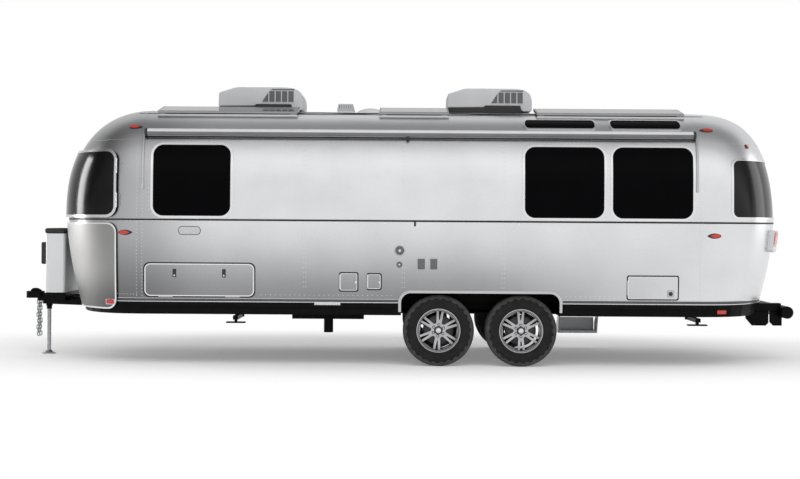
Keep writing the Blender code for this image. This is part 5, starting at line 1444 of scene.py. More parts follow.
@dataclass
class Trims:
    """Rails, sills, arch lips, seams and rivets on the skin."""

    openings: Openings
    arch_front: float = -0.022
    arch_rear: float = 1.616
    arch_top: float = 0.762
    arch_corner: float = 0.10
    belt_height: float = 0.026
    rivet_radius: float = 0.0042
    rivet_height: float = 0.0018
    seam_set_back: float = 0.012
    sill_row: float = 0.735
    crown_row: float = 2.335
    sheet_edges: tuple[float, ...] = (-2.03, -1.02, 0.0, 1.03, 2.04)

    def build(self) -> None:
        """Builds every trim."""
        self.rail("belt_rail", FORM.belt)
        self.sills()
        self.arches()
        self.seams()
        self.rivets()

    def round_path(self, z: float, steps: int = 96) -> tuple[list[Vector], list[Vector]]:
        """Gives the way round the whole body at a height, and its normals."""
        turns = list(np.linspace(0, 1, steps, endpoint=False)) + [1.0, 1.5]
        turns += list(np.linspace(2, 3, steps, endpoint=False)) + [3.0, 3.5]
        path = [FORM.ring(t, z) for t in turns]
        return path, [FORM.normal(p) for p in path]

    def rail(self, name: str, z: float) -> None:
        """Runs the belt rail, a dark channel between two bright lips, round the body."""
        path, outs = self.round_path(z)
        half = self.belt_height / 2
        lip = [(half, 0), (half, 0.004), (half - 0.002, 0.006), (half - 0.004, 0.006), (half - 0.004, 0)]
        for part, sign in (("upper", 1), ("lower", -1)):
            profile = [(s * sign, h) for s, h in lip]
            dress(BENCH.smooth(BENCH.sweep(f"{name}_{part}", path, outs, profile), 30), TRIM)
        channel = [(half - 0.004, 0), (half - 0.004, 0.003), (0.004 - half, 0.003), (0.004 - half, 0)]
        dress(BENCH.sweep(name + "_channel", path, outs, channel), SHADOW_LINE)

    def turn_of(self, x: float) -> float:
        """Gives the place on the ring round the body of a point of the curb side."""
        return 1 + (FORM.seam[End.REAR] - x) / (FORM.seam[End.REAR] - FORM.seam[End.FRONT])

    def sills(self) -> None:
        """Runs the two-line sill trim round the body, but not across the wheel arches."""
        gap = 0.032
        rear, front = self.turn_of(self.arch_rear + gap), self.turn_of(self.arch_front - gap)
        curb = list(np.linspace(front, 2, 3)) + list(np.linspace(2, 3, 97))[1:]
        curb += list(np.linspace(3, 4 - (front - 1), 3))[1:]
        stern = list(np.linspace(4 - (rear - 1), 4, 3)) + list(np.linspace(4, 5, 97))[1:]
        stern += list(np.linspace(5, 5 + (rear - 1), 3))[1:]
        for part, turns in (("front", curb), ("rear", stern)):
            for name, z, half, height, finish in (
                ("sill_channel", 0.6795, 0.0125, 0.005, DARK_TRIM), ("sill_rail", 0.6625, 0.0045, 0.010, TRIM),
                ("sill_lip", 0.6950, 0.0030, 0.006, TRIM),
            ):
                path = [FORM.ring(t, z) for t in turns]
                outs = [FORM.normal(p) for p in path]
                profile = [
                    (half, 0), (half, height * 0.6), (half * 0.6, height), (-half * 0.6, height),
                    (-half, height * 0.6), (-half, 0),
                ]
                strip = BENCH.sweep(f"{name}_{part}", path, outs, profile, loop=False)
                dress(BENCH.smooth(strip, 30), finish)

    def arches(self) -> None:
        """Frames each wheel arch with a bright flat lip."""
        for side, label in ((Side.STREET, "street"), (Side.CURB, "curb")):
            outline = rounded(
                self.arch_front, self.arch_rear, FORM.skirt - 0.4, self.arch_top, self.arch_corner, 14
            )
            line = [(x, z) for x, z in finer(outline, 0.05) if z > FORM.skirt + 0.012]
            cut = max(range(len(line)), key=lambda k: math.dist(line[k], line[k - 1]))
            line = line[cut:] + line[:cut]
            path, outs = SKIN.side_loop(line, side)
            sign = side.value
            width, height = 0.028, 0.010
            profile = [
                (0, -0.03), (0, height), (-sign * width, height), (-sign * width, 0.0),
            ]
            lip = BENCH.sweep(f"arch_trim_{label}", path, outs, profile, loop=False)
            dress(BENCH.smooth(lip, 30), SATIN_TRIM)

    def seams(self) -> None:
        """Lays the narrow lap seams of the sheets over the skin."""
        strip = [(0.004, -0.0005), (0.004, 0.0012), (-0.004, 0.0012), (-0.004, -0.0005)]
        pieces = []
        for end in End:
            for side in Side:
                x = FORM.seam[end] + end.value * self.seam_set_back
                pieces.append(self.seam(x, side, FORM.rows(0.70, FORM.top, 60), strip))
        for x in self.sheet_edges:
            for side in Side:
                if not self.blocked(x, side):
                    pieces.append(self.seam(x, side, FORM.rows(0.80, 2.30, 30), strip))
        dress(BENCH.join("sheet_seams", pieces), SHEET)

    def seam(self, x: float, side: Side, heights: Sequence[float], strip: Sequence[Flat]) -> bpy.types.Object:
        """Makes one upright lap seam.

        Args:
            x: Its place along the body.
            side: The side that it is on.
            heights: The heights that it runs through.
            strip: Its section.

        Returns:
            The seam.
        """
        path = [FORM.side_point(x, z, side) for z in heights]
        outs = [FORM.normal(p) for p in path]
        return BENCH.sweep("seam", path, outs, strip, loop=False)

    def blocked(self, x: float, side: Side) -> bool:
        """Tells whether a window or hatch of a side stands across a place."""
        found = [*self.openings.windows, *self.openings.hatches, self.openings.door]
        return any(o.side == side and o.left - 0.05 < x < o.right + 0.05 for o in found)

    def rivets(self) -> None:
        """Sets the rows of rivets."""
        spots: list[Vector] = []
        for end in End:
            for side in Side:
                for shift in (-0.022, 0.034):
                    x = FORM.seam[end] + end.value * shift
                    for z in np.arange(0.72, 2.60, 0.036):
                        if abs(z - FORM.belt) > 0.02:
                            spots.append(FORM.side_point(x, float(z), side))
        for x in self.sheet_edges:
            for side in Side:
                if not self.blocked(x, side):
                    for z in np.arange(0.82, 2.28, 0.05):
                        if abs(z - FORM.belt) > 0.02:
                            spots += [FORM.side_point(x + s, float(z), side) for s in (-0.012, 0.012)]
        for opening in self.openings.windows:
            outline = rounded(
                opening.left - 0.045, opening.right + 0.045, opening.low - 0.04, opening.high + 0.04,
                opening.corner + 0.04, 10,
            )
            outline = [p for p in self.even(outline, 0.045) if p[1] > FORM.belt + 0.018]
            spots += [FORM.side_point(x, z, opening.side) for x, z in outline]
        for z in (self.sill_row, self.crown_row):
            for end in End:
                for turn in np.linspace(0.01, 0.99, 96):
                    spot = FORM.ring((2 if end == End.FRONT else 0) + float(turn), z)
                    spots.append(spot)
        for x in np.arange(FORM.seam[End.FRONT] + 0.05, FORM.seam[End.REAR], 0.05):
            for side in Side:
                clear = not (self.arch_front - 0.05 < x < self.arch_rear + 0.05)
                hatch = any(
                    o.side == side and o.left - 0.03 < x < o.right + 0.03 and o.low < self.sill_row + 0.03
                    for o in [*self.openings.hatches, self.openings.door]
                )
                if clear and not hatch:
                    spots.append(FORM.side_point(float(x), self.sill_row, side))
        self.set_rivets("skin_rivets", spots)

    def even(self, outline: Sequence[Flat], gap: float) -> list[Flat]:
        """Gives points at an even gap along a closed outline."""
        ring = np.array(list(outline) + [outline[0]], float)
        lengths = np.concatenate([[0], np.cumsum(np.linalg.norm(np.diff(ring, axis=0), axis=1))])
        count = max(3, round(lengths[-1] / gap))
        marks = np.linspace(0, lengths[-1], count, endpoint=False)
        return list(zip(np.interp(marks, lengths, ring[:, 0]), np.interp(marks, lengths, ring[:, 1])))

    def set_rivets(self, name: str, spots: Sequence[Vector], finish: Finish = TRIM, body: str = BODY) -> None:
        """Sets a low domed rivet at each spot on the skin.

        Args:
            name: The piece's name.
            spots: Places on the skin.
            finish: The rivets' finish.
            body: The CAD body that they move with.
        """
        sides, radius, height = 8, self.rivet_radius, self.rivet_height
        head = [Vector((0, 0, -0.001)), Vector((0, 0, height))]
        for share, rise in ((1.0, -0.001), (1.0, height * 0.25), (0.66, height * 0.82)):
            for step in range(sides):
                angle = 2 * math.pi * step / sides
                head.append(Vector((radius * share * math.cos(angle), radius * share * math.sin(angle), rise)))
        faces = []
        for step in range(sides):
            after = (step + 1) % sides
            low, middle, high = 2 + step, 2 + sides + step, 2 + 2 * sides + step
            low2, middle2, high2 = 2 + after, 2 + sides + after, 2 + 2 * sides + after
            faces += [(0, low2, low), (low, low2, middle2, middle), (middle, middle2, high2, high), (high, high2, 1)]
        vertices, polygons = [], []
        for spot in spots:
            turn = Vector((0, 0, 1)).rotation_difference(FORM.normal(spot)).to_matrix()
            base = len(vertices)
            vertices += [turn @ v + spot for v in head]
            polygons += [tuple(base + k for k in face) for face in faces]
        mesh = bpy.data.meshes.new(name)
        mesh.from_pydata(vertices, [], polygons)
        piece = bpy.data.objects.new(name, mesh)
        bpy.context.scene.collection.objects.link(piece)
        dress(BENCH.smooth(piece, 50), finish, body)
        log.info("%d rivets in %s", len(spots), name)


@dataclass
class Hatches:
    """The hinged hatches of the street side and the entry door of the curb side."""

    openings: Openings
    windows: Windows
    trims: Trims
    thickness: float = 0.020
    gap: float = 0.008
    door_gap: float = 0.012
    wall: float = 0.045
    knuckle_radius: float = 0.007
    knuckle_stand: float = 0.011
    knuckle_length: float = 0.05
    bodies = {
        "storage_hatch": "storage_lid", "service_hatch_front": "service_lid_front",
        "service_hatch_rear": "service_lid_rear", "heater_hatch": "heater_lid",
    }

    def build(self) -> None:
        """Builds the hatches and the door."""
        for opening in self.openings.hatches:
            body = self.bodies[opening.node]
            leaf = self.leaf(opening.node + "_leaf", opening, self.gap, self.thickness)
            dress(leaf, SHEET, body, "aluminium_skin", [opening.node])
            self.rim(opening, body)
            self.knuckles(opening, body)
        self.latches()
        self.door()

    def leaf(self, name: str, opening: Opening, gap: float, thickness: float) -> bpy.types.Object:
        """Makes a leaf that follows the wall inside its opening."""
        heights = FORM.rows(opening.low, opening.high, 31)

        def place(column: int, row: int) -> Vector:
            x = opening.left + (opening.right - opening.left) * column
            return FORM.side_point(x, heights[row], opening.side)

        piece = BENCH.sheet(name, 2, len(heights), place)
        if piece.data.polygons[0].normal.y * opening.side.value < 0:
            BENCH.edit(piece, lambda: bpy.ops.mesh.flip_normals())
        BENCH.modify(piece, "SOLIDIFY", thickness=thickness, offset=-1.0)
        tool = self.openings.cutter(opening.outline(gap), opening.side)
        return BENCH.combine(piece, tool, "INTERSECT")

    def rim(self, opening: Opening, body: str) -> None:
        """Lays a bright rim on a hatch's edge and shades its leaf."""
        large = opening.corner > 0.03
        width, height = (0.013, 0.004) if large else (0.008, 0.003)
        outline = finer(opening.outline(self.gap + width), 0.03)
        ring = SKIN.frame_ring(
            opening.node + "_rim", outline, opening.side, width, height, bevel=0.001, sunk=0.0
        )
        dress(ring, TRIM, body)
        outline = finer(opening.outline(-0.0002), 0.03)
        ring = SKIN.frame_ring(
            opening.node + "_surround", outline, opening.side, 0.005, 0.002, bevel=0.0005, sunk=0.0
        )
        dress(ring, DARK_TRIM)
        SKIN.form_normals(bpy.data.objects[opening.node + "_leaf"])

    def knuckles(self, opening: Opening, body: str) -> None:
        """Builds a hatch's hinge barrels, the middle one of each three on the hatch."""
        side = opening.side.value
        lying = opening.node == "storage_hatch"
        if lying:
            z = opening.low + self.gap / 2
            spots = [(opening.left + s * (opening.right - opening.left), z) for s in (0.2, 0.8)]
        else:
            spots = [(opening.left + self.gap / 2, (opening.low + opening.high) / 2)]
        along = Vector((1, 0, 0)) if lying else Vector((0, 0, 1))
        moving, fixed = [], []
        for x, z in spots:
            centre = Vector((x, side * (float(FORM.across(z)) + self.knuckle_stand), z))
            for shift in (-1, 0, 1):
                middle = centre + along * shift * (self.knuckle_length + 0.0003)
                half = along * self.knuckle_length / 2
                barrel = BENCH.drum("barrel", middle - half, middle + half, self.knuckle_radius - 0.002, 20)
                (fixed if shift else moving).append(BENCH.smooth(barrel))
        dress(BENCH.join(opening.node + "_hinge", moving), STAINLESS, body)
        dress(BENCH.join(opening.node + "_hinge_fixed", fixed), STAINLESS)

    def latches(self) -> None:
        """Builds the two latches of the storage hatch and the small hatches' locks."""
        for number, x in enumerate((-2.362, -1.851)):
            centre = FORM.side_point(x, 0.954, Side.STREET)
            body = BENCH.block(
                f"storage_latch_{number}", centre + Vector((-0.018, -0.012, -0.043)),
                centre + Vector((0.018, 0.002, 0.043)),
            )
            BENCH.bevel(body, 0.005, 3)
            dress(BENCH.smooth(body), BLACK_PLASTIC, "storage_lid")
            cup = BENCH.lathe(
                f"storage_latch_key_{number}", [(0, 0), (0.009, 0), (0.009, 0.003), (0.005, 0.004), (0, 0.004)],
                centre + Vector((0, -0.012, -0.024)), (0, -1, 0), 24,
            )
            dress(BENCH.smooth(cup), STAINLESS, "storage_lid")
        lock = FORM.side_point(2.760, 0.770, Side.STREET)
        plate = BENCH.block(
            "heater_lock", lock + Vector((-0.036, -0.006, -0.036)), lock + Vector((0.036, 0.001, 0.036))
        )
        dress(BENCH.smooth(BENCH.bevel(plate, 0.004, 3)), ALLOY_FACE, "heater_lid")
        knob = BENCH.lathe(
            "heater_lock_barrel", [(0, 0), (0.021, 0), (0.021, 0.004), (0.015, 0.008), (0, 0.008)],
            lock + Vector((0, -0.006, 0)), (0, -1, 0), 32,
        )
        dress(BENCH.smooth(knob), BLACK_PLASTIC, "heater_lid")
        for node, x in (("service_lid_front", -0.49), ("service_lid_rear", -0.245)):
            spot = FORM.side_point(x, 0.87, Side.STREET)
            cup = BENCH.lathe(
                node + "_lock", [(0, 0), (0.010, 0), (0.010, 0.003), (0.007, 0.004), (0, 0.004)],
                spot, (0, -1, 0), 24,
            )
            dress(BENCH.smooth(cup), TRIM, node)

    def door(self) -> None:
        """Builds the entry door with its pane, frame, handle and hinges."""
        opening = self.openings.door
        leaf = self.leaf("entry_door_leaf", opening, self.door_gap, self.wall)
        tool = self.openings.cutter(self.openings.door_window.outline(), Side.CURB, 0.9)
        BENCH.combine(leaf, tool, "DIFFERENCE")
        dress(SKIN.form_normals(leaf), SHEET, "door", "aluminium_skin", ["entry_door"])
        self.windows.side_pane(self.openings.door_window, "door")
        outline = finer(opening.outline(self.door_gap + 0.016), 0.03)
        ring = SKIN.frame_ring("entry_door_rim", outline, Side.CURB, 0.016, 0.004, 0.001, 0.0)
        dress(ring, TRIM, "door")
        outline = finer(opening.outline(-0.0002), 0.03)
        ring = SKIN.frame_ring("entry_door_surround", outline, Side.CURB, 0.022, 0.006, 0.001, 0.0)
        dress(ring, TRIM)
        moving, fixed = [], []
        x, y = opening.left + self.door_gap / 2, FORM.half_width + self.knuckle_stand
        for share in (0.12, 0.80):
            z = opening.low + share * (opening.high - opening.low)
            for shift in (-1, 0, 1):
                middle = z + shift * (self.knuckle_length + 0.0003)
                half = self.knuckle_length / 2
                barrel = BENCH.drum("barrel", (x, y, middle - half), (x, y, middle + half), self.knuckle_radius - 0.001, 20)
                (fixed if shift else moving).append(BENCH.smooth(barrel))
        dress(BENCH.join("entry_door_hinge", moving), STAINLESS, "door")
        dress(BENCH.join("entry_door_hinge_fixed", fixed), STAINLESS)
        spot = FORM.side_point(opening.right - 0.085, 1.25, Side.CURB)
        box = BENCH.block(
            "entry_door_lock", spot + Vector((-0.045, -0.001, -0.085)), spot + Vector((0.045, 0.012, 0.085))
        )
        dress(BENCH.smooth(BENCH.bevel(box, 0.008, 3)), BLACK_PLASTIC, "door")
        grip = BENCH.block(
            "entry_door_grip", spot + Vector((-0.036, 0.012, 0.0)), spot + Vector((0.020, 0.024, 0.042))
        )
        dress(BENCH.smooth(BENCH.bevel(grip, 0.006, 3)), STAINLESS, "door")


@dataclass
class Guards:
    """The tinted window guards and the stainless stone guards of the front corners."""

    edge_x: float = -2.965
    inner_y: float = 0.36
    stand: float = 0.028
    thickness: float = 0.009
    low: float = 1.525
    high: float = 2.235
    corner: float = 0.11
    stone_stand: float = 0.016
    stone_low: float = 0.575
    stone_high: float = 1.47
    stone_corner: float = 0.10
    hinge_shares: tuple[float, float] = (0.25, 0.75)

    def build(self) -> None:
        """Builds both guards of both sides."""
        for side, label in ((Side.STREET, "street"), (Side.CURB, "curb")):
            self.window_guard(side, label)
            self.stone_guard(side, label)

    def panel(
        self, name: str, side: Side, low: float, high: float, corner: float, stand: float,
        thickness: float, trim: float = 0.0, inner: float = 0.0,
    ) -> bpy.types.Object:
        """Makes a panel that stands off the front corner.

        Args:
            name: The piece's name.
            side: Which side.
            low: Lowest height.
            high: Highest height.
            corner: Radius of its rear corners.
            stand: Distance of its inner face off the skin.
            thickness: Its thickness.
            trim: Cut back all round but at the front.
            inner: Further cut back at the front.

        Returns:
            The panel.
        """
        rows = FORM.rows(low - 0.01, high + 0.01, 31)
        turns = np.linspace(3 - 1e-6, 2.5, 61) if side == Side.STREET else np.linspace(2 + 1e-6, 2.5, 61)

        def place(column: int, row: int) -> Vector:
            spot = FORM.ring(float(turns[column]), rows[row])
            return spot + FORM.normal(spot) * (stand + thickness)

        piece = BENCH.sheet(name, 61, len(rows), place)
        middle = piece.data.polygons[len(piece.data.polygons) // 2]
        if middle.normal.x > 0:
            BENCH.edit(piece, lambda: bpy.ops.mesh.flip_normals())
        BENCH.modify(piece, "SOLIDIFY", thickness=thickness, offset=-1.0)
        outline = rounded(-6.0, self.edge_x - trim, low + trim, high - trim, corner - trim * 0.5, 16)
        start = side.value * (self.inner_y + inner)
        tool = BENCH.plate("cutter", [(x, start, z) for x, z in outline], (0, side.value * 1.4, 0))
        return BENCH.combine(piece, tool, "INTERSECT")

    def window_guard(self, side: Side, label: str) -> None:
        """Builds one tinted guard with its light frame and hinge straps."""
        body, node = "guard_" + label, "window_guard_" + label
        pane = self.panel(node + "_pane", side, self.low, self.high, self.corner, self.stand, self.thickness - 0.003)
        dress(SKIN.form_normals(pane), ACRYLIC, body, "dark_acrylic", [node])
        frame_piece = self.panel(
            node + "_frame", side, self.low, self.high, self.corner, self.stand + self.thickness - 0.0035, 0.0035
        )
        hole = rounded(-6.0, self.edge_x - 0.026, self.low + 0.026, self.high - 0.026, self.corner - 0.018, 16)
        start = side.value * (self.inner_y + 0.026)
        tool = BENCH.plate("cutter", [(x, start, z) for x, z in hole], (0, side.value * 1.4, 0))
        BENCH.combine(frame_piece, tool, "DIFFERENCE")
        dress(SKIN.form_normals(frame_piece), TRIM, body)
        hinge_x = self.edge_x + 0.006
        pieces, fixed = [], []
        for share in self.hinge_shares:
            z = self.low + share * (self.high - self.low)
            for shift in (-1, 0, 1):
                middle = z + shift * 0.0503
                barrel = BENCH.drum(
                    "barrel", (hinge_x, side.value * 1.3116, middle - 0.025),
                    (hinge_x, side.value * 1.3116, middle + 0.025), 0.006, 20,
                )
                (fixed if shift else pieces).append(BENCH.smooth(barrel))
        dress(BENCH.join(node + "_hinge", pieces), TRIM, body)
        dress(BENCH.join(node + "_hinge_fixed", fixed), TRIM)

    def stone_guard(self, side: Side, label: str) -> None:
        """Builds one stainless guard with its raised edge."""
        node = "stone_guard_" + label
        plate = self.panel(
            node + "_plate", side, self.stone_low, self.stone_high, self.stone_corner,
            self.stone_stand, self.thickness - 0.002,
        )
        dress(SKIN.form_normals(plate), GUARD_SHEET, BODY, "stainless", [node])
        edge = self.panel(
            node + "_edge", side, self.stone_low, self.stone_high, self.stone_corner,
            self.stone_stand + self.thickness - 0.002, 0.003,
        )
        hole = rounded(-6.0, self.edge_x - 0.016, self.stone_low + 0.016, self.stone_high - 0.016, self.stone_corner - 0.010, 16)
        start = side.value * (self.inner_y + 0.016)
        tool = BENCH.plate("cutter", [(x, start, z) for x, z in hole], (0, side.value * 1.4, 0))
        BENCH.combine(edge, tool, "DIFFERENCE")
        dress(SKIN.form_normals(edge), TRIM)


@dataclass
class Wheels:
    """The four wheels: tread blocks, side walls, paired spokes, nuts and caps."""

    places: tuple[float, float] = (0.368, 1.226)
    plane_y: float = 1.088
    centre_z: float = 0.370853
    radius: float = 0.3706
    half_width: float = 0.1125
    lip: float = 0.2215
    pairs: int = 6
    nuts: int = 6
    pitches: int = 54

    def build(self) -> None:
        """Builds one wheel and copies it to the four corners."""
        # the tread takes the lighter rubber, a painted highlight
        parts = [
            (self.carcass(), RUBBER, "tyre"), (self.tread(), TREAD_HIGHLIGHT_RUBBER, None),
            (self.barrel(), ALLOY_DARK, "alloy"), (self.face(), ALLOY_FACE, "alloy"),
            (self.hub(), ALLOY_DARK, None), (self.cap(), STAINLESS, None), (self.nuts_ring(), STAINLESS, None),
        ]
        for row, x, turn in (("front", self.places[0], 0.09), ("rear", self.places[1], -0.02)):
            for side, label in ((Side.STREET, "street"), (Side.CURB, "curb")):
                mirror = Matrix.Scale(-side.value, 4, Vector((0, 1, 0)))
                spin = Matrix.Rotation(turn, 4, "Y")
                shift = Matrix.Translation((x, side.value * self.plane_y, self.centre_z)) @ mirror @ spin
                for piece, finish, slot in parts:
                    made = BENCH.copy(piece, f"{piece.name}_{label}_{row}", shift)
                    node = {"tyre_carcass": "tyre", "rim_barrel": "rim"}.get(piece.name)
                    stands = [f"{node}_{label}_{row}"] if node else []
                    dress(made, finish, f"wheel_{label}_{row}", slot, stands)
        for piece, _, _ in parts:
            bpy.data.objects.remove(piece, do_unlink=True)

    def carcass(self) -> bpy.types.Object:
        """Makes the tyre's body, with a round side wall and its raised rings."""
        r, w = self.radius - 0.009, self.half_width
        side = [
            (0.2222, 0.88), (0.226, 0.93), (0.234, 0.945), (0.240, 0.955), (0.243, 0.985),
            (0.248, 0.985), (0.251, 0.965), (0.270, 0.990), (0.295, 1.0), (0.320, 0.985),
            (0.338, 0.955), (0.348, 0.925), (0.354, 0.880), (r - 0.003, 0.80),
        ]
        profile = [(a, b * w) for a, b in side] + [(r, 0.55 * w), (r, -0.55 * w)]
        profile += [(a, -b * w) for a, b in reversed(side)]
        return BENCH.smooth(BENCH.lathe("tyre_carcass", profile, (0, 0, 0), (0, -1, 0), 96), 50)

    def tread(self) -> bpy.types.Object:
        """Makes the tread: three rows of blocks and two rows of shoulder lugs."""
        rows = ((-0.60, -0.24, 0.5, 0.66), (-0.18, 0.18, 0.0, 0.70), (0.24, 0.60, 0.5, 0.66))
        vertices: list[Point] = []
        faces: list[tuple[int, ...]] = []
        for near, far, phase, fill in rows:
            lean = 0.12 if near > 0 else -0.12 if far < 0 else 0.0
            section = [(self.radius - 0.013, near), (self.radius, near), (self.radius, far), (self.radius - 0.013, far)]
            self.ring_of_blocks(vertices, faces, section, self.pitches, phase, fill, lean)
        for way in (-1, 1):
            for phase, deep, fill in ((0.0, 0.322, 0.52), (0.5, 0.334, 0.46)):
                section = [
                    (deep, 0.955 * way), (deep + 0.004, 1.045 * way), (0.352, 1.03 * way),
                    (self.radius - 0.002, 0.93 * way), (self.radius, 0.68 * way), (self.radius - 0.016, 0.64 * way),
                ]
                self.ring_of_blocks(vertices, faces, section, self.pitches // 2, phase, fill, 0.0)
        mesh = bpy.data.meshes.new("tyre_tread")
        mesh.from_pydata(vertices, [], faces)
        piece = bpy.data.objects.new("tyre_tread", mesh)
        bpy.context.scene.collection.objects.link(piece)
        return BENCH.face_out(piece)

    def ring_of_blocks(
        self, vertices: list[Point], faces: list[tuple[int, ...]], section: Sequence[Flat],
        count: int, phase: float, fill: float, lean: float,
    ) -> None:
        """Adds a ring of equal blocks to a mesh's points and faces.

        Args:
            vertices: The mesh's points, to which the blocks' are added.
            faces: The mesh's faces.
            section: A block's section, as radius and share of half the width.
            count: Number of blocks.
            phase: Share of a pitch that the ring is turned.
            fill: Share of a pitch that a block fills.
            lean: Share of a pitch that a block's outer end is turned.
        """
        size = len(section)
        for number in range(count):
            base = len(vertices)
            for edge in (-0.5, 0.5):
                for radius, share in section:
                    narrow = 0.9 if radius > self.radius - 0.004 else 1.0
                    turn = 2 * math.pi * (number + phase + edge * fill * narrow + lean * share) / count
                    vertices.append((radius * math.cos(turn), share * self.half_width, radius * math.sin(turn)))
            faces.append(tuple(base + k for k in range(size)))
            faces.append(tuple(base + 2 * size - 1 - k for k in range(size)))
            for k in range(size):
                after = (k + 1) % size
                faces.append((base + k, base + size + k, base + size + after, base + after))

    def barrel(self) -> bpy.types.Object:
        """Makes the rim's barrel with its lips."""
        w = self.half_width
        profile = [
            (0.218, 0.99 * w), (0.2215, 0.97 * w), (0.2215, 0.90 * w), (0.204, 0.84 * w), (0.200, 0.2 * w),
            (0.204, -0.84 * w), (0.2215, -0.90 * w), (0.2215, -0.98 * w), (0.215, -0.98 * w),
            (0.196, -0.7 * w), (0.190, 0.1 * w), (0.196, 0.80 * w), (0.208, 0.93 * w), (0.212, 0.985 * w),
        ]
        return BENCH.smooth(BENCH.lathe("rim_barrel", profile, (0, 0, 0), (0, -1, 0), 96), 50)

    def face(self) -> bpy.types.Object:
        """Makes the spoked face from a dished disc with windows cut between the spokes."""
        w = self.half_width
        front = [(0.0, 0.58), (0.050, 0.58), (0.062, 0.56), (0.120, 0.60), (0.175, 0.72), (0.203, 0.86), (0.2085, 0.985), (0.2275, 0.985)]
        back = [(0.2285, 0.955), (0.2210, 0.950), (0.2175, 0.93), (0.206, 0.84), (0.196, 0.62), (0.170, 0.48), (0.120, 0.38), (0.060, 0.34), (0.0, 0.34)]
        profile = [(r, y * w) for r, y in front + back]
        disc = BENCH.lathe("rim_face", profile, (0, 0, 0), (0, -1, 0), 96)
        for number in range(self.pairs):
            for shift, near, near_half, far, far_half, corner in (
                (0.0, 0.076, 0.165, 0.203, 0.338, 0.016), (0.5, 0.108, 0.045, 0.203, 0.074, 0.006),
            ):
                middle = 2 * math.pi * (number + shift) / self.pairs
                corners = []
                for radius, turn in ((near, -near_half), (far, -far_half), (far, far_half), (near, near_half)):
                    angle = middle + turn
                    corners.append(Vector((radius * math.cos(angle), 0, radius * math.sin(angle))))
                outline = self.round_off(corners, corner)
                tool = BENCH.plate("cutter", [(p.x, -0.2, p.z) for p in outline], (0, 0.4, 0))
                BENCH.combine(disc, tool, "DIFFERENCE")
        BENCH.bevel(disc, 0.0022, 2, 50)
        return BENCH.smooth(disc, 35)

    def round_off(self, corners: Sequence[Vector], radius: float) -> list[Vector]:
        """Rounds the corners of a flat outline with short curves."""
        points = []
        count = len(corners)
        for number, spot in enumerate(corners):
            before, after = corners[number - 1], corners[(number + 1) % count]
            start = spot + (before - spot).normalized() * min(radius, (before - spot).length * 0.45)
            finish = spot + (after - spot).normalized() * min(radius, (after - spot).length * 0.45)
            for step in range(6):
                share = step / 5
                points.append(start * (1 - share) ** 2 + spot * 2 * share * (1 - share) + finish * share**2)
        return points

    def hub(self) -> bpy.types.Object:
        """Makes the dark centre, the nuts' pockets and the brake drum behind the spokes."""
        w = self.half_width
        pieces = []
        centre = [(0, 0.50), (0.044, 0.50), (0.044, 0.615), (0.040, 0.625), (0, 0.625)]
        drum = [(0, -0.55), (0.160, -0.55), (0.160, 0.22), (0.152, 0.28), (0.080, 0.30), (0, 0.30)]
        for name, profile in (("centre", centre), ("drum", drum)):
            pieces.append(BENCH.lathe(name, [(r, y * w) for r, y in profile], (0, 0, 0), (0, -1, 0), 48))
        for x, z in self.nut_spots():
            pieces.append(BENCH.drum("pocket", (x, -0.50 * w, z), (x, -0.605 * w, z), 0.0155, 20))
        return BENCH.smooth(BENCH.join("rim_hub", pieces), 40)

    def cap(self) -> bpy.types.Object:
        """Makes the domed centre cap, left blank."""
        w = self.half_width
        dome = [(0, 0.60), (0.030, 0.60), (0.030, 0.70), (0.027, 0.76), (0.020, 0.79), (0.010, 0.805), (0, 0.81)]
        return BENCH.smooth(BENCH.lathe("rim_cap", [(r, y * w) for r, y in dome], (0, 0, 0), (0, -1, 0), 48), 40)

    def nut_spots(self) -> list[Flat]:
        """Gives the nuts' places round the centre."""
        angles = [2 * math.pi * (number + 0.5) / self.nuts for number in range(self.nuts)]
        return [(0.058 * math.cos(angle), 0.058 * math.sin(angle)) for angle in angles]

    def nuts_ring(self) -> bpy.types.Object:
        """Makes the ring of wheel nuts."""
        pieces = []
        for x, z in self.nut_spots():
            w = self.half_width
            nut = BENCH.drum("nut", (x, -0.52 * w, z), (x, -0.70 * w, z), 0.0095, 6, 0.0085)
            pieces.append(BENCH.bevel(nut, 0.0015, 2))
        return BENCH.join("rim_nuts", pieces)


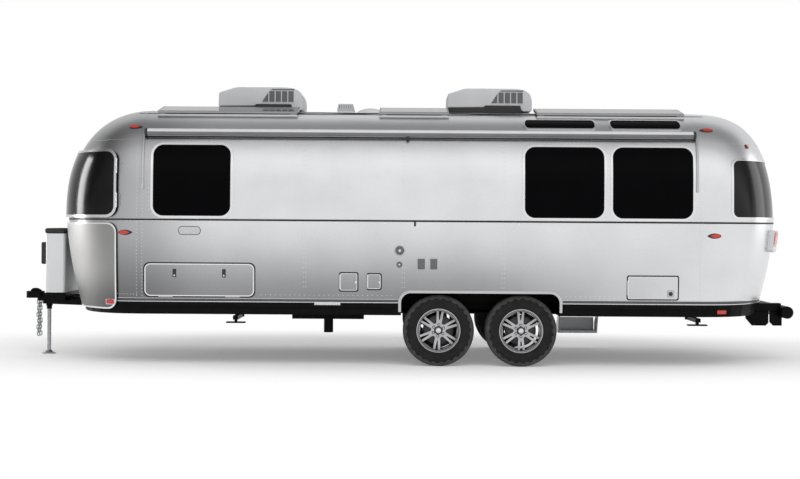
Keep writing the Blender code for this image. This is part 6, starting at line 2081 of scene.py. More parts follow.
@dataclass
class RoofGear:
    """Coolers, vent, dome and solar panels."""

    cooler_starts: tuple[float, float] = (-2.034, 0.475)
    cooler_length: float = 0.925
    cooler_half_width: float = 0.345
    cooler_height: float = 0.268

    def build(self) -> None:
        """Builds everything on the roof."""
        for label, start in zip(("front", "rear"), self.cooler_starts):
            self.cooler(label, start)
        self.vent()
        self.dome()
        self.panels()
        self.gutters()
        self.cable()

    def cooler(self, label: str, start: float) -> None:
        """Builds one cooler: shell, black base and the grilles of both sides.

        Args:
            label: front or rear.
            start: Its front end.
        """
        top, height, length, half = FORM.top + 0.0003, self.cooler_height, self.cooler_length, self.cooler_half_width
        shares = (
            (0.0, 0.205), (0.0, 0.30), (0.004, 0.74), (0.018, 0.785), (0.19, 0.975), (0.23, 0.995),
            (0.76, 0.995), (0.83, 0.985), (0.89, 0.95), (0.935, 0.89), (0.965, 0.81), (0.985, 0.70), (0.995, 0.57),
            (0.999, 0.40), (0.999, 0.12), (0.985, 0.07), (0.90, 0.07), (0.875, 0.12), (0.86, 0.30), (0.45, 0.30),
            (0.42, 0.235), (0.05, 0.215),
        )
        outline = [(start + a * length, -half, top + b * height) for a, b in shares]
        shell = BENCH.plate("cooler_shell_" + label, outline, (0, 2 * half, 0))
        BENCH.bevel(shell, 0.010, 3, 50)
        dress(BENCH.smooth(shell, 30), COOLER_PLASTIC, slot="white_plastic", stands_for=["cooler_" + label])
        low = BENCH.block("base", (start + 0.010, 0.006 - half, top), (start + 0.88 * length, half - 0.006, top + 0.066))
        tray = BENCH.block(
            "tray", (start + 0.44 * length, 0.004 - half, top + 0.03), (start + 0.865 * length, half - 0.004, top + 0.31 * height)
        )
        base = BENCH.join("cooler_base_" + label, [BENCH.bevel(low, 0.006, 2), BENCH.bevel(tray, 0.006, 2)])
        dress(BENCH.smooth(base), BLACK_PLASTIC)
        for side in Side:
            self.grille(label, start, side)

    def grille(self, label: str, start: float, side: Side) -> None:
        """Builds one side's grille: a slanted dark field with slats in three groups."""
        top, height, length = FORM.top + 0.0003, self.cooler_height, self.cooler_length
        face = side.value * self.cooler_half_width
        name = f"{label}_{side.name.lower()}"
        field = [(0.515, 0.385), (0.895, 0.385), (0.895, 0.93), (0.64, 0.93), (0.60, 0.85)]
        outline = [(start + a * length, face - 0.001 * side.value, top + b * height) for a, b in field]
        backing = BENCH.plate("cooler_grille_back_" + name, outline, (0, 0.003 * side.value, 0))
        dress(BENCH.bevel(backing, 0.0008, 1), GREY_PLASTIC)
        slats, bars = [], []
        for number in range(31):
            share = 0.520 + 0.0125 * number
            x = start + length * share
            reach = min(0.85, 0.40 + (share - 0.515) * 5.4)
            kind, wide = (bars, 0.0050) if number % 6 == 0 and number else (slats, 0.0020)
            low, high = top + 0.385 * height, top + reach * height
            if high - low > 0.01:
                kind.append(BENCH.block("slat", (x - wide, face - 0.004, low), (x + wide, face + 0.004, high)))
        for low, high, near in ((0.370, 0.392, 0.515), (0.840, 0.868, 0.60), (0.925, 0.945, 0.64)):
            bars.append(BENCH.block(
                "bar", (start + near * length, face - 0.0045, top + low * height),
                (start + 0.90 * length, face + 0.0045, top + high * height),
            ))
        dress(BENCH.join("cooler_slats_" + name, slats), GREY_PLASTIC)
        dress(BENCH.join("cooler_bars_" + name, bars), COOLER_PLASTIC)

    def vent(self) -> None:
        """Builds the roof vent's tapered lid on its collar."""
        top = FORM.top + 0.0003
        collar = BENCH.block("vent_collar", (-0.740, -0.155, top), (-0.556, 0.155, top + 0.034))
        dress(BENCH.smooth(BENCH.bevel(collar, 0.006, 2)), COOLER_PLASTIC, slot="white_plastic", stands_for=["roof_vent"])
        outline = [(-0.742, top + 0.034), (-0.742, top + 0.044), (-0.728, 2.800), (-0.568, 2.800), (-0.554, top + 0.044), (-0.554, top + 0.034)]
        lid = BENCH.plate("vent_lid", [(x, -0.16, z) for x, z in outline], (0, 0.32, 0))
        dress(BENCH.smooth(BENCH.bevel(lid, 0.007, 3), 30), COOLER_PLASTIC)
        ribs = [
            BENCH.bevel(BENCH.block("rib", (x - 0.003, -0.163, top + 0.050), (x + 0.003, 0.163, 2.792)), 0.001, 1)
            for x in np.linspace(-0.718, -0.578, 8)
        ]
        dress(BENCH.join("vent_ribs", ribs), GREY_PLASTIC)

    def dome(self) -> None:
        """Builds the low aerial dome."""
        top = FORM.top + 0.0003
        middle, half, rise = -0.375, 0.155, 2.762 - top
        profile = [(math.cos(a), math.sin(a)) for a in np.linspace(0, math.pi / 2, 14)]
        piece = BENCH.lathe("aerial_dome", [(r, z) for r, z in profile] + [(0, 0)], (0, 0, 0), (0, 0, 1), 64)
        scale = Matrix.Diagonal((half, 0.20, rise, 1))
        made = BENCH.copy(piece, "aerial_dome_shell", Matrix.Translation((middle, 0, top)) @ scale)
        bpy.data.objects.remove(piece, do_unlink=True)
        dress(BENCH.smooth(made, 30), WHITE_PLASTIC, slot="white_plastic", stands_for=["roof_dome"])

    def panels(self) -> None:
        """Builds the three solar panels with bright frames and feet."""
        spans = (("front", 0.018, 0.275), ("middle", 0.425, 0.553), ("rear", 0.714, 0.985))
        outer_y, inner_y, lift, thickness = 0.86, 0.45, 0.030, 0.022
        outer_z, inner_z = FORM.roof_height(outer_y) + lift, FORM.roof_height(inner_y) + lift
        length = FORM.seam[End.REAR] - FORM.seam[End.FRONT]
        for label, a, b in spans:
            left, right = FORM.seam[End.FRONT] + a * length, FORM.seam[End.FRONT] + b * length
            outline = [
                (left, -outer_y, outer_z - 0.002), (left, -inner_y, inner_z - 0.010),
                (left, -inner_y, inner_z + thickness), (left, -outer_y, outer_z + thickness),
            ]
            plate = BENCH.plate("solar_frame_" + label, outline, (right - left, 0, 0))
            dress(BENCH.bevel(plate, 0.0015, 1), PANEL_FRAME, slot="solar_glass", stands_for=["solar_panel_" + label])
            rim, rise = 0.018, thickness + 0.0008
            slope = (inner_z - outer_z) / (outer_y - inner_y)
            cells = [
                (left + rim, -outer_y + rim, outer_z + slope * rim + rise),
                (right - rim, -outer_y + rim, outer_z + slope * rim + rise),
                (right - rim, -inner_y - rim, inner_z - slope * rim + rise),
                (left + rim, -inner_y - rim, inner_z - slope * rim + rise),
            ]
            dress(BENCH.plate("solar_cells_" + label, cells, (0, 0, -0.002)), PANEL_FACE)
            feet = []
            for x in (left + 0.05, right - 0.05):
                for y, z in ((-outer_y + 0.03, outer_z), (-inner_y - 0.03, inner_z)):
                    foot = BENCH.block("foot", (x - 0.03, y - 0.02, z - lift - 0.012), (x + 0.03, y + 0.02, z + 0.004))
                    feet.append(BENCH.bevel(foot, 0.003, 2))
            dress(BENCH.smooth(BENCH.join("solar_feet_" + label, feet)), PANEL_FRAME)
            rail = BENCH.block("solar_rail_" + label, (left, 0.004 - outer_y, outer_z - 0.032), (right, 0.045 - outer_y, outer_z - 0.010))
            dress(BENCH.smooth(BENCH.bevel(rail, 0.003, 2)), SATIN_TRIM)

    def gutters(self) -> None:
        """Lays the dark joint between the roof and each shoulder."""
        profile = [(0.007, -0.001), (0.007, 0.003), (-0.007, 0.003), (-0.007, -0.001)]
        front, rear = FORM.seam[End.FRONT] - 0.10, FORM.seam[End.REAR] + 0.12
        for side in Side:
            path = [FORM.side_point(float(x), 2.636, side) for x in np.linspace(front, rear, 60)]
            outs = [FORM.normal(p) for p in path]
            joint = BENCH.sweep("roof_joint_" + side.name.lower(), path, outs, profile, loop=False)
            dress(BENCH.smooth(joint, 30), SHADOW_LINE)

    def cable(self) -> None:
        """Runs the panels' cable along the roof and through its small bracket."""
        y = -0.72
        z = FORM.roof_height(abs(y)) + 0.008
        points = [(x, y + 0.012 * math.sin(9 * x), z) for x in np.linspace(-1.13, -0.27, 40)]
        dress(BENCH.smooth(BENCH.tube("solar_cable_front", points, 0.006, 10), 60), BLACK_PLASTIC)
        points = [(x, y + 0.010 * math.sin(9 * x), z) for x in np.linspace(0.475, 1.40, 40)]
        dress(BENCH.smooth(BENCH.tube("solar_cable_rear", points, 0.006, 10), 60), BLACK_PLASTIC)


@dataclass
class Awnings:
    """The rolled awnings with their end arms and middle cradles."""

    left: float = -2.72 + 0.006 * 5.776
    right: float = -2.72 + 0.994 * 5.776
    height: float = 2.41
    radius: float = 0.040
    stand: float = 0.056
    arm_low: float = 1.84

    def build(self) -> None:
        """Builds both awnings."""
        for side, label in ((Side.STREET, "street"), (Side.CURB, "curb")):
            self.awning(side, label)

    def awning(self, side: Side, label: str) -> None:
        """Builds one awning: roll, end caps, a dark strip under the roll as painted shadow, a darker band over its
        lower front as painted shade, arms and cradle.

        Args:
            side: Which side.
            label: The side's name.
        """
        y = side.value * (float(FORM.across(self.height)) + self.stand)
        roll = BENCH.drum(
            "awning_roll_" + label, (self.left + 0.03, y, self.height), (self.right - 0.03, y, self.height),
            self.radius - 0.002, 48,
        )
        dress(BENCH.smooth(roll), VINYL, slot="awning", stands_for=["awning_" + label])
        caps = []
        for start, end in ((self.left, self.left + 0.03), (self.right - 0.03, self.right)):
            cap = BENCH.drum("cap", (start, y, self.height), (end, y, self.height), self.radius - 0.0005, 48)
            caps.append(BENCH.bevel(cap, 0.006, 3))
        dress(BENCH.smooth(BENCH.join("awning_caps_" + label, caps)), BLACK_PLASTIC)
        # painted shadow: a dark strip along the roll's foot
        low = self.height - self.radius
        strip = BENCH.block(
            "awning_shadow_strip_" + label, (self.left + 0.03, y - 0.004, low - 0.012), (self.right - 0.03, y + 0.004, low + 0.010)
        )
        dress(BENCH.smooth(BENCH.bevel(strip, 0.003, 2)), SHADOW_LINE)
        # painted shade: a darker band over the roll's lower front
        arc = [math.radians(a) for a in range(-62, 13, 5)]

        def place(column: int, row: int) -> Vector:
            reach = self.radius - 0.0008
            out, rise = reach * math.cos(arc[row]), reach * math.sin(arc[row])
            return Vector((self.left + 0.03 if column == 0 else self.right - 0.03, y + side.value * out, self.height + rise))

        band = BENCH.sheet("awning_shade_band_" + label, 2, len(arc), place)
        if band.data.polygons[0].normal.y * side.value < 0:
            BENCH.edit(band, lambda: bpy.ops.mesh.flip_normals())
        BENCH.modify(band, "SOLIDIFY", thickness=0.0025, offset=-1.0)
        dress(BENCH.smooth(band, 40), SHADED_VINYL)
        pieces = []
        for start in (self.left - 0.020, self.right - 0.006):
            middle = start + 0.012
            heights = np.linspace(self.arm_low, self.height - 0.02, 24)
            path = [FORM.side_point(middle, float(z), side) for z in heights]
            outs = [FORM.normal(p) for p in path]
            profile = [(0.012, 0.001), (0.012, 0.018), (0.008, 0.021), (-0.008, 0.021), (-0.012, 0.018), (-0.012, 0.001)]
            pieces.append(BENCH.sweep("arm", path, outs, profile, loop=False))
            foot = FORM.side_point(middle, self.arm_low, side)
            block = BENCH.block(
                "arm_foot", foot + Vector((-0.014, -0.011 + 0.011 * side.value, -0.02)),
                foot + Vector((0.014, 0.011 + 0.011 * side.value, 0.03)),
            )
            pieces.append(BENCH.bevel(block, 0.003, 2))
        dress(BENCH.smooth(BENCH.join("awning_arms_" + label, pieces), 30), SATIN_TRIM)
        middle = -2.72 + 0.475 * 5.776 + 0.014
        foot = FORM.side_point(middle, self.height - 0.055, side)
        cradle = BENCH.block(
            "awning_cradle_" + label, foot + Vector((-0.014, min(0, side.value * 0.05), -0.012)),
            foot + Vector((0.014, max(0, side.value * 0.05), 0.02)),
        )
        dress(BENCH.smooth(BENCH.bevel(cradle, 0.004, 2)), BLACK_PLASTIC)


@dataclass
class Hitch:
    """The coupler, jack, gas bottle housing and its lid."""

    jack_x: float = -3.955

    def build(self) -> None:
        """Builds the hitch."""
        self.coupler()
        self.jack()
        self.housing()

    def coupler(self) -> None:
        """Builds the ball coupler with its socket and latch, and its safety chains."""
        rear = -4.0106
        outline = rounded(-4.21, rear, -0.062, 0.062, 0.058, 14)
        body = BENCH.plate("coupler_body", [(x, y, 0.622) for x, y in outline], (0, 0, 0.075))
        foot = BENCH.block("foot", (-4.075, -0.058, 0.592), (rear, 0.058, 0.64))
        BENCH.combine(body, foot, "UNION")
        BENCH.combine(body, BENCH.drum("cutter", (-4.15, 0, 0.56), (-4.15, 0, 0.667), 0.0315, 40), "DIFFERENCE")
        BENCH.bevel(body, 0.008, 3, 50)
        dress(BENCH.smooth(body, 30), BLACK_STEEL, slot="black_steel", stands_for=["coupler"])
        lever = BENCH.plate(
            "coupler_lever", [(x, -0.016, z) for x, z in (
                (-4.165, 0.697), (-4.158, 0.716), (-4.135, 0.731), (-4.095, 0.733), (-4.065, 0.722), (-4.035, 0.700),
                (-4.06, 0.697),
            )], (0, 0.032, 0),
        )
        dress(BENCH.smooth(BENCH.bevel(lever, 0.005, 3)), BLACK_STEEL)
        for side in Side:
            self.chain(side)

    def chain(self, side: Side) -> None:
        """Hangs one safety chain below the coupler: links in turn across each other."""
        x, y, high, low = -4.065, side.value * 0.045, 0.606, 0.200
        half, wide, wire, count = 0.0260, 0.0150, 0.0062, 11
        outline = rounded(-wide, wide, -half, half, wide, 5)
        ring = [(wire * math.cos(a), wire * math.sin(a)) for a in np.linspace(0, 2 * math.pi, 8, endpoint=False)]
        path = [Vector((a, 0, b)) for a, b in outline]
        link = BENCH.sweep("link", path, [Vector((0, -1, 0))] * len(path), ring)
        step = (high - low - 2 * half) / (count - 1)
        links = []
        for number in range(count):
            turn = Matrix.Rotation(math.pi / 2 * (number % 2) + 0.12 * math.sin(5.0 * number + side.value), 4, "Z")
            spot = Vector((x + 0.004 * math.sin(1.3 * number), y, high - half - step * number))
            links.append(BENCH.copy(link, "link", Matrix.Translation(spot) @ turn))
        bpy.data.objects.remove(link, do_unlink=True)
        dress(BENCH.smooth(BENCH.join("safety_chain_" + side.name.lower(), links), 60), GALVANISED)

    def jack(self) -> None:
        """Builds the jack's tube, head, collar, leg and foot."""
        x = self.jack_x
        tube = BENCH.drum("jack_outer_tube", (x, 0, 0.50), (x, 0, 1.04), 0.029, 40)
        tool = BENCH.drum("cutter", (x, 0, 0.44), (x, 0, 0.955), 0.0223, 40)
        BENCH.combine(tube, tool, "DIFFERENCE")
        dress(BENCH.smooth(tube), BLACK_STEEL, slot="grey_steel", stands_for=["jack_tube"])
        head = BENCH.block("jack_head", (x - 0.085, -0.050, 1.00), (x + 0.028, 0.050, 1.245))
        dress(BENCH.smooth(BENCH.bevel(head, 0.016, 4), 30), BLACK_PLASTIC)
        collar = BENCH.lathe(
            "jack_collar", [(0.0295, 0), (0.036, 0), (0.036, 0.05), (0.032, 0.055), (0.0295, 0.055)],
            (x, 0, 0.535), (0, 0, 1), 40,
        )
        dress(BENCH.smooth(collar, 30), BLACK_STEEL)
        leg = BENCH.drum("jack_inner_leg", (x, 0, 0.02), (x, 0, 0.65), 0.0217, 40)
        dress(BENCH.smooth(leg), GALVANISED, "jack", "grey_steel", ["jack_leg"])
        foot = BENCH.lathe(
            "jack_foot", [(0, 0), (0.075, 0), (0.075, 0.012), (0.050, 0.016), (0.030, 0.040), (0, 0.040)],
            (x, 0, 0), (0, 0, 1), 48,
        )
        dress(BENCH.smooth(foot, 30), GALVANISED, "jack")

    def housing(self) -> None:
        """Builds the gas bottle housing and its black lid."""
        front, rear, half, low, high = -3.918, -3.700, 0.355, 0.6984, 1.345
        outer = [(x, y, low) for x, y in rounded(front, rear, -half, half, 0.035, 10)]
        body = BENCH.plate("gas_housing_body", outer, (0, 0, high - low - 0.0003))
        inner = [(x, y, low + 0.012) for x, y in rounded(front + 0.012, rear - 0.012, 0.012 - half, half - 0.012, 0.025, 10)]
        BENCH.combine(body, BENCH.plate("cutter", inner, (0, 0, 1.0)), "DIFFERENCE")
        BENCH.bevel(body, 0.003, 2, 50)
        dress(BENCH.smooth(body, 30), WHITE_PAINT, slot="white_paint", stands_for=["gas_housing"])
        low_corner, high_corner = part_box("gas_lid")
        outline = [
            (x, y, high + 0.0003)
            for x, y in rounded(low_corner.x + 0.006, high_corner.x, low_corner.y, high_corner.y, 0.035, 10)
        ]
        lid = BENCH.plate("gas_lid_cover", outline, (0, 0, high_corner.z - high - 0.0003))
        BENCH.bevel(lid, 0.022, 4, 60)
        dress(BENCH.smooth(lid, 30), BLACK_PLASTIC, "gas_cover", "black_plastic", ["gas_lid"])


@dataclass
class Underside:
    """What hangs below the body: skirt, bumper and the CAD nodes that stay."""

    kept = {
        "chassis_frame": "black_steel", "axle_front": "black_steel", "axle_rear": "black_steel",
        "belly_pan": "black_steel", "stabiliser_street_front": "black_steel",
        "stabiliser_street_rear": "black_steel", "stabiliser_curb_front": "black_steel",
        "stabiliser_curb_rear": "black_steel", "entry_step": "grey_steel", "floor_deck": "deck",
    }

    def build(self) -> None:
        """Dresses the kept nodes and builds the skirt and the bumper."""
        finishes = {"black_steel": BLACK_STEEL, "grey_steel": GALVANISED, "deck": DECK}
        for node, slot in self.kept.items():
            piece = frame["nodes"][node]
            piece.data.materials.clear()
            piece.data.materials.append(finishes[slot].material())
        self.bumper()
        self.step_panel()
        self.skirt_lines()

    def step_panel(self) -> None:
        """Fills the folded step's frame with its tread plate."""
        low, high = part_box("entry_step")
        plate = BENCH.block(
            "step_plate", (low.x + 0.022, high.y - 0.030, low.z + 0.004), (high.x - 0.022, high.y - 0.022, low.z + 0.180)
        )
        BENCH.edit(plate, lambda: bpy.ops.mesh.subdivide(number_cuts=6))
        dress(BENCH.bevel(plate, 0.002, 2), WHITE_PAINT, "step")

    def skirt_lines(self) -> None:
        """Runs the folded edge along the skirt's foot on both sides."""
        pan = frame["nodes"]["belly_pan"]
        for side in Side:
            for label, left, right in (("front", -2.70, -0.10), ("rear", 1.75, 3.05)):
                points = []
                for x in np.linspace(left, right, 25):
                    hit, spot, _, _ = pan.ray_cast((float(x), side.value * 2, 0.60), (0, -side.value, 0))
                    if hit:
                        points.append(Vector((x, spot.y + side.value * 0.001, 0.600)))
                strip = [(0.006, -0.001), (0.004, 0.004), (-0.004, 0.004), (-0.006, -0.001)]
                outs = [Vector((0, side.value, 0))] * len(points)
                fold = BENCH.sweep(f"skirt_fold_{side.name.lower()}_{label}", points, outs, strip, loop=False)
                dress(BENCH.smooth(fold, 30), BLACK_STEEL)

    def bumper(self) -> None:
        """Builds the rear bumper's tube, arms and hanging plates."""
        x, z, half = 4.140, 0.545, 0.62
        tube = BENCH.drum("bumper_tube", (x, -half, z), (x, half, z), 0.0665, 48)
        BENCH.bevel(tube, 0.008, 3, 60)
        dress(BENCH.smooth(tube), BLACK_STEEL, slot="black_steel", stands_for=["rear_bumper"])
        pieces = []
        for side in Side:
            near, far = sorted((side.value * 0.45, side.value * 0.55))
            arm = BENCH.block("arm", (3.7203, near, 0.562), (4.09, far, 0.642))
            pieces.append(BENCH.bevel(arm, 0.006, 2))
            near, far = sorted((side.value * 0.47, side.value * 0.486))
            foot = 0.395 if side == Side.STREET else 0.47
            for name, outline in (
                ("front", [(3.72, 0.60), (3.97, 0.60), (3.97, foot + 0.03), (3.94, foot), (3.79, foot), (3.72, foot + 0.08)]),
                ("rear", [(3.98, 0.60), (4.09, 0.60), (4.115, 0.50), (4.115, foot), (4.02, foot), (3.98, foot + 0.04)]),
            ):
                plate = BENCH.plate("plate_" + name, [(x, near, z) for x, z in outline], (0, far - near, 0))
                pieces.append(BENCH.bevel(plate, 0.003, 2))
        dress(BENCH.smooth(BENCH.join("bumper_arms", pieces)), BLACK_STEEL)


@dataclass
class Lamps:
    """The red marker lamps, the tail lamps and the reflectors, most on a base of their own."""

    markers = (
        ("front_lower", -2.870, 1.370, 0.074, 0.028, 1), ("front_upper", -2.800, 2.470, 0.072, 0.028, 1),
        ("rear_lower", 3.205, 1.370, 0.074, 0.028, -1), ("rear_upper", 3.150, 2.470, 0.072, 0.028, -1),
    )
    tail_y: float = 0.6775
    tail_z: float = 1.315
    tail_half: Flat = (0.1225, 0.115)

    def build(self) -> None:
        """Builds every lamp of both sides."""
        for side in Side:
            for name, x, z, half, rise, way in self.markers:
                self.marker(f"{name}_{side.name.lower()}", x, z, half, rise, way, side)
            self.tail(side)
            self.high_lamp(side)
            self.guard_lamp(side)
            self.reflector(side)

    def teardrop(self, half: float, rise: float, way: int, trim: float) -> list[Flat]:
        """Gives a drop's outline, round at one end and drawn out at the other.

        Args:
            half: Half its length.
            rise: Half its height.
            way: Sign of X that the tail points to.
            trim: Cut back all round.

        Returns:
            The outline's points.
        """
        points = []
        for angle in np.linspace(0, 2 * math.pi, 40, endpoint=False):
            along = math.cos(angle)
            swell = 1.0 if along < 0 else 1 - 0.45 * along**1.5
            points.append((way * (half - trim) * along, (rise - trim) * math.sin(angle) * swell))
        return points

    def slab(self, name: str, outline: Sequence[Flat], low: float, high: float) -> bpy.types.Object:
        """Makes a slab at the origin, facing -Y, from one distance off the skin to another."""
        return BENCH.plate(name, [(a, -low, b) for a, b in outline], (0, low - high, 0))

    def marker(self, name: str, x: float, z: float, half: float, rise: float, way: int, side: Side) -> None:
        """Builds one marker lamp: a dark base and a domed red lens."""
        way = way if side == Side.STREET else -way
        base = self.slab("marker_base_" + name, self.teardrop(half, rise, way, 0.0), -0.012, 0.0055)
        base = BENCH.smooth(BENCH.bevel(base, 0.0022, 2), 30)
        dress(SKIN.set_on(base, x, z, side), BLACK_PLASTIC)
        drop = [(a * 0.80 - way * 0.16 * half, b) for a, b in self.teardrop(half, rise, way, 0.006)]
        lens = self.slab("marker_lens_" + name, drop, 0.004, 0.0125)
        lens = BENCH.smooth(BENCH.bevel(lens, 0.0042, 3), 50)
        dress(SKIN.set_on(lens, x, z, side), RED_LENS)

    def tail(self, side: Side) -> None:
        """Builds one tail lamp on the rear end: base, red field and clear field."""
        y = side.value * self.tail_y
        rear = bpy.data.objects["rear_cap"]
        _, spot, _, _ = rear.ray_cast((6.0, y, self.tail_z), (-1, 0, 0))
        out = FORM.normal(spot)
        wide, high = self.tail_half
        name = side.name.lower()
        for part, finish, area, near, far, corner in (
            ("base", WHITE_PLASTIC, (-wide, wide, -high, high), -0.02, 0.050, 0.040),
            ("red", RED_LENS, (-wide + 0.014, wide - 0.014, -high + 0.080, high - 0.014), 0.045, 0.057, 0.030),
            ("clear", STAINLESS, (-wide + 0.014, wide - 0.014, -high + 0.014, -high + 0.072), 0.045, 0.055, 0.024),
        ):
            piece = self.slab(f"tail_lamp_{part}_{name}", rounded(*area, corner, 8), near, far)
            piece = BENCH.smooth(BENCH.bevel(piece, 0.005, 3, 50), 40)
            dress(SKIN.set_at(piece, spot, out), finish)

    def high_lamp(self, side: Side) -> None:
        """Builds the small lamp high on the rear corner."""
        base = self.slab("high_lamp_base_" + side.name.lower(), rounded(-0.024, 0.024, -0.022, 0.022, 0.008, 5), -0.006, 0.008)
        dress(SKIN.set_on(BENCH.smooth(BENCH.bevel(base, 0.003, 2)), 3.60, 2.31, side), BLACK_PLASTIC)
        lens = self.slab("high_lamp_lens_" + side.name.lower(), rounded(-0.018, 0.018, -0.016, 0.016, 0.006, 5), 0.007, 0.014)
        dress(SKIN.set_on(BENCH.smooth(BENCH.bevel(lens, 0.003, 2)), 3.60, 2.31, side), RED_LENS)

    def guard_lamp(self, side: Side) -> None:
        """Builds the red reflector low on the stone guard."""
        x, z, stand = -3.02, 0.655, 0.0245
        spot = FORM.side_point(x, z, side, stand)
        name = side.name.lower()
        base = self.slab("guard_reflector_base_" + name, rounded(-0.058, 0.058, -0.030, 0.030, 0.014, 8), -0.002, 0.006)
        dress(SKIN.set_at(BENCH.smooth(BENCH.bevel(base, 0.002, 2)), spot, FORM.normal(spot)), TRIM)
        lens = self.slab("guard_reflector_" + name, rounded(-0.050, 0.050, -0.024, 0.024, 0.012, 8), 0.005, 0.011)
        dress(SKIN.set_at(BENCH.smooth(BENCH.bevel(lens, 0.003, 2)), spot, FORM.normal(spot)), RED_LENS)

    def reflector(self, side: Side) -> None:
        """Builds the reflector on the skirt behind the wheels."""
        pan = frame["nodes"]["belly_pan"]
        _, spot, out, _ = pan.ray_cast((3.30, side.value * 2, 0.580), (0, -side.value, 0))
        lens = self.slab("skirt_reflector_" + side.name.lower(), rounded(-0.055, 0.055, -0.020, 0.020, 0.008, 6), -0.001, 0.007)
        lens = BENCH.smooth(BENCH.bevel(lens, 0.003, 2))
        dress(SKIN.set_at(lens, spot, Vector((out.x, out.y, 0)).normalized()), RED_LENS)


@dataclass
class Fittings:
    """Inlets, sockets, badge plate, hook and label of the street side, all left blank."""

    side: Side = Side.STREET

    def build(self) -> None:
        """Builds every fitting."""
        for name, x, z, radius in (("water_inlet", -0.038, 1.201, 0.060), ("filler_cap", -0.042, 1.056, 0.040)):
            self.round_inlet(name, x, z, radius)
        for name, left, right in (("socket_front", 0.139, 0.230), ("socket_rear", 0.269, 0.357)):
            self.socket(name, (left + right) / 2, 1.066, (right - left) / 2, 0.064)
        self.plaque("badge_plate", -2.208, 1.393, 0.117, 0.046, 0.045, SHADOW_LINE, 0.004)
        self.plaque("badge_face", -2.208, 1.393, 0.111, 0.040, 0.039, COOLER_PLASTIC, 0.0062)
        self.plaque("sill_label", -0.783, 0.650, 0.134, 0.016, 0.003, WHITE_PLASTIC, 0.016)
        self.plaque("wall_hook", 0.117, 1.475, 0.010, 0.024, 0.006, BLACK_PLASTIC, 0.014)
        for x in (-0.700, -0.190, 0.420, 1.190):
            self.plaque(f"side_clip_{round(1000 * (x + 1))}", x, 1.480, 0.012, 0.009, 0.003, TRIM, 0.010)

    def plaque(
        self, name: str, x: float, z: float, half: float, rise: float, corner: float, finish: Finish,
        stand: float,
    ) -> None:
        """Sets a flat plate on the skin.

        Args:
            name: The piece's name.
            x: Its place along the body.
            z: Its height.
            half: Half its length.
            rise: Half its height.
            corner: Its corners' radius.
            finish: Its finish.
            stand: How far it stands off the skin.
        """
        outline = rounded(-half, half, -rise, rise, corner, 10)
        piece = BENCH.plate(name, [(a, 0.001, b) for a, b in outline], (0, -0.001 - stand, 0))
        piece = BENCH.smooth(BENCH.bevel(piece, min(0.0015, stand * 0.4), 2), 30)
        dress(SKIN.set_on(piece, x, z, self.side), finish)

    def round_inlet(self, name: str, x: float, z: float, radius: float) -> None:
        """Sets a round inlet: flange, lid and key."""
        rim = [(0, -0.001), (radius, -0.001), (radius, 0.004), (radius - 0.006, 0.008), (radius * 0.80, 0.008), (radius * 0.78, 0.004), (0, 0.004)]
        flange = BENCH.smooth(BENCH.lathe(name + "_flange", rim, (0, 0, 0), (0, -1, 0), 40), 30)
        dress(SKIN.set_on(flange, x, z, self.side), COOLER_PLASTIC)
        lid = [(0, 0.003), (radius * 0.74, 0.003), (radius * 0.74, 0.009), (radius * 0.66, 0.012), (0, 0.012)]
        cover = BENCH.smooth(BENCH.lathe(name + "_lid", lid, (0, 0, 0), (0, -1, 0), 40), 30)
        dress(SKIN.set_on(cover, x, z, self.side), GREY_PLASTIC)
        key = [(0, 0.011), (radius * 0.22, 0.011), (radius * 0.22, 0.0145), (0, 0.0145)]
        barrel = BENCH.smooth(BENCH.lathe(name + "_key", key, (0, 0, 0), (0, -1, 0), 24), 30)
        dress(SKIN.set_on(barrel, x, z, self.side), STAINLESS)

    def socket(self, name: str, x: float, z: float, half: float, rise: float) -> None:
        """Sets a square socket: flange, hinged flap and its pin."""
        flange = BENCH.plate(name + "_flange", [(a, 0.001, b) for a, b in rounded(-half, half, -rise, rise, 0.008, 6)], (0, -0.006, 0))
        dress(SKIN.set_on(BENCH.smooth(BENCH.bevel(flange, 0.002, 2)), x, z, self.side), COOLER_PLASTIC)
        flap = BENCH.plate(
            name + "_flap", [(a, -0.004, b) for a, b in rounded(0.008 - half, half - 0.008, 0.008 - rise, rise - 0.014, 0.006, 6)],
            (0, -0.0075, 0),
        )
        dress(SKIN.set_on(BENCH.smooth(BENCH.bevel(flap, 0.0025, 2)), x, z, self.side), GREY_PLASTIC)
        pin = BENCH.drum(name + "_pin", (0.010 - half, -0.008, rise - 0.010), (half - 0.010, -0.008, rise - 0.010), 0.0035, 12)
        dress(SKIN.set_on(BENCH.smooth(pin), x, z, self.side), STAINLESS)


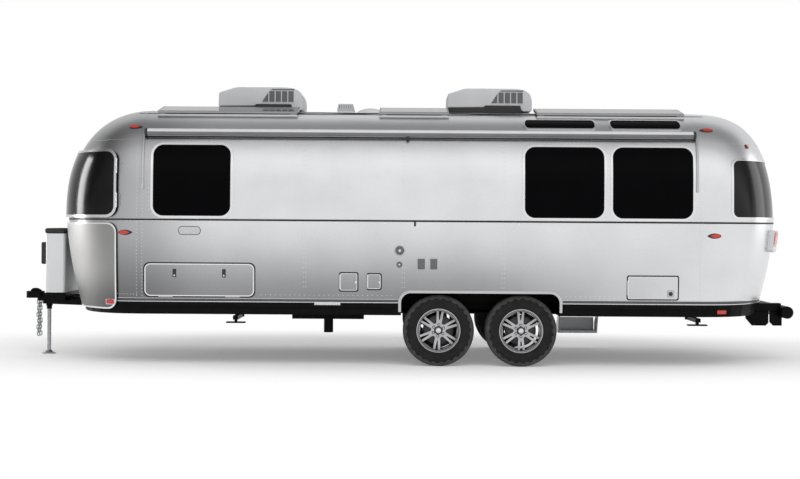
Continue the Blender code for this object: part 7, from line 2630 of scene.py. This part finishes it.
@dataclass
class Studio:
    """The pale floor, the soft light and the photograph's camera."""

    camera_place: Point = (-0.038, -16.29, 1.50)
    lens: float = 65.5
    roll: float = 0.37
    shift: float = -0.0225
    sky: tuple[Flat, ...] = (
        (-90, 0.50), (-25, 0.50), (-4, 0.84), (4, 0.88), (12, 1.22), (24, 1.10), (34, 0.92), (50, 0.62),
        (66, 0.50), (84, 0.31), (112, 0.31), (124, 0.48), (136, 0.82), (184, 0.82), (205, 0.50), (270, 0.50),
    )
    floor_glow: float = 0.20

    def build(self) -> None:
        """Builds the floor, the light and the camera."""
        scene = bpy.context.scene
        scene.view_settings.view_transform = "Standard"
        self.camera(scene)
        self.world(scene)
        self.floor()
        self.lamps()

    def camera(self, scene: bpy.types.Scene) -> None:
        """Places the camera."""
        data = bpy.data.cameras.new("camera")
        data.lens, data.sensor_width = self.lens, 36.0
        data.shift_y = self.shift
        data.clip_end = 500
        made = bpy.data.objects.new("camera", data)
        scene.collection.objects.link(made)
        made.location = self.camera_place
        upright = Matrix.Rotation(math.radians(90), 3, "X")
        made.rotation_euler = (upright @ Matrix.Rotation(math.radians(self.roll), 3, "Z")).to_euler()
        scene.camera = made

    def math_node(self, nodes, links, way: str, *values):
        """Adds a Math node, whose inputs are sockets or numbers, and returns its socket."""
        made = nodes.new("ShaderNodeMath")
        made.operation = way
        for slot, value in zip(made.inputs, values):
            if isinstance(value, (int, float)):
                slot.default_value = value
            else:
                links.new(value, slot)
        return made.outputs["Value"]

    def world(self, scene: bpy.types.Scene) -> None:
        """Makes a pale surround, with a darker band overhead and a dimmer front."""
        world = bpy.data.worlds.new("studio")
        scene.world = world
        world.use_nodes = True
        nodes, links = world.node_tree.nodes, world.node_tree.links
        back = nodes["Background"]
        place = nodes.new("ShaderNodeTexCoord").outputs["Generated"]
        parts = nodes.new("ShaderNodeSeparateXYZ")
        links.new(place, parts.inputs["Vector"])
        toward = self.math_node(nodes, links, "MULTIPLY", parts.outputs["Y"], -1.0)
        turn = self.math_node(nodes, links, "ARCTAN2", parts.outputs["Z"], toward)
        lowered = self.math_node(nodes, links, "ADD", turn, math.pi / 2)
        wrapped = self.math_node(nodes, links, "WRAP", lowered, 2 * math.pi, 0.0)
        share = self.math_node(nodes, links, "DIVIDE", wrapped, 2 * math.pi)
        ramp = nodes.new("ShaderNodeValToRGB")
        links.new(share, ramp.inputs["Fac"])
        stops = ramp.color_ramp.elements
        for number, (angle, value) in enumerate(self.sky):
            spot = (angle + 90) / 360
            stop = stops[0] if number == 0 else stops.new(spot) if number < len(self.sky) - 1 else stops[-1]
            stop.position, stop.color = spot, (value, value, value, 1)
        dim = nodes.new("ShaderNodeMapRange")
        for name, value in (("From Min", -1.0), ("From Max", -0.35), ("To Min", 0.26), ("To Max", 1.0)):
            dim.inputs[name].default_value = value
        links.new(parts.outputs["X"], dim.inputs["Value"])
        lit = self.math_node(nodes, links, "MULTIPLY", ramp.outputs["Color"], dim.outputs["Result"])
        seen = nodes.new("ShaderNodeLightPath").outputs["Is Camera Ray"]
        mix = nodes.new("ShaderNodeMix")
        links.new(seen, mix.inputs["Factor"])
        links.new(lit, mix.inputs["A"])
        mix.inputs["B"].default_value = 1.0
        links.new(mix.outputs["Result"], back.inputs["Strength"])
        back.inputs["Color"].default_value = (1, 1, 1, 1)

    def floor(self) -> None:
        """Lays the floor: its own shade and the object's shadow close by, white further off."""
        BENCH.clear()
        bpy.ops.mesh.primitive_plane_add(size=300, location=(0, 0, 0))
        piece = bpy.context.object
        piece.name = "studio_floor"
        made = bpy.data.materials.new("studio_floor")
        made.use_nodes = True
        nodes, links = made.node_tree.nodes, made.node_tree.links
        shader = nodes["Principled BSDF"]
        shader.inputs["Base Color"].default_value = (0.95, 0.95, 0.95, 1)
        shader.inputs["Roughness"].default_value = 0.9
        shader.inputs["Specular IOR Level"].default_value = 0.0
        shader.inputs["Emission Color"].default_value = (1, 1, 1, 1)
        rays = nodes.new("ShaderNodeLightPath").outputs
        seen = self.math_node(nodes, links, "MAXIMUM", rays["Is Camera Ray"], rays["Is Glossy Ray"])
        seen = self.math_node(nodes, links, "MAXIMUM", seen, rays["Is Transmission Ray"])
        glow = self.math_node(nodes, links, "MULTIPLY", seen, self.floor_glow)
        links.new(glow, shader.inputs["Emission Strength"])
        white = nodes.new("ShaderNodeEmission")
        parts = nodes.new("ShaderNodeSeparateXYZ")
        links.new(nodes.new("ShaderNodeTexCoord").outputs["Object"], parts.inputs["Vector"])
        ahead = self.math_node(nodes, links, "ABSOLUTE", parts.outputs["X"])
        along = self.math_node(nodes, links, "POWER", self.math_node(nodes, links, "MULTIPLY", ahead, 0.42), 2.0)
        back = self.math_node(nodes, links, "SUBTRACT", parts.outputs["Y"], 0.5)
        across = self.math_node(nodes, links, "POWER", self.math_node(nodes, links, "ABSOLUTE", back), 2.0)
        far = self.math_node(nodes, links, "SQRT", self.math_node(nodes, links, "ADD", along, across))
        edge = nodes.new("ShaderNodeMapRange")
        edge.interpolation_type = "SMOOTHSTEP"
        edge.inputs["From Min"].default_value = 1.7
        edge.inputs["From Max"].default_value = 3.6
        links.new(far, edge.inputs["Value"])
        mix = nodes.new("ShaderNodeMixShader")
        links.new(self.math_node(nodes, links, "MULTIPLY", edge.outputs["Result"], seen), mix.inputs["Fac"])
        links.new(shader.outputs["BSDF"], mix.inputs[1])
        links.new(white.outputs["Emission"], mix.inputs[2])
        links.new(mix.outputs["Shader"], nodes["Material Output"].inputs["Surface"])
        piece.data.materials.append(made)

    def lamps(self) -> None:
        """Hangs the large soft lamps: one overhead in front, one upright at each end."""
        for name, place, size, power, aim in (
            ("lamp_key", (0.0, -8.0, 9.0), (16.0, 6.0), 360.0, (0, 0.8, 0.6)),
            ("lamp_front_strip", (-14.0, 3.0, 3.6), (3.0, 4.6), 380.0, (0, 0, 1.9)),
            ("lamp_rear_strip", (14.0, 3.0, 3.6), (4.5, 5.0), 95.0, (0, 0, 1.9)),
        ):
            data = bpy.data.lights.new(name, "AREA")
            data.shape, data.energy = "RECTANGLE", power
            data.size, data.size_y = size
            lamp = bpy.data.objects.new(name, data)
            bpy.context.scene.collection.objects.link(lamp)
            lamp.location = place
            lamp.visible_glossy = name != "lamp_key"
            way = Vector(aim) - Vector(place)
            lamp.rotation_euler = way.to_track_quat("-Z", "Y").to_euler()


def main() -> None:
    """Builds the caravan's looks."""
    logging.basicConfig(level=logging.INFO, format="%(message)s")
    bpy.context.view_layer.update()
    openings = Openings()
    windows, trims = Windows(openings), Trims(openings)
    Shell().build(openings)
    for part in (
        windows, trims, Hatches(openings, windows, trims), Guards(), Wheels(), RoofGear(),
        Awnings(), Hitch(), Underside(), Lamps(), Fittings(), Studio(),
    ):
        part.build()
        log.info("%s built", type(part).__name__)


if __name__ == "__main__":
    main()
